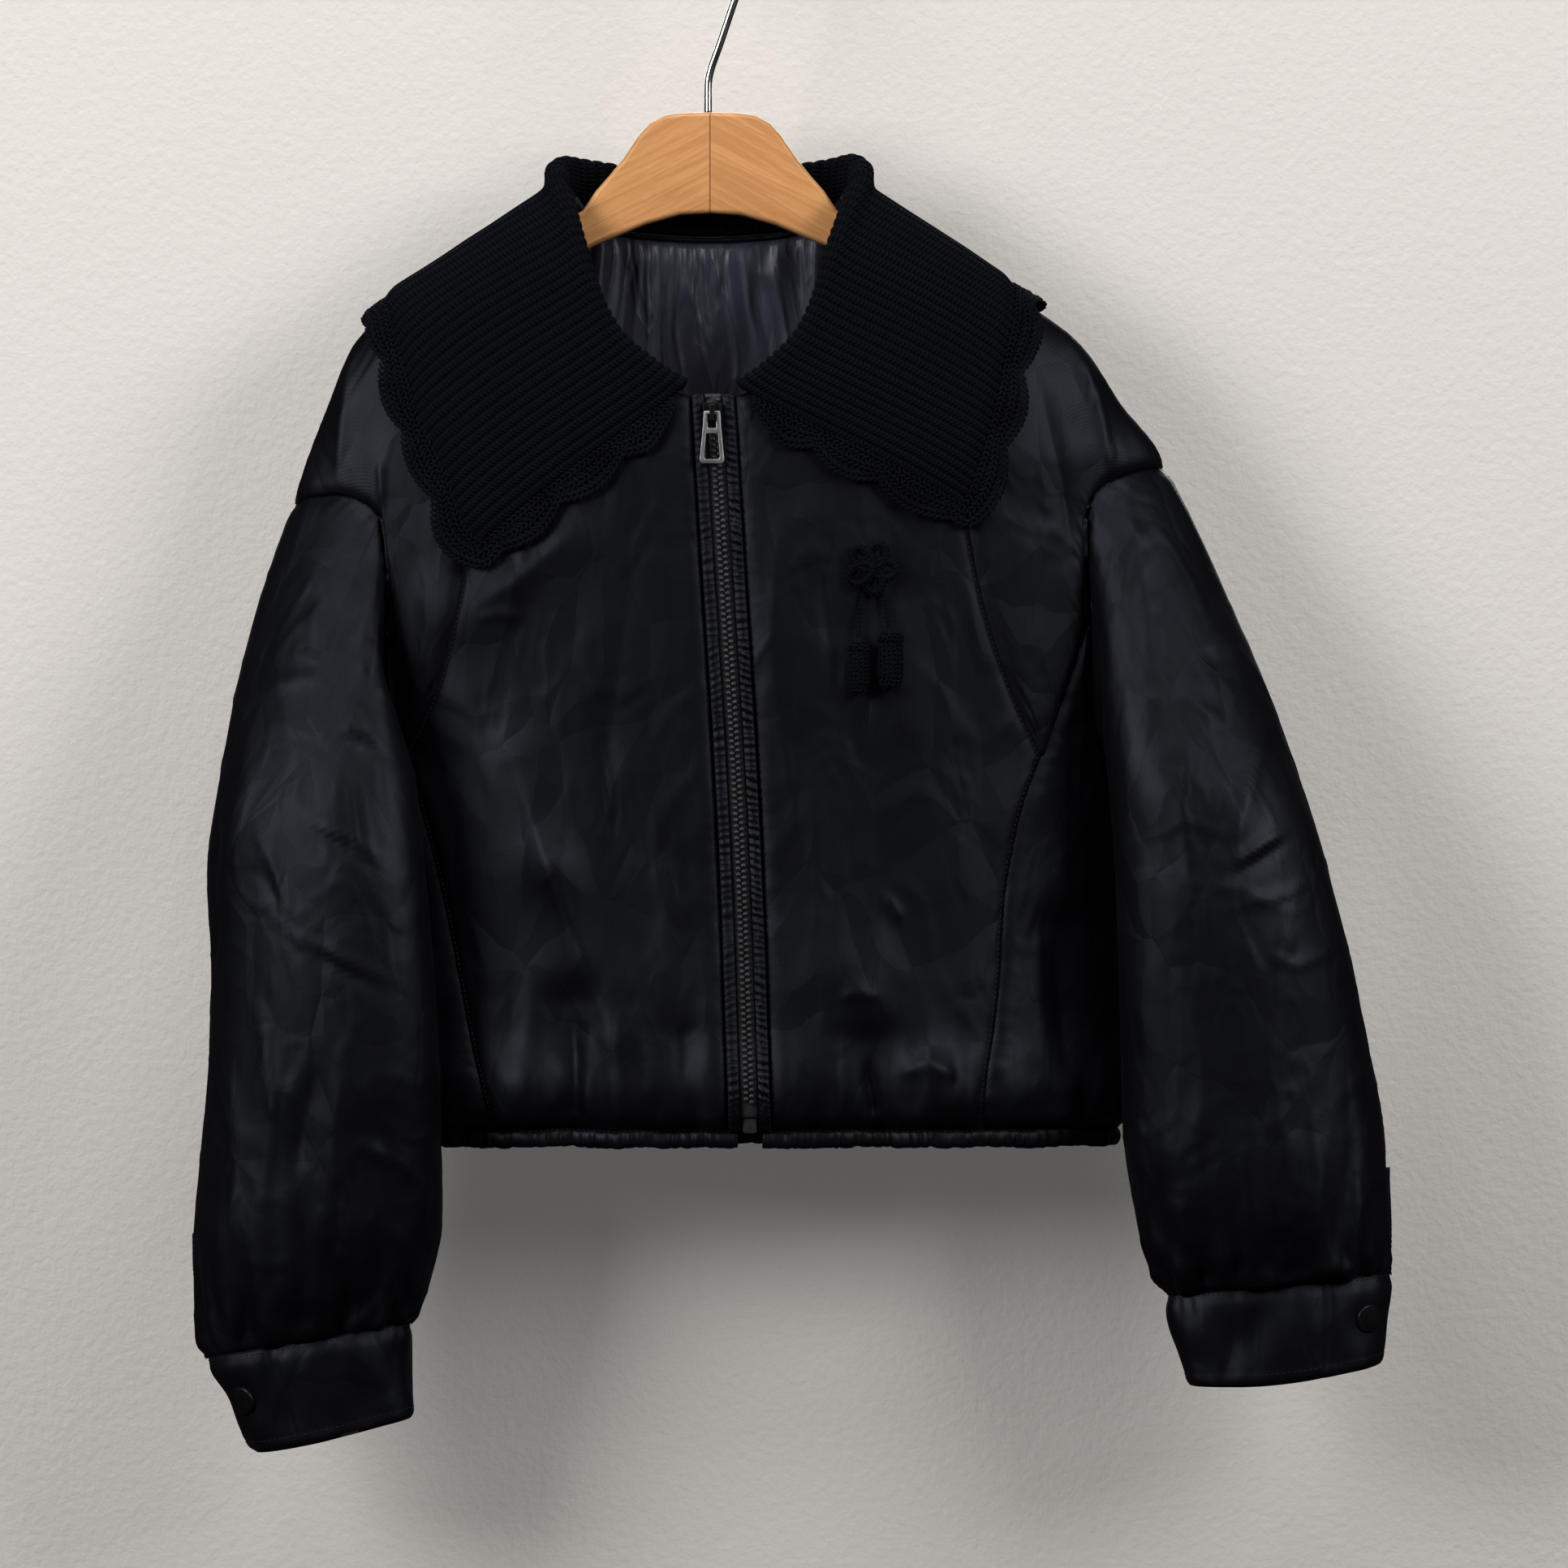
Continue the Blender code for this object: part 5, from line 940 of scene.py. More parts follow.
def buildSleeve(side):
    turns, tuckIn = sleeveTurns(), 2.4
    top, down, low = armholeFront(side)
    loop = np.concatenate([np.concatenate([top, down[1:], low[1:]])[::-1], armholeBack(side, 6)[1:-1]])
    hole = bodyPoint(loop[:, 0], loop[:, 1])
    hole = hole + unit(hole.mean(axis=0) - hole) * 0.5
    full = [sleeveRing(row, turns) for row in sleeve["rows"][side]]
    rings = []
    for share, out, forward in sleeve["cap"]:
        ring = hole * (1 - share) + full[0] * share
        swell = math.sin(math.pi * share)
        near = np.maximum(np.cos(turns) - 0.35, 0) / 0.65 * sleeve["foldOver"][side]
        ring[:, 0] += side * (sleeve["capBulge"][side] * swell * np.maximum(-np.cos(turns), 0) + out * near)
        ring[:, 1] -= sleeve["capDepth"] * swell * np.maximum(np.sin(turns), 0) + forward * near
        rings.append(ring)
    tucked = hole + unit(hole - rings[0]) * tuckIn
    base = smoothed(lengthened(np.array([tucked, hole] + rings + full), sleeve["spacing"]), 5)
    normals = facing(gridNormals(base, True), base, base.mean(axis=1, keepdims=True))
    normals = unit(smoothed(smoothed(normals, 2), 2, 1, True))
    down = runs(base, 0)
    fromCuff, fromSeam = down[-1:] - down, down - tuckIn
    x, z = base[..., 0], base[..., 2]
    relief = sum(np.clip(way * normals[..., 1] * 2.2 + 0.1, 0, 1) * creases(x, z, sleeve[table][side])
                 for way, table in ((-1, "creases"), (1, "backCreases")))
    relief += 1.0 * softNoise(base, (34, 34, 110), 21.3 + side)
    relief += 0.42 * wrinkleNoise(base, (34, 34, 52), 31.7 + side, 0.06)
    relief += 0.3 * wrinkleNoise(base, (20, 20, 30), 5.1 + side, 0.06)
    relief += 13.0 * softNoise(base, (13, 13, 170), 17.3 + side) * np.exp(-fromCuff / 34)
    relief += 6.5 * softNoise(base, (5.5, 5.5, 80), 13.9) * np.exp(-fromCuff / 16)
    inside = np.clip(np.cos(turns) - 0.2, 0, 0.5)[None, :] * (z > -600)
    relief = relief * (1 - 1.4 * inside) * (0.15 + 0.85 * (1 - bell(fromSeam, 12)))
    relief *= 0.35 + 0.65 * (1 - bell(fromCuff, 6))
    around = roundRings(base)
    pressed = seamRelief(fromSeam, around, 1.7) + seamRelief(fromCuff, around, 3.3)
    outer = base + normals * (relief + pressed)[..., None]
    thick = (shell["wall"] - shell["lining"]) * np.clip(0.42 + down / 60, 0, 1)
    inner = base + normals * (relief * shell["inside"] - thick)[..., None]
    paddedWall(f"sleeve_{sideName[side]}", outer, inner, normals, [satin, lining], closed=True)


# The front edge of the overlap stands up, and the cloth is calm and pressed in round the snap.
def buildCuff(side):
    turns, thick = sleeveTurns(), cuff["thick"]
    rows = cuff["rows"][side]
    way = 1 if rows[0][2] > rows[0][0] else -1
    thin = [(row[0] + way * thick, row[1], row[2] - way * thick, row[3], row[4], row[5] - thick, row[6])
            for row in rows]
    base, under = (lengthened(np.array([sleeveRing(row, turns) for row in table]), cuff["spacing"])
                   for table in (rows, thin))
    if len(under) != len(base):
        share = np.linspace(0, len(under) - 1, len(base))
        low = np.minimum(share.astype(int), len(under) - 2)
        part = (share - low)[:, None, None]
        under = under[low] * (1 - part) + under[low + 1] * part
    normals = facing(gridNormals(base, True), base, base.mean(axis=1, keepdims=True))
    down = runs(base, 0)
    toEnd = down[-1:] - down
    relief = 4.0 * softNoise(base, (24, 24, 30), 41.1 + side) + 0.7 * softNoise(base, (8, 8, 20), 3.3)
    degrees, (lapStart, lapEnd) = np.degrees(turns)[None, :], cuff["lap"]
    lap = 1 / (1 + np.exp(-(degrees - lapStart) / 1.2)) / (1 + np.exp((degrees - lapEnd) / 1.2))
    relief += 1.1 * lap - 0.9 * bell(degrees - lapStart + 2, 2.6)
    snapX, snapZ = cuff["snaps"][side]
    away, outside = np.hypot(base[..., 0] - snapX, base[..., 2] - snapZ), normals[..., 1] < 0.2
    relief *= 1 - bell(away, 15) * outside
    relief -= 0.7 * bell(away, 9) * outside
    relief += seamRelief(down, roundRings(base), 0.4) * 0.8
    relief -= 1.5 * bell(toEnd, 1.6) + 0.35 * bell(toEnd - 6.2, 0.8)
    outer = base + normals * relief[..., None]
    inner = under + normals * (0.5 * np.minimum(relief, 0) + 1.2 * bell(toEnd, 1.6))[..., None]
    bow = np.sin(np.pi * (base[..., 0] - base[..., 0].min()) / np.ptp(base[..., 0]))
    sag = cuff["sag"][side] * bow * np.exp(-toEnd / 16)
    outer[..., 2] -= sag
    inner[..., 2] -= sag
    tuck = unit(base[0] - base[1]) * 2.2
    outer = np.concatenate([outer[:1] + tuck - normals[:1] * 0.9, outer])
    inner = np.concatenate([inner[:1] + tuck, inner])
    normals = np.concatenate([normals[:1], normals])
    paddedWall(f"cuff_{sideName[side]}", outer, inner, normals, [satin, lining], closed=True)


def buildPlacket(side):
    strip = sleeve["rows"][side][-4:]
    turns = np.radians(np.linspace(176, 208, 15))
    base = lengthened(np.array([sleeveRing(row, turns) for row in strip]), cuff["spacing"])
    centre = np.array([(strip[0][0] + strip[0][2]) / 2, strip[0][4], strip[0][1]])
    normals = facing(gridNormals(base), base, centre)
    across = runs(base, 1)
    edge = np.minimum(across, across[:, -1:] - across)
    swell = 1.1 - 0.9 * bell(edge, 1.0) + 0.5 * softNoise(base, (6, 6, 14), 9.1)
    outer = base + normals * swell[..., None]
    paddedWall(f"sleeve_placket_{sideName[side]}", outer, base - normals * 1.4, normals, [satin])


for side in (-1, 1):
    buildSleeve(side)
    buildCuff(side)
    buildPlacket(side)
print("sleeves made")


# The collar: one strip of rib knit that stands, rolls over and falls on the shoulders.
collar = {
    "edgeFront": {
        -1: ((-119.3, -325), (-127.3, -318), (-133, -303), (-142.8, -278), (-153, -258), (-157.8, -239),
            (-163.8, -219), (-168, -197.6)),
        1: ((134, -304.7), (138.7, -295.4), (144.9, -278.2), (149.6, -261), (154.4, -242), (157.4, -223.6),
            (161.5, -203), (161, -189.8)),
    },
    "edgeBack": {
        -1: ((-168, -197.6), (-150, -216), (-120, -229), (-60, -236), (0, -237)),
        1: ((161, -189.8), (150, -208), (120, -225), (60, -235), (0, -237)),
    },
    "rollDegrees": (-180, -140, -110, -90, -60, 0, 60, 90, 110, 140, 180),
    "rollHeight": (38, 32, 21, 15, 9.5, 8, 9.5, 15, 21, 32, 38),
    "thick": 4.4,
    "clear": 1.8,
    "ribHeight": 1.7,
    "frontRibs": 28,
    "backRibs": 36,
    "perRib": 6,
    "standRows": 5,
    "rollRows": 12,
    "fallRows": 44,
    "stitch": 2.35,
    "fullness": 1.1,
}
collar["turn"] = (shell["wall"] + collar["clear"] + collar["thick"]) / 2
lace = {"width": 12.0, "thick": 3.2, "pitch": 40.0}


def knitMaterial():
    made, tree, shader = newMaterial("ribKnit", Roughness=0.92, Sheen_Weight=0.02, Sheen_Roughness=0.5,
                                     Sheen_Tint=(0.5, 0.6, 0.95, 1), Specular_IOR_Level=0.12)
    cloth = addNode(tree, "ShaderNodeUVMap", uv_map="cloth").outputs[0]
    stitch = useGroup(tree, knitStitchShadeEffect, {"Place": cloth})
    fuzz = useGroup(tree, fuzzEffect, {"Size": 1400.0})
    # Painted shade from the stitches: the base colour is dark in their hollows and light on their tops.
    tree.links.new(blendColour(tree, stitch["Shade"], (0.0008, 0.0010, 0.0018), (0.0046, 0.0056, 0.0098)),
                   shader.inputs["Base Color"])
    bumps(tree, shader, (stitch["Height"], 0.0011, 1.0), (fuzz["Height"], 0.0003, 0.6))
    return made


# Knit stitches: across is counted in ribs, along in stitches, each a pair of slanted legs and painted shade.
def makeKnitEffect():
    tree, given, out = effectGroup("knitStitchesPaintedShade", {"Place": None})
    parts = addNode(tree, "ShaderNodeSeparateXYZ", {"Vector": given["Place"]}).outputs
    across = maths(tree, "SUBTRACT", maths(tree, "MULTIPLY", maths(tree, "FRACT", parts["X"]), 2.0), 1.0)
    side = maths(tree, "ABSOLUTE", across)
    leg = maths(tree, "FRACT", maths(tree, "ADD", parts["Y"], maths(tree, "MULTIPLY", side, 0.55)))
    bead = maths(tree, "POWER", maths(tree, "SINE", maths(tree, "MULTIPLY", leg, math.pi)), 0.6)
    spine = maths(tree, "SUBTRACT", 1.0, maths(tree, "MULTIPLY", maths(tree, "SUBTRACT", 1.0, maths(
        tree, "MINIMUM", maths(tree, "MULTIPLY", side, 7.0), 1.0)), 0.45))
    height = maths(tree, "MULTIPLY", bead, spine)
    tree.links.new(height, out["Height"])
    # Painted shade: the colour follows the stitch height and darkens towards each rib's edge, dark in the
    # hollows.
    inside = maths(tree, "SUBTRACT", 1.0, maths(tree, "POWER", side, 3.0))
    tree.links.new(maths(tree, "MULTIPLY", height, inside), out["Shade"])
    return tree


def makeFuzzEffect():
    tree, given, out = effectGroup("yarnFuzz", {"Size": 1400.0})
    place = objectPlace(tree)
    tree.links.new(noiseOf(tree, place, given["Size"], 2.0), out["Height"])
    tree.links.new(noiseOf(tree, place, 45.0, 1.0), out["Shade"])
    return tree


knitStitchShadeEffect, fuzzEffect = makeKnitEffect(), makeFuzzEffect()
knit = knitMaterial()


def evenPlaces(line, count):
    run = runAlong(bodyPoint(line[:, 0], line[:, 1]))
    return placedOn(np.linspace(0, run[-1], count + 1), run, line)


# The collar's angles count on the other way, from the front edge on the wearer's right round the back.
def woundBack(line):
    line[:, 0] = np.where(line[:, 0] < 0, line[:, 0], line[:, 0] - fullTurn)


def neckLoop():
    right, left = (seam(seams["neckline"][side][1:], 24) for side in (-1, 1))
    back = seam(seams["backNeck"], 36, behind=True)
    right[-1], left[-1] = (-quarter, neckHeight), (quarter, neckHeight)
    woundBack(back)
    left[:, 0] -= fullTurn
    return right, back[1:-1][::-1], left[::-1]


def edgeLine():
    right, left = (seam(collar["edgeFront"][side], 30) for side in (-1, 1))
    backRight, backLeft = (seam(collar["edgeBack"][side], 24, behind=True) for side in (-1, 1))
    right[-1, 0] = backRight[0, 0] = -quarter
    left[-1, 0] = backLeft[0, 0] = quarter
    woundBack(backRight)
    woundBack(backLeft)
    left[:, 0] -= fullTurn
    return right, np.concatenate([backRight, backLeft[::-1][1:]]), left[::-1]


def collarPlaces(perRib):
    neckRight, neckBack, neckLeft = neckLoop()
    backNeck = np.concatenate([neckRight[-1:], neckBack, neckLeft[:1]])
    edgeRight, edgeBack, edgeLeft = edgeLine()
    parts = []
    for neck, edge, ribs in ((neckRight, edgeRight, "frontRibs"), (backNeck, edgeBack, "backRibs"),
                             (neckLeft, edgeLeft, "frontRibs")):
        places = np.hstack([evenPlaces(line, perRib * collar[ribs]) for line in (neck, edge)])
        parts.append(places if not parts else places[1:])
    return np.concatenate(parts)


def neckFrames(neck):
    line = np.concatenate(neckLoop())
    spots = bodyPoint(line[:, 0], line[:, 1])
    seat = bodyPoint(neck[:, 0], neck[:, 1])
    under = bodyPoint(neck[:, 0], neck[:, 1], shell["wall"])
    nearest = np.argmin(np.linalg.norm(spots[None] - seat[:, None], axis=2), axis=1)
    low, high = np.maximum(nearest - 9, 0), np.minimum(nearest + 9, len(spots) - 1)
    tangent = unit(spots[high] - spots[low])
    tangent = unit(smoothed(tangent, 6))
    normal = unit(smoothed(unit(seat - under), 4))
    return seat, normal, unit(np.cross(tangent, normal))


def collarRows(places, lift, radius):
    neck, edge = places[:, :2], places[:, 2:]
    seat, normal, rise = neckFrames(neck)
    degrees = np.degrees(neck[:, 0])
    degrees = np.where(degrees < -180, degrees + 360, degrees)
    height, turn = smoothCurve(collar["rollDegrees"], collar["rollHeight"])(degrees), collar["turn"]
    straight = np.maximum(height - turn, 0.8)[:, None]
    middle = seat + rise * straight + normal * (turn - shell["wall"])
    rows = [seat + normal * (turn - shell["wall"] - radius) + rise * (1.4 + (straight - 1.4) * share)
            for share in np.linspace(0, 1, collar["standRows"] + 1)[:-1]]
    rows += [middle - normal * radius * math.cos(a) + rise * radius * math.sin(a)
             for a in np.linspace(0, math.pi, collar["rollRows"] + 1)[:-1]]
    last = bodyPoint(edge[:, 0], edge[:, 1])
    down = np.linalg.norm(last - seat, axis=1, keepdims=True)
    slip = edge[:, 0] - angleOfPoint(last)
    slip = (slip + math.pi) % (fullTurn) - math.pi
    for share in np.linspace(0, 1, collar["fallRows"]):
        along = (straight + down) * share
        standing = seat + rise * (straight - along) + normal * lift
        mix = np.clip((along - straight) / down, 0, 1)
        between = seat * (1 - mix) + last * mix
        angle = angleOfPoint(between) + slip * mix[:, 0]
        lying = onBody(angle, between[:, 2], np.full(len(angle), lift))
        rows.append(np.where(along < straight, standing, lying))
    rows = np.array(rows)
    first = collar["standRows"] + collar["rollRows"] - 1
    rows[first:] = smoothed(rows[first:], 14)
    return rows


def buildCollar():
    places = collarPlaces(collar["perRib"])
    show = collarRows(places, collar["clear"] + collar["thick"], collar["turn"])
    hidden = collarRows(places, collar["clear"], collar["turn"] - collar["thick"])
    way = unit(show - hidden)
    step = np.arange(len(places)) % collar["perRib"] / collar["perRib"]
    rib = np.sin(math.pi * step) ** 0.55
    rib[-1] = 0
    drift = 0.7 * softNoise(show, (30, 30, 30), 51.0)
    down = runs(show, 0)
    fromEdge = down[-1:] - down
    side = runs(show, 1)
    fromFront = np.minimum(side, side[:, -1:] - side)
    thin = 2.6 * bell(fromEdge, 5.5) + 1.7 * bell(fromFront, 4.5) * (down > 12)
    drift -= np.minimum(thin, 2.6)
    ends = np.ones(len(show))
    ends[:3] = (0.3, 0.6, 0.9)
    outer = show + way * (collar["ribHeight"] * (rib[None, :] * ends[:, None] - 0.35) + drift)[..., None]
    inner = hidden + way * (np.maximum(drift, -0.6) * 0.8 + 0.35 * rib[None, :])[..., None]
    made = plainWall("collar_knit", outer, inner, knit)
    columns = len(places)
    vertex = np.zeros(len(made.data.loops), int)
    made.data.loops.foreach_get("vertex_index", vertex)
    vertex %= show.shape[0] * columns
    stitches = (down / collar["stitch"]).reshape(-1)[vertex]
    uv = np.stack([(vertex % columns) / collar["perRib"] + 0.001, stitches], 1)
    made.data.uv_layers["cloth"].data.foreach_set("uv", uv.ravel())


buildCollar()


# Geometry Nodes trees that set a small shape on every point of a mesh, turned by its along and out attributes
# and sized by its size attribute.
def attributeOf(tree, name, kind):
    made = addNode(tree, "GeometryNodeInputNamedAttribute", {"Name": name}, data_type=kind)
    return next(socket for socket in made.outputs if socket.enabled and socket.name == "Attribute")


def vectorOf(tree, x=0.0, y=0.0, z=0.0):
    return addNode(tree, "ShaderNodeCombineXYZ", {"X": x, "Y": y, "Z": z}).outputs[0]


def shapeTree(name, sizes, makeShape):
    tree = bpy.data.node_groups.new(name, "GeometryNodeTree")
    tree.interface.new_socket(name="Geometry", in_out="INPUT", socket_type="NodeSocketGeometry")
    for label, value in sizes.items():
        kind = "NodeSocketInt" if label == "Seed" else "NodeSocketFloat"
        tree.interface.new_socket(name=label, in_out="INPUT", socket_type=kind).default_value = value
    tree.interface.new_socket(name="Finish", in_out="INPUT", socket_type="NodeSocketMaterial")
    tree.interface.new_socket(name="Geometry", in_out="OUTPUT", socket_type="NodeSocketGeometry")
    given, out = tree.nodes.new("NodeGroupInput").outputs, tree.nodes.new("NodeGroupOutput").inputs
    axes = {"Primary Axis": attributeOf(tree, "out", "FLOAT_VECTOR"),
            "Secondary Axis": attributeOf(tree, "along", "FLOAT_VECTOR")}
    turn = addNode(tree, "FunctionNodeAxesToRotation", axes, primary_axis="Z", secondary_axis="X").outputs[0]
    sway = maths(tree, "MULTIPLY", given["Sway"], -1.0)
    swing = addNode(tree, "FunctionNodeRandomValue", data_type="FLOAT_VECTOR")
    tree.links.new(vectorOf(tree, sway, sway, sway), swing.inputs[0])
    tree.links.new(vectorOf(tree, given["Sway"], given["Sway"], given["Sway"]), swing.inputs[1])
    tree.links.new(given["Seed"], swing.inputs["Seed"])
    nudge = addNode(tree, "FunctionNodeEulerToRotation", {"Euler": swing.outputs[0]}).outputs[0]
    turned = addNode(tree, "FunctionNodeRotateRotation", {"Rotation": turn, "Rotate By": nudge},
                     rotation_space="LOCAL").outputs[0]
    placed = addNode(tree, "GeometryNodeInstanceOnPoints", {
        "Points": given["Geometry"], "Instance": makeShape(tree, given), "Rotation": turned,
        "Scale": attributeOf(tree, "size", "FLOAT")}).outputs[0]
    whole = addNode(tree, "GeometryNodeRealizeInstances", {"Geometry": placed}).outputs[0]
    soft = addNode(tree, "GeometryNodeSetShadeSmooth", {"Geometry": whole}).outputs[0]
    done = addNode(tree, "GeometryNodeSetMaterial", {"Geometry": soft, "Material": given["Finish"]})
    tree.links.new(done.outputs[0], out["Geometry"])
    return tree


def slimBall(tree, given, shift=0.0, turn=0.0):
    ball = addNode(tree, "GeometryNodeMeshUVSphere", {"Segments": 6, "Rings": 4, "Radius": 0.5}).outputs[0]
    size = vectorOf(tree, given["Length"], given["Thick"], given["Thick"])
    return addNode(tree, "GeometryNodeTransform", {
        "Geometry": ball, "Scale": size, "Rotation": vectorOf(tree, z=turn),
        "Translation": vectorOf(tree, y=shift)}).outputs[0]


def twoLegs(tree, given):
    apart = maths(tree, "MULTIPLY", given["Thick"], 0.62)
    less = maths(tree, "MULTIPLY", apart, -1.0)
    back = maths(tree, "MULTIPLY", given["Spread"], -1.0)
    both = addNode(tree, "GeometryNodeJoinGeometry")
    for leg in (slimBall(tree, given, apart, given["Spread"]), slimBall(tree, given, less, back)):
        tree.links.new(leg, both.inputs[0])
    return both.outputs[0]


def bluntBlock(tree, given):
    block = addNode(tree, "GeometryNodeMeshCube", {
        "Size": vectorOf(tree, given["Length"], given["Wide"], given["Thick"])}).outputs["Mesh"]
    soft = {"Mesh": block, "Level": 1, "Edge Crease": 0.72}
    return addNode(tree, "GeometryNodeSubdivisionSurface", soft).outputs[0]


threadPitch = 2.9
threadTree = shapeTree("threadRow", {"Length": 0.0021, "Thick": 0.00055, "Sway": 0.05, "Seed": 3}, slimBall)
chainTree = shapeTree(
    "crochetChain", {"Length": 0.0048, "Thick": 0.0018, "Spread": 0.5, "Sway": 0.14, "Seed": 5}, twoLegs)
toothTree = shapeTree(
    "zipTeeth", {"Length": 0.0023, "Wide": 0.0029, "Thick": 0.0018, "Sway": 0.01, "Seed": 7}, bluntBlock)


# The tree's shape in one material on each spot, as a finished mesh.
def growOn(name, tree, spots, along, out, finish, size=None):
    mesh = bpy.data.meshes.new(f"{name}_points")
    mesh.from_pydata((np.asarray(spots) * 0.001).tolist(), [], [])
    for key, value in (("along", along), ("out", out)):
        layer = mesh.attributes.new(key, "FLOAT_VECTOR", "POINT")
        layer.data.foreach_set("vector", unit(np.asarray(value, float)).ravel())
    layer = mesh.attributes.new("size", "FLOAT", "POINT")
    layer.data.foreach_set("value", np.ones(len(spots)) if size is None else np.asarray(size, float))
    seed = linked(f"{name}_points", mesh)
    grow = seed.modifiers.new("grow", "NODES")
    grow.node_group = tree
    finishInput = next(item for item in tree.interface.items_tree if item.name == "Finish")
    grow[finishInput.identifier] = finish
    graph = bpy.context.evaluated_depsgraph_get()
    grown = bpy.data.meshes.new_from_object(seed.evaluated_get(graph), depsgraph=graph)
    bpy.data.objects.remove(seed)
    grown.name = name
    return linked(name, grown)


# Even places along a line in space, with the way it runs.
def along3d(line, out, pitch, closed=False):
    if closed:
        line, out = np.concatenate([line, line[:1]]), np.concatenate([out, out[:1]])
    run, near = runAlong(line), 0.6
    at = np.arange(pitch / 2, run[-1], pitch)
    way = placedOn(at + near, run, line) - placedOn(at - near, run, line)
    return placedOn(at, run, line), way, unit(placedOn(at, run, out)), at


# The line at a distance in from one edge of a finished surface.
def lineOn(surface, edge, inset, rise):
    grid, ways = surfaces[surface]
    if edge in ("top", "bottom"):
        grid, ways = grid.swapaxes(0, 1), ways.swapaxes(0, 1)
    if edge in ("last", "bottom"):
        grid, ways = grid[:, ::-1], ways[:, ::-1]
    rows = runs(grid, 1)
    line, out = (np.array([placedOn(inset, run, row) for run, row in zip(rows, of)]) for of in (grid, ways))
    return line + unit(out) * rise, unit(out)


def flatSize(grid, share=1.0):
    wide, high = float(np.mean(runs(grid, 1)[:, -1])), float(np.mean(runs(grid, 0)[-1]))
    return round(wide * share / 1000, 4), round(high / 1000, 4)


def threadLines(name, lines, closed=False):
    parts = [along3d(line, out, threadPitch, closed) for line, out in lines]
    spots, ways, outs = (np.concatenate([part[i] for part in parts]) for i in range(3))
    rideOn(growOn(name, threadTree, spots, ways, outs, thread))


# More materials.
def makeWearEffect():
    tree, given, out = effectGroup("metalWear", {"Scratch": 900.0})
    place = objectPlace(tree)
    drawn = addNode(tree, "ShaderNodeVectorMath", {0: place, 1: (1.0, 1.0, 0.06)}, operation="MULTIPLY")
    tree.links.new(noiseOf(tree, drawn.outputs[0], given["Scratch"], 3.0), out["Height"])
    tree.links.new(noiseOf(tree, place, 210.0, 2.0), out["Shade"])
    return tree


wearEffect = makeWearEffect()


def metalMaterial(name, dark, pale, roughness, metallic, scratch=900.0):
    made, tree, shader = newMaterial(name, Metallic=metallic)
    wear = useGroup(tree, wearEffect, {"Scratch": scratch})
    colourBy(tree, shader, wear["Shade"], dark, pale)
    tree.links.new(span(tree, wear["Height"], *roughness), shader.inputs["Roughness"])
    bumps(tree, shader, (wear["Height"], 0.00002, 0.5))
    return made


def yarnMaterial(name, dark, pale, **sockets):
    made, tree, shader = newMaterial(name, **sockets)
    fuzz = useGroup(tree, fuzzEffect, {"Size": 2100.0})
    colourBy(tree, shader, fuzz["Shade"], dark, pale)
    tree.links.new(maths(tree, "MULTIPLY_ADD", fuzz["Height"], 0.15, 0.8), shader.inputs["Roughness"])
    bumps(tree, shader, (fuzz["Height"], 0.0003, 0.7))
    return made


# Two boards joined at the middle, with the grain slanting down and outwards on both.
def makeWoodEffect():
    tree, given, out = effectGroup("hangerGrain", {"Middle": 0.001}, ("Height", "Shade", "Fleck", "Joint"))
    parts = addNode(tree, "ShaderNodeSeparateXYZ", {"Vector": objectPlace(tree)}).outputs
    aside = maths(tree, "SUBTRACT", parts["X"], given["Middle"])
    away = maths(tree, "ABSOLUTE", aside)
    side = maths(tree, "SIGN", aside)
    across = maths(tree, "MULTIPLY_ADD", away, 0.52, parts["Z"])
    along = maths(tree, "SUBTRACT", away, maths(tree, "MULTIPLY", parts["Z"], 0.52))

    def stretched(lengthwise, deep, crosswise, detail):
        x = maths(tree, "MULTIPLY_ADD", along, lengthwise, side)
        y, z = maths(tree, "MULTIPLY", parts["Y"], deep), maths(tree, "MULTIPLY", across, crosswise)
        return noiseOf(tree, vectorOf(tree, x, y, z), 1.0, detail)

    broad, streak = stretched(10.0, 60.0, 130.0, 4.0), stretched(90.0, 500.0, 1500.0, 3.0)
    lines = maths(tree, "MULTIPLY_ADD", broad, 26.0, maths(tree, "MULTIPLY", across, 900.0))
    rings = maths(tree, "SINE", lines)
    tree.links.new(streak, out["Height"])
    mixed = maths(tree, "MULTIPLY_ADD", broad, 0.55, maths(tree, "MULTIPLY", streak, 0.45))
    tree.links.new(maths(tree, "MULTIPLY_ADD", rings, 0.09, mixed), out["Shade"])
    tree.links.new(maths(tree, "GREATER_THAN", streak, 0.64), out["Fleck"])
    tree.links.new(maths(tree, "LESS_THAN", away, 0.00035), out["Joint"])
    return tree


def woodMaterial():
    made, tree, shader = newMaterial("honeyWood", Coat_Weight=0.3, Coat_Roughness=0.25,
                                     Specular_IOR_Level=0.4)
    grain = useGroup(tree, makeWoodEffect(), {"Middle": 0.001})
    shade = span(tree, grain["Shade"], -0.4, 1.3)
    plain = blendColour(tree, shade, (0.50, 0.255, 0.105), (0.585, 0.32, 0.14))
    fleck = maths(tree, "MULTIPLY", grain["Fleck"], 0.22)
    mark = maths(tree, "MAXIMUM", fleck, maths(tree, "MULTIPLY", grain["Joint"], 0.8))
    tree.links.new(blendColour(tree, mark, plain, (0.2, 0.08, 0.03)), shader.inputs["Base Color"])
    tree.links.new(span(tree, grain["Height"], 0.36, 0.52), shader.inputs["Roughness"])
    bumps(tree, shader, (grain["Height"], 0.00008, 0.4))
    return made


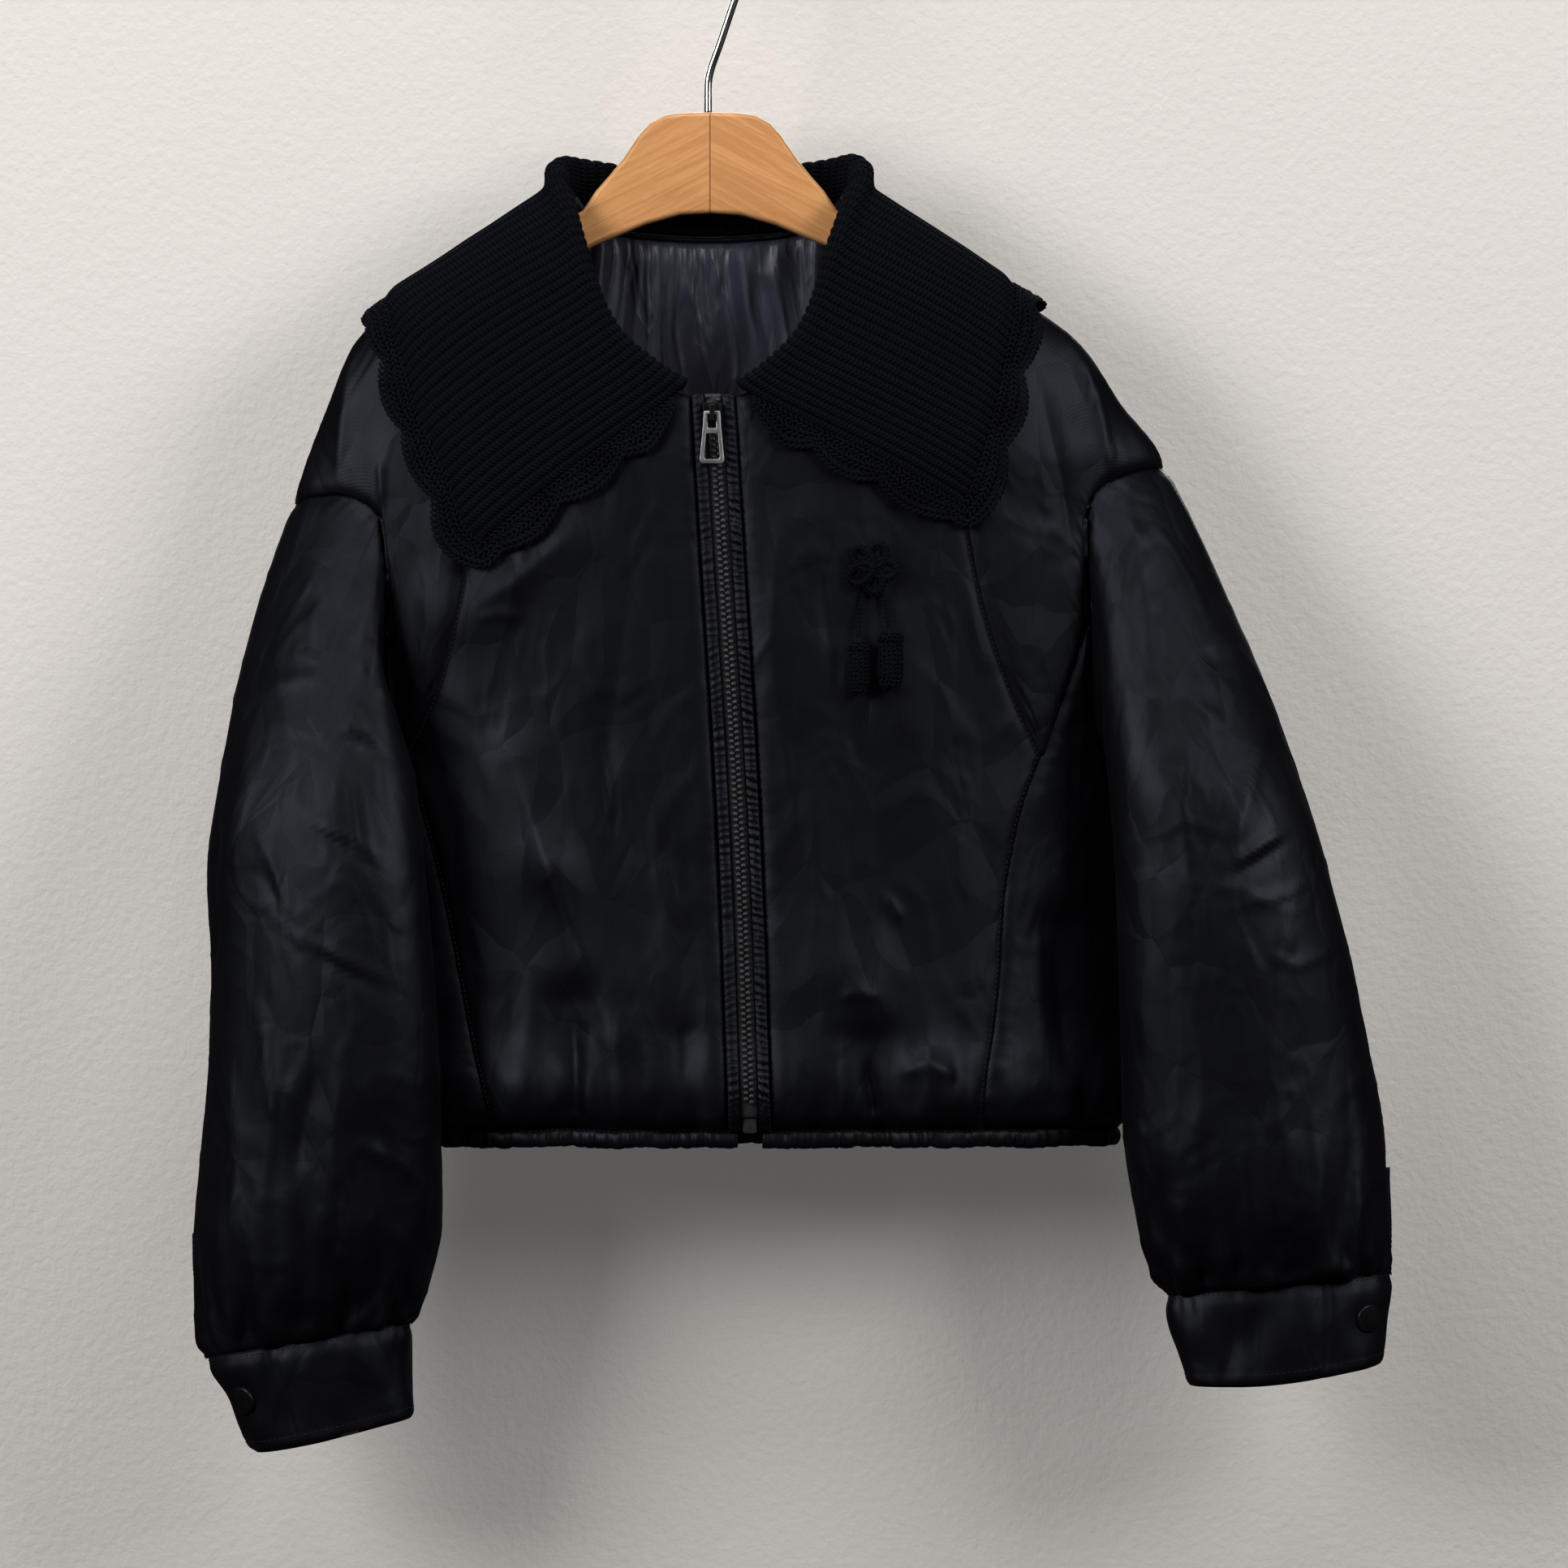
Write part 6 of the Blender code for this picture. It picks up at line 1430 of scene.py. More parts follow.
crochet = yarnMaterial("crochetYarn", (0.0014, 0.0017, 0.0030), (0.0046, 0.0056, 0.0098), Sheen_Weight=0.02,
                       Sheen_Roughness=0.5, Sheen_Tint=(0.5, 0.6, 0.95, 1), Specular_IOR_Level=0.14)
thread = yarnMaterial("blackThread", (0.008, 0.008, 0.011), (0.014, 0.014, 0.018), Specular_IOR_Level=0.5)
tapeCloth = wovenMaterial("zipTapeWeave", (0.022, 0.022, 0.026), (0.032, 0.032, 0.037), (0.5, 0.62),
                          {"size": 60.0, "stretch": 0.3, "depth": 0.0002}, 3600.0, Sheen_Weight=0.12,
                          Sheen_Roughness=0.45, Specular_IOR_Level=0.5)
chainMetal = metalMaterial("darkTeeth", (0.032, 0.032, 0.036), (0.055, 0.055, 0.06), (0.32, 0.46), 0.35)
tabMetal = metalMaterial("greyTab", (0.28, 0.28, 0.275), (0.4, 0.4, 0.39), (0.34, 0.48), 0.85, 2400.0)
darkMetal = metalMaterial("darkSnap", (0.008, 0.008, 0.01), (0.02, 0.02, 0.022), (0.3, 0.42), 0.6)
wire = metalMaterial("platedWire", (0.62, 0.62, 0.61), (0.75, 0.75, 0.74), (0.1, 0.22), 1.0, 700.0)
honeyWood = woodMaterial()


# The crochet border: a lumpy band with rows of chain stitches along it.
def laceLine(spacing):
    def alongRib(row):
        start, end = bodyPoint(row[0], row[1]), bodyPoint(row[2], row[3])
        share = np.linspace(0.03, 1, 17)[:, None]
        spots = start * (1 - share) + end * share
        angle = angleOfPoint(spots)
        angle = angle - fullTurn if row[0] < -math.pi else angle
        line = np.stack([angle, spots[:, 2]], 1)
        line[-1] = row[2:]
        return line

    places = collarPlaces(2)
    line = np.concatenate([alongRib(places[0]), places[1:-1, 2:], alongRib(places[-1])[::-1]])
    return evenPlaces(line, int(runAlong(bodyPoint(line[:, 0], line[:, 1]))[-1] / spacing))


def buildLace():
    line = laceLine(1.3)
    spots, normals = bodyPoint(line[:, 0], line[:, 1]), bodyNormal(line[:, 0], line[:, 1])
    run = runAlong(spots)
    ways = unit(smoothed(unit(np.cross(normals, waysAlong(spots))), 40))
    count = round(run[-1] / lace["pitch"])
    ends = np.minimum(run, run[-1] - run)
    drift = 2.2 * softNoise(np.stack([run, run * 0, run * 0], 1), 60, 4.4)
    arch = np.abs(np.sin(math.pi * count * (run + drift * np.minimum(ends / 40, 1)) / run[-1])) ** 0.8
    width = lace["width"] * (0.56 + 0.56 * arch) * (0.3 + 0.7 * np.minimum(ends / 26, 1))
    low, top = collar["clear"], collar["clear"] + lace["thick"]

    def rowAt(share, lift):
        point = spots + ways * (1.25 + width * share)[:, None]
        return onBody(angleOfPoint(point), point[:, 2], np.full(len(line), lift))

    def groove(share):
        return math.exp(-((share - 0.26) / 0.09) ** 2) + 0.6 * math.exp(-((share - 0.76) / 0.08) ** 2)

    shares = np.linspace(0, 1, 12)
    show = np.array([rowAt(share, top - 1.3 - 0.9 * groove(share)) for share in shares])
    hidden = np.array([rowAt(share, low) for share in shares])
    lump = 0.55 * softNoise(show, (2.6, 2.6, 2.6), 8.0)
    show += unit(show - hidden) * lump[..., None]
    band = plainWall("collar_lace_edge", show, hidden, crochet)
    parts = []
    for share, size, lift in ((0.02, 0.95, 0.3), (0.5, 1.0, 0.4), (1.0, 1.22, 0.1)):
        row = rowAt(share, top - 0.5 + lift)
        at = along3d(row, normals, 3.05)
        wide = np.interp(at[3], np.linspace(0, at[3][-1], len(width)), width) / lace["width"]
        parts.append((at[0], at[1], at[2], size * (0.66 + 0.34 * wide)))
    for share, pitch, size in ((0.26, 4.3, 0.9), (0.76, 3.4, 0.95)):
        cross = along3d(rowAt(share, top - 0.7), normals, pitch)
        wide = np.interp(cross[3], np.linspace(0, cross[3][-1], len(width)), width) / lace["width"]
        parts.append((cross[0], np.cross(cross[1], cross[2]) + 0.35 * cross[1], cross[2],
                      size * (0.5 + 0.5 * wide)))
    spotsAll, alongs, outs, sizes = (np.concatenate([part[i] for part in parts]) for i in range(4))
    stitches = rideOn(growOn("lace_stitches", chainTree, spotsAll, alongs, outs, crochet, sizes))
    print("lace made", len(spotsAll), "stitches, run", round(run[-1]))


# The lining behind the neck, gathered into its binding.
neckLining = {"gathers": 15, "clear": 1.3, "thick": 1.6, "below": 3.2, "drop": 180.0, "depth": 3.2,
              "spread": 0.25}


# The places behind the neck on the back panel's inner face, and the way out from them.
def innerPlace(x, z):
    angle = angleAt(x, z, True)
    seat, under = bodyPoint(angle, z), bodyPoint(angle, z, shell["wall"])
    return under, unit(seat - under)


def buildLining():
    line = pathPoints(seams["backNeck"], 34 * 6)[18:-18]
    drops = np.linspace(0, neckLining["drop"], 44)[:, None]
    x = line[None, :, 0] * (1 + neckLining["spread"] * drops / neckLining["drop"])
    z = line[None, :, 1] - neckLining["below"] - drops
    under, way = innerPlace(x, z)
    share = np.linspace(0, 1, len(line))[None, :] + 0 * drops
    spot = np.stack([share * 160, drops + 0 * share, 0 * share], -1)
    wander = 1.5 * softNoise(spot, (34, 150, 1), 6.1)
    fold = np.abs(np.sin(math.pi * (neckLining["gathers"] * share + wander)))
    strong = np.clip(0.75 + 1.1 * softNoise(spot, (21, 400, 1), 9.4), 0.15, 1.3)
    ripple = neckLining["depth"] * strong * (1 - fold) * np.exp(-drops / 30)
    broad = np.abs(softNoise(spot, (24, 170, 1), 15.1))
    ripple += 13.0 * broad * (1 - np.exp(-drops / 14)) * np.exp(-drops / 170)
    ripple += 2.2 * wrinkleNoise(spot, (17, 60, 1), 2.1, 0.09) * np.exp(-drops / 90)
    ripple *= 1 - bell(drops, 6)
    outer = under - way * neckLining["clear"]
    inner = under - way * (neckLining["clear"] + neckLining["thick"] * (0.3 + 0.7 * np.minimum(drops / 5, 1))
                           + np.maximum(ripple, 0))[..., None]
    made = plainWall("back_lining", outer, inner, lining)
    flatSize(outer)
    edge = pathPoints(seams["backNeck"], 180)[30:-30]
    seat, out = innerPlace(edge[:, 0], edge[:, 1])
    middle = seat - out * 2.2 + np.array([0, 0, -2.0])
    lump = 0.25 * softNoise(middle, (4, 4, 4), 3.0)
    radius = 1.5 + lump
    made = rideOn(tubeMesh("neck_binding", middle, radius, 12, satin), ["neck_binding"])


def tubeGrid(path, radius, sides, flatten):
    ways = waysAlong(path)
    side = unit(np.cross(ways[0], (0, 1, 0) if abs(ways[0][1]) < 0.9 else (1, 0, 0)))
    turn = np.linspace(0, fullTurn, sides, endpoint=False)[:, None]
    rings = []
    for here, way, size in zip(path, ways, radius):
        side = unit(side - way * np.dot(side, way))
        rings.append(here + size * (side * np.cos(turn) + np.cross(way, side) * np.sin(turn) * flatten))
    return np.array(rings)


# A closed tube whose two ends are rounded off.
def tubeMesh(name, path, radius, sides, material, flatten=1.0):
    path = np.asarray(path, float)
    radius = np.full(len(path), radius, float) if np.ndim(radius) == 0 else np.asarray(radius, float)
    cap = np.array([0.02, 0.5, 0.86])
    reach = np.sqrt(1 - cap ** 2)[:, None]
    first, last = unit(path[0] - path[1]), unit(path[-1] - path[-2])
    path = np.concatenate([path[0] + first * (radius[0] * reach), path,
                           (path[-1] + last * (radius[-1] * reach))[::-1]])
    radius = np.concatenate([radius[0] * cap, radius, radius[-1] * cap[::-1]])
    grid = tubeGrid(path, radius, sides, flatten)
    rows, columns = grid.shape[:2]
    index = wrapped(np.arange(rows * columns).reshape(rows, columns))
    around = quads(index)[:, :, [0, 3, 2, 1]].reshape(-1, 4).tolist()
    faces = [*around, index[0, :-1].tolist(), index[-1, :-1][::-1].tolist()]
    place = clothPlaces(wrapped(grid))
    uv = quads(place)[:, :, [0, 3, 2, 1]].reshape(-1, 2)
    uv = np.concatenate([uv, np.repeat(place[:1, 0], columns, 0), np.repeat(place[-1:, 0], columns, 0)])
    made = meshObject(name, grid.reshape(-1, 3), faces, uv, np.zeros(len(faces), int), [material])
    outward(made)
    return made


# The gathered casing under the hem.
casing = {"top": -636.55, "bottom": -646.0, "pitch": 7.4, "rows": 9, "step": 1.15}


def buildCasing():
    gap = zipper["tapeHalf"] + 2
    middle = float(zipAcross(hemHeight))
    start, end = (float(angleAt(middle + way * gap, hemHeight)) for way in (1, -1))
    fine = np.stack([np.linspace(start, end + fullTurn, 1200), np.full(1200, hemHeight)], 1)
    around = runAlong(bodyPoint(fine[:, 0], fine[:, 1]))[-1]
    places = evenPlaces(fine, int(around / casing["step"]))
    seat, under = (bodyPoint(places[:, 0], places[:, 1], sunk) for sunk in (0.0, shell["wall"]))
    way = unit(seat - under)
    run = runAlong(seat)
    spot = np.stack([run, 0 * run, 0 * run], 1)
    phase = run / casing["pitch"] + 0.9 * softNoise(spot, 13, 1.3) + 0.5 * softNoise(spot, 5, 7.3)
    ridge = np.abs(np.sin(math.pi * phase)) ** 0.65
    lower = 1.3 * softNoise(spot, 27, 3.9) + 0.5 * softNoise(spot, 6, 9.9) - 0.8 * (ridge - 0.6)
    upper = hemWobble(seat)
    top = seat - way * 3.0
    top[:, 2] = casing["top"] + upper + 1.6
    show, plain = [top], [top - way * 1.4]
    for share in np.linspace(0, 1, casing["rows"]):
        bend = math.sin(math.pi * min(share * 0.9 + 0.16, 1)) ** 0.5
        out = -1.9 + 1.5 * bend + 1.5 * (ridge - 0.5) * math.sin(math.pi * (0.12 + 0.8 * share))
        line = seat + way * out[:, None]
        foot = casing["bottom"] + 1.4 + np.clip(lower + 0.4 * upper, -1.4, 2.4)
        line[:, 2] = casing["top"] + upper + (foot - casing["top"] - upper) * share
        show.append(line)
        back = seat - way * (4.9 - 0.6 * (1 - bend))
        back[:, 2] = line[:, 2]
        plain.append(back)
    show, plain = np.array(show), np.array(plain)
    made = plainWall("hem_casing", show, plain, satin)
    surfaces["hem_casing"] = (show, facing(gridNormals(show), show, np.array([*bodyCentre, -640.0])))


# The zip: two ruffled welts, a woven tape and moulded teeth.
def zipSpot(z, offset, depth):
    z = np.asarray(z, float) + 0 * np.asarray(offset, float)
    angle = angleAt(zipAcross(z) + offset, z)
    seat, under = bodyPoint(angle, z), bodyPoint(angle, z, shell["wall"])
    return seat + unit(under - seat) * np.asarray(depth + 0 * z, float)[..., None]


def buildWelt(side):
    z = np.linspace(zipper["top"], hemHeight, 340)[:, None]
    across = np.linspace(0, 1, 15)[None, :]
    offset = side * (zipper["tapeHalf"] + 0.3 + across * (zipper["weltHalf"] - zipper["tapeHalf"] - 0.3))
    spot = np.stack([z + 0 * across, across * 9 + 0 * z, 0 * z * across], -1)
    phase = z / 3.7 + 1.1 * softNoise(spot, (13, 30, 1), 2.0 + side) + 0.35 * across
    pucker = np.abs(np.sin(math.pi * phase)) ** 0.8 - 0.5
    calm = 0.55 + 0.9 * np.clip(softNoise(spot, (34, 90, 1), 5.0 + side) + 0.4, 0, 1)
    lift = 0.95 * np.sin(math.pi * (0.08 + 0.84 * across)) - 0.6 * (1 - across) - 0.5 * across ** 6
    lift = lift + zipper["ruffle"][side] * calm * pucker * np.sin(math.pi * (0.15 + 0.7 * across)) * 1.35
    outer = zipSpot(z, offset, -lift)
    inner = zipSpot(z, offset, np.full(offset.shape, shell["wall"] - 0.3))
    name = f"zip_welt_{sideName[side]}"
    made = plainWall(name, outer, inner, satin)
    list(flatSize(outer, 1.35))
    surfaces[name] = (outer, facing(gridNormals(outer), outer, np.array([*bodyCentre, -440.0])))


def buildTape():
    z = np.linspace(zipper["top"], zipper["foot"], 300)[:, None]
    across = np.linspace(-1, 1, 17)[None, :]
    sag = 0.2 * softNoise(np.stack([z + 0 * across, 8 * across + 0 * z, 0 * z * across], -1), (9, 4, 1), 1.0)
    outer = zipSpot(z, across * zipper["tapeHalf"], 2.35 + 0.5 * np.abs(across) ** 8 + sag)
    inner = zipSpot(z, across * zipper["tapeHalf"], 4.2 + 0 * across)
    made = plainWall("zip_tape", outer, inner, tapeCloth)
    spots, outs, alongs = [], [], []
    for side in (-1, 1):
        first = zipper["top"] - 1.5 - (1 + side) * zipper["pitch"] / 4
        heights = np.arange(first, zipper["foot"] + 7, -zipper["pitch"])
        part = np.clip((heights - zipper["slider"] - 1) / 9, 0, 1)
        offset = side * (zipper["toothOut"] + 1.6 * part ** 1.5)
        spots.append(zipSpot(heights, offset, np.full(len(heights), 1.55)))
        alongs.append(zipSpot(heights - 1, offset, np.full(len(heights), 1.5)) - spots[-1])
        outs.append(zipSpot(heights, offset, np.full(len(heights), -1.0)) - spots[-1])
    spots, alongs, outs = (np.concatenate(part) for part in (spots, alongs, outs))
    teeth = rideOn(growOn("zip_teeth", toothTree, spots, alongs, outs, chainMetal))
    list(flatSize(outer))
    print("zip made", len(spots), "teeth")


# A bevelled copy of a hard CAD piece.
def polished(name, width, material, body="jacket"):
    source = frame["nodes"][name]
    mesh = source.data.copy()
    mesh.name = name
    made = linked(f"{name}_fine", mesh)
    merge = bmesh.new()
    merge.from_mesh(mesh)
    bmesh.ops.remove_doubles(merge, verts=merge.verts, dist=1e-6)
    bmesh.ops.dissolve_limit(merge, angle_limit=math.radians(1.0), verts=merge.verts, edges=merge.edges)
    bmesh.ops.recalc_face_normals(merge, faces=merge.faces)
    merge.to_mesh(mesh)
    merge.free()
    mesh.materials.clear()
    mesh.materials.append(material)
    mesh.polygons.foreach_set("material_index", np.zeros(len(mesh.polygons), int))
    mesh.polygons.foreach_set("use_smooth", np.ones(len(mesh.polygons), bool))
    bevel = made.modifiers.new("edge", "BEVEL")
    bevel.width, bevel.segments, bevel.limit_method, bevel.angle_limit = width, 3, "ANGLE", math.radians(28)
    bevel.harden_normals = True
    return rideOn(made, [name], body)


# A cap with a rounded edge on the cuff's surface.
def buildSnap(side):
    name = f"snap_{sideName[side]}"
    low, high = (np.array(corner) * 1000 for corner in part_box(name))
    middle = (low + high) / 2
    grid, ways = surfaces[f"cuff_{sideName[side]}"]
    away = np.hypot(grid[..., 0] - middle[0], grid[..., 2] - middle[2]) + 50 * (ways[..., 1] > 0)
    nearest = np.unravel_index(np.argmin(away), away.shape)
    out = unit(smoothed(ways, 3)[nearest])
    aside = unit(np.cross(out, (0, 0, 1)))
    up = np.cross(aside, out)
    seat = middle - out * 0.95
    profile = ((0.02, 1.75), (3.0, 1.73), (5.6, 1.62), (6.2, 1.4), (6.5, 1.5), (7.1, 1.35), (7.5, 0.8),
               (7.5, 0.0), (7.4, -1.2), (0.02, -1.2))
    turn = np.linspace(0, fullTurn, 40, endpoint=False)[:, None]
    rings = np.array([seat + out * h + r * (aside * np.cos(turn) + up * np.sin(turn)) for r, h in profile])
    rows, columns = rings.shape[:2]
    index = wrapped(np.arange(rows * columns).reshape(rows, columns))
    sides = quads(index).reshape(-1, 4).tolist()
    faces = [*sides, index[0, :-1].tolist(), index[-1, :-1][::-1].tolist()]
    kinds = np.zeros(len(faces), int)
    made = meshObject(f"{name}_cap", rings.reshape(-1, 3), faces, None, kinds, [darkMetal])
    outward(made)
    rideOn(made, [name])


# The hanger's wire hook and its wood.
hook = {"radius": 19.0, "wire": 4.0, "lean": 18.5, "wood": -95.0}


def buildHanger():
    bend = hook["wood"] + 18
    centre = -hook["radius"] + hook["wire"] / 2
    lean = math.radians(hook["lean"])
    straight = (bend - centre) * -math.cos(lean)
    way = np.array([math.sin(lean), 0, math.cos(lean)])
    route = [(0, 0, hook["wood"] + 0.4), (0, 0, hook["wood"] + 9), (0, 0, bend - 2)]
    lengths = (2.0, straight * 0.35, straight * 0.7)
    route += [tuple(np.array([0, 0, bend]) + way * length) for length in lengths]
    route += [(hook["radius"] * math.cos(t), 0, centre + hook["radius"] * math.sin(t))
              for t in np.radians(np.arange(-18, 199, 9))]
    path = smoothed(pathPoints(np.array(route), 150), 8)
    made = tubeMesh("hanger_hook_wire", path, hook["wire"] / 2, 20, wire)
    rideOn(made, ["hanger_hook"])
    polished("hanger_wood", 0.0009, honeyWood)


# The crochet charm: a five-lobed bow, two braided cords and two pods.
charm = {"bow": (86.4, -338.0), "pods": ((79.3, -391.0), (96.1, -387.0)), "lobes": 5, "lobeTurn": -6.9,
         "lobeLong": 12.6, "lobeWide": 4.6, "halfHigh": (13.6, 14.6), "halfWide": (5.9, 7.0), "depth": 5.6}


def frontSeat(x, z, out):
    x, z = np.broadcast_arrays(np.asarray(x, float), np.asarray(z, float))
    return onBody(angleAt(x, z), z, np.full(x.shape, float(out)))


def lumpy(name, path, radius, sides, flatten, seed, size=1.9, height=0.5):
    made = tubeMesh(name, path, radius, sides, crochet, flatten)
    points, normals = np.zeros((2, len(made.data.vertices) * 3))
    made.data.vertices.foreach_get("co", points)
    made.data.vertices.foreach_get("normal", normals)
    points, normals = points.reshape(-1, 3) * 1000, normals.reshape(-1, 3)
    points += normals * (height * softNoise(points, size, seed))[:, None]
    made.data.vertices.foreach_set("co", (points * 0.001).ravel())
    return made


def joined(name, pieces):
    whole = bmesh.new()
    for piece in pieces:
        whole.from_mesh(piece.data)
    mesh = bpy.data.meshes.new(name)
    whole.to_mesh(mesh)
    whole.free()
    mesh.materials.append(crochet)
    for piece in pieces:
        bpy.data.objects.remove(piece)
    return linked(name, mesh)


def buildCharm():
    x0, z0 = charm["bow"]
    seat = frontSeat(x0, z0, 0.0)
    reach = (-13, 0, 13)
    seat[1] = min(frontSeat(x0 + x, z0 + z, 0.0)[1] for x in reach for z in reach) - 0.4
    forward = np.array([0, -1.0, 0])
    bases, rows = [], []
    for lobe in range(charm["lobes"]):
        turn = math.radians(charm["lobeTurn"] + 360 * lobe / charm["lobes"])
        out = np.array([math.cos(turn), 0, math.sin(turn)])
        side = np.array([-math.sin(turn), 0, math.cos(turn)])
        t = np.linspace(0.06, 1.94, 34)[:, None] * math.pi
        reachOut = charm["lobeLong"] * (0.53 - 0.53 * np.cos(t))
        loop = (seat + out * reachOut + side * charm["lobeWide"] * np.sin(t)
                + forward * (2.3 + 0.7 * np.cos(t) + 0.5 * lobe % 2))
        bases.append(lumpy(f"lobe{lobe}", loop, 1.9, 12, 1.0, 3.0 + lobe))
        for lean in (-0.62, 0.62):
            ahead = unit(np.gradient(loop, axis=0))
            across = unit(np.cross(ahead, forward))
            ways = unit(forward + across * lean)
            rows.append(along3d(loop + ways * 1.7, ways + 0 * loop, 2.3))
        fill = [seat + out * s + forward * (1.9 if s > 3 else 2.2) for s in (1.0, 4.0, 7.5, 10.0)]
        bases.append(lumpy(f"fill{lobe}", fill, [2.0, 2.6, 2.8, 1.8], 10, 0.7, 5.0 + lobe))
    knot = [seat + forward * d for d in (1.2, 3.0, 4.6, 5.6)]
    bases.append(lumpy("knot", knot, [4.2, 4.3, 3.4, 1.4], 16, 1.0, 8.0))
    for ring, high in ((3.3, 4.9), (1.3, 5.9)):
        turn = np.linspace(0, fullTurn, 24)[:-1, None]
        circle = seat + forward * high + ring * np.hstack([np.cos(turn), 0 * turn, np.sin(turn)])
        rows.append(along3d(circle, np.repeat(forward[None], len(circle), 0), 2.3, True))
    finishCharm("charm_bow", bases, rows)

    for number, (x, z) in enumerate(charm["pods"], 1):
        high, wide, depth = charm["halfHigh"][number - 1], charm["halfWide"][number - 1], charm["depth"]
        middle = frontSeat(x, z, depth + 0.6)
        share = np.linspace(1, -1, 30)
        body = np.interp(-share, (-1, -0.88, -0.72, -0.62, -0.52, 0.0, 0.5, 0.86, 1.0),
                         (0.5, 0.96, 1.0, 0.72, 0.9, 0.97, 1.0, 0.82, 0.3))
        path = middle + np.array([[0, 0, high * 0.98 * s] for s in share])
        radius = (wide - 0.9) * body
        base = [lumpy(f"pod{number}", path, radius, 20, (depth - 0.9) / (wide - 0.9), 2.0 * number)]
        rows = []
        for level_ in (0.93, 0.8, 0.5, 0.33, 0.16, -0.01, -0.18, -0.35, -0.52, -0.69, -0.84, -0.95):
            size = float(np.interp(level_, share[::-1], radius[::-1])) + 0.35
            turn = np.linspace(0, fullTurn, 40)[:-1, None]
            way = np.concatenate([np.cos(turn), -np.sin(turn) * depth / wide, 0 * turn], 1)
            wave = 0.35 * np.sin(5 * turn + 9 * level_)
            ring = middle + way * size + np.concatenate([0 * turn, 0 * turn, high * 0.98 * level_ + wave], 1)
            rows.append(along3d(ring, way, 2.5, True))
        finishCharm(f"charm_pod_{number}", base, rows, 0.78)
        start = np.array([x0 + (-4.0, 5.5)[number - 1], 0, z0 - 13.6])
        end = np.array([x, 0, z + high + 0.6])
        t = np.linspace(0, 1, 30)
        route = start * (1 - t[:, None]) + end * t[:, None]
        route[:, 0] += (-0.6, 0.5)[number - 1] * np.sin(math.pi * t)
        route = frontSeat(route[:, 0], route[:, 2], 0.0) + forward * (1.7 + 2.4 * t[:, None])
        cord = [lumpy(f"cord{number}", route, 0.85, 10, 1.0, 4.0 * number, 1.2, 0.2)]
        chain = along3d(route + forward * 0.45, np.repeat(forward[None], len(route), 0), 2.3)
        finishCharm(f"charm_cord_{number}", cord, [chain], 0.62)


def finishCharm(name, bases, rows, size=0.66):
    spots, alongs, outs = (np.concatenate([row[i] for row in rows]) for i in range(3))
    base = joined(name, bases)
    base.data.polygons.foreach_set("use_smooth", np.ones(len(base.data.polygons), bool))
    rideOn(base, [name])
    rideOn(growOn(f"{name}_stitches", chainTree, spots, alongs, outs, crochet,
                  np.full(len(spots), size)))


# A row of thread along each sewn line, set in from an edge of the named surfaces.
def buildStitching():
    sides = ("right", "left")
    for name, surface, edges, rise in (
        ("fronts", "front_{}", (("last", 2.3),), 0.15),
        ("welts", "zip_welt_{}", (("last", 0.9),), 0.15),
        ("sides", "side_front_{}", (("top", 2.3),), 0.15),
        ("cuffs", "cuff_{}", (("top", 2.4), ("bottom", 6.2)), 0.1),
        ("plackets", "sleeve_placket_{}", (("first", 1.6), ("last", 1.6)), 0.1),
    ):
        lines = [lineOn(surface.format(side), edge, inset, rise) for side in sides for edge, inset in edges]
        threadLines(f"stitches_{name}", lines, closed=name == "cuffs")
    threadLines("stitches_casing", [lineOn("hem_casing", "top", 1.5, 0.12)])


buildLace()
buildLining()
buildCasing()
for side in (-1, 1):
    buildWelt(side)
    buildSnap(side)
buildTape()
polished("zip_slider", 0.0004, darkMetal)
polished("zip_pull_tab", 0.00042, tabMetal, "pull_tab")
polished("zip_bottom_box", 0.0005, chainMetal)
buildHanger()
buildCharm()
buildStitching()
print("trim made")


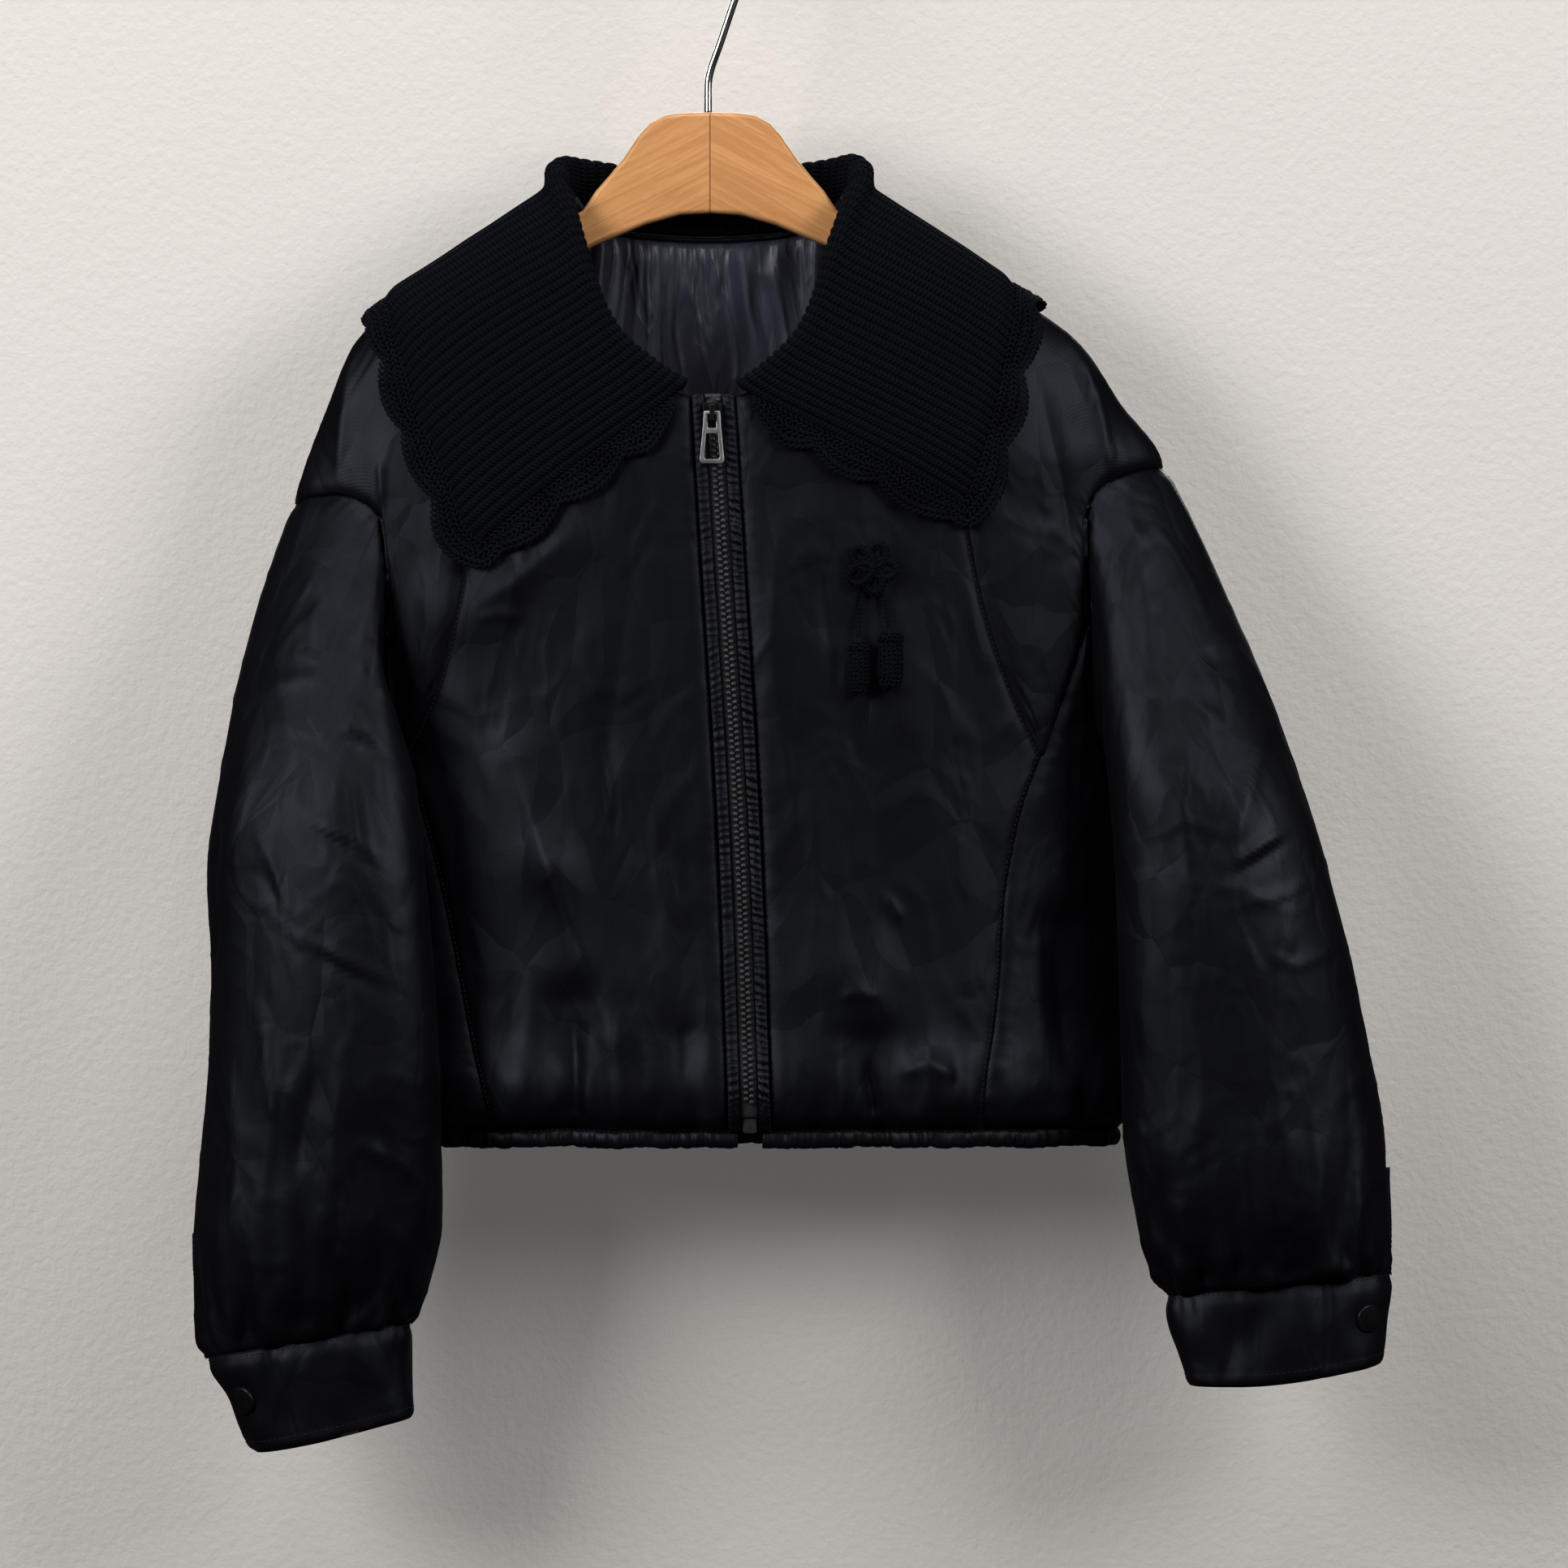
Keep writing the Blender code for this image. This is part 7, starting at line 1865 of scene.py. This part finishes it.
# The wall behind, the floor and the lights.
def buildStudio():
    pale, tree, shader = newMaterial("paleWall", Base_Color=(0.54, 0.515, 0.49, 1), Roughness=0.9,
                                     Emission_Color=(1, 0.965, 0.93, 1), Emission_Strength=0.14)
    clear = addNode(tree, "ShaderNodeBsdfTransparent")
    path = addNode(tree, "ShaderNodeLightPath").outputs["Is Camera Ray"]
    back = addNode(tree, "ShaderNodeNewGeometry").outputs["Backfacing"]
    shown = maths(tree, "MULTIPLY", path, maths(tree, "SUBTRACT", 1.0, back))
    mix = addNode(tree, "ShaderNodeMixShader", {0: shown, 1: clear.outputs[0], 2: shader.outputs[0]})
    tree.links.new(mix.outputs[0], tree.nodes["Material Output"].inputs["Surface"])
    grain = addNode(tree, "ShaderNodeTexNoise", {"Scale": 260.0, "Detail": 3.0})
    tree.links.new(addNode(tree, "ShaderNodeTexCoord").outputs["Object"], grain.inputs["Vector"])
    bumps(tree, shader, (grain.outputs["Fac"], 0.0012, 0.5))
    ground, behind = -1.02, 0.075
    for name, corners in (
        ("wall", ((-6, behind, ground), (6, behind, ground), (6, behind, 4.5), (-6, behind, 4.5))),
        ("floor", ((-15, -15, ground), (15, -15, ground), (15, 15, ground), (-15, 15, ground))),
    ):
        mesh = bpy.data.meshes.new(name)
        mesh.from_pydata(corners, [], [(0, 1, 2, 3)])
        mesh.materials.append(pale)
        linked(name, mesh)
    bpy.context.scene.view_settings.view_transform = "Standard"
    bpy.context.scene.view_settings.gamma = 0.82
    world = bpy.data.worlds.new("studio")
    world.use_nodes = True
    air = world.node_tree
    seen = addNode(air, "ShaderNodeLightPath").outputs["Is Camera Ray"]
    air.links.new(maths(air, "MULTIPLY_ADD", seen, 0.5, 0.055), air.nodes["Background"].inputs["Strength"])
    air.nodes["Background"].inputs["Color"].default_value = (0.94, 0.92, 0.90, 1)
    bpy.context.scene.world = world
    for name, place, aim, size, power in (
        ("left", (-1.7, -1.7, 0.35), (0, 0, -0.5), 1.1, 47),
        ("right", (1.7, -1.5, 0.5), (0.05, 0, -0.5), 1.0, 33),
        ("top", (-0.1, -1.0, 1.7), (0, 0, -0.4), 1.3, 31),
        ("behind", (0.1, 2.5, 0.9), (0, 0, -0.4), 1.8, 80),
    ):
        light = bpy.data.lights.new(name, "AREA")
        light.size, light.energy = size, power
        lamp = linked(name, light)
        lamp.location = place
        lamp.visible_camera = False
        lamp.rotation_euler = (Vector(aim) - Vector(place)).to_track_quat("-Z", "Y").to_euler()


buildStudio()
triangles = sum(len(p.vertices) - 2 for o in bpy.data.objects if o.type == "MESH" for p in o.data.polygons)
print("studio made,", triangles, "triangles in all")
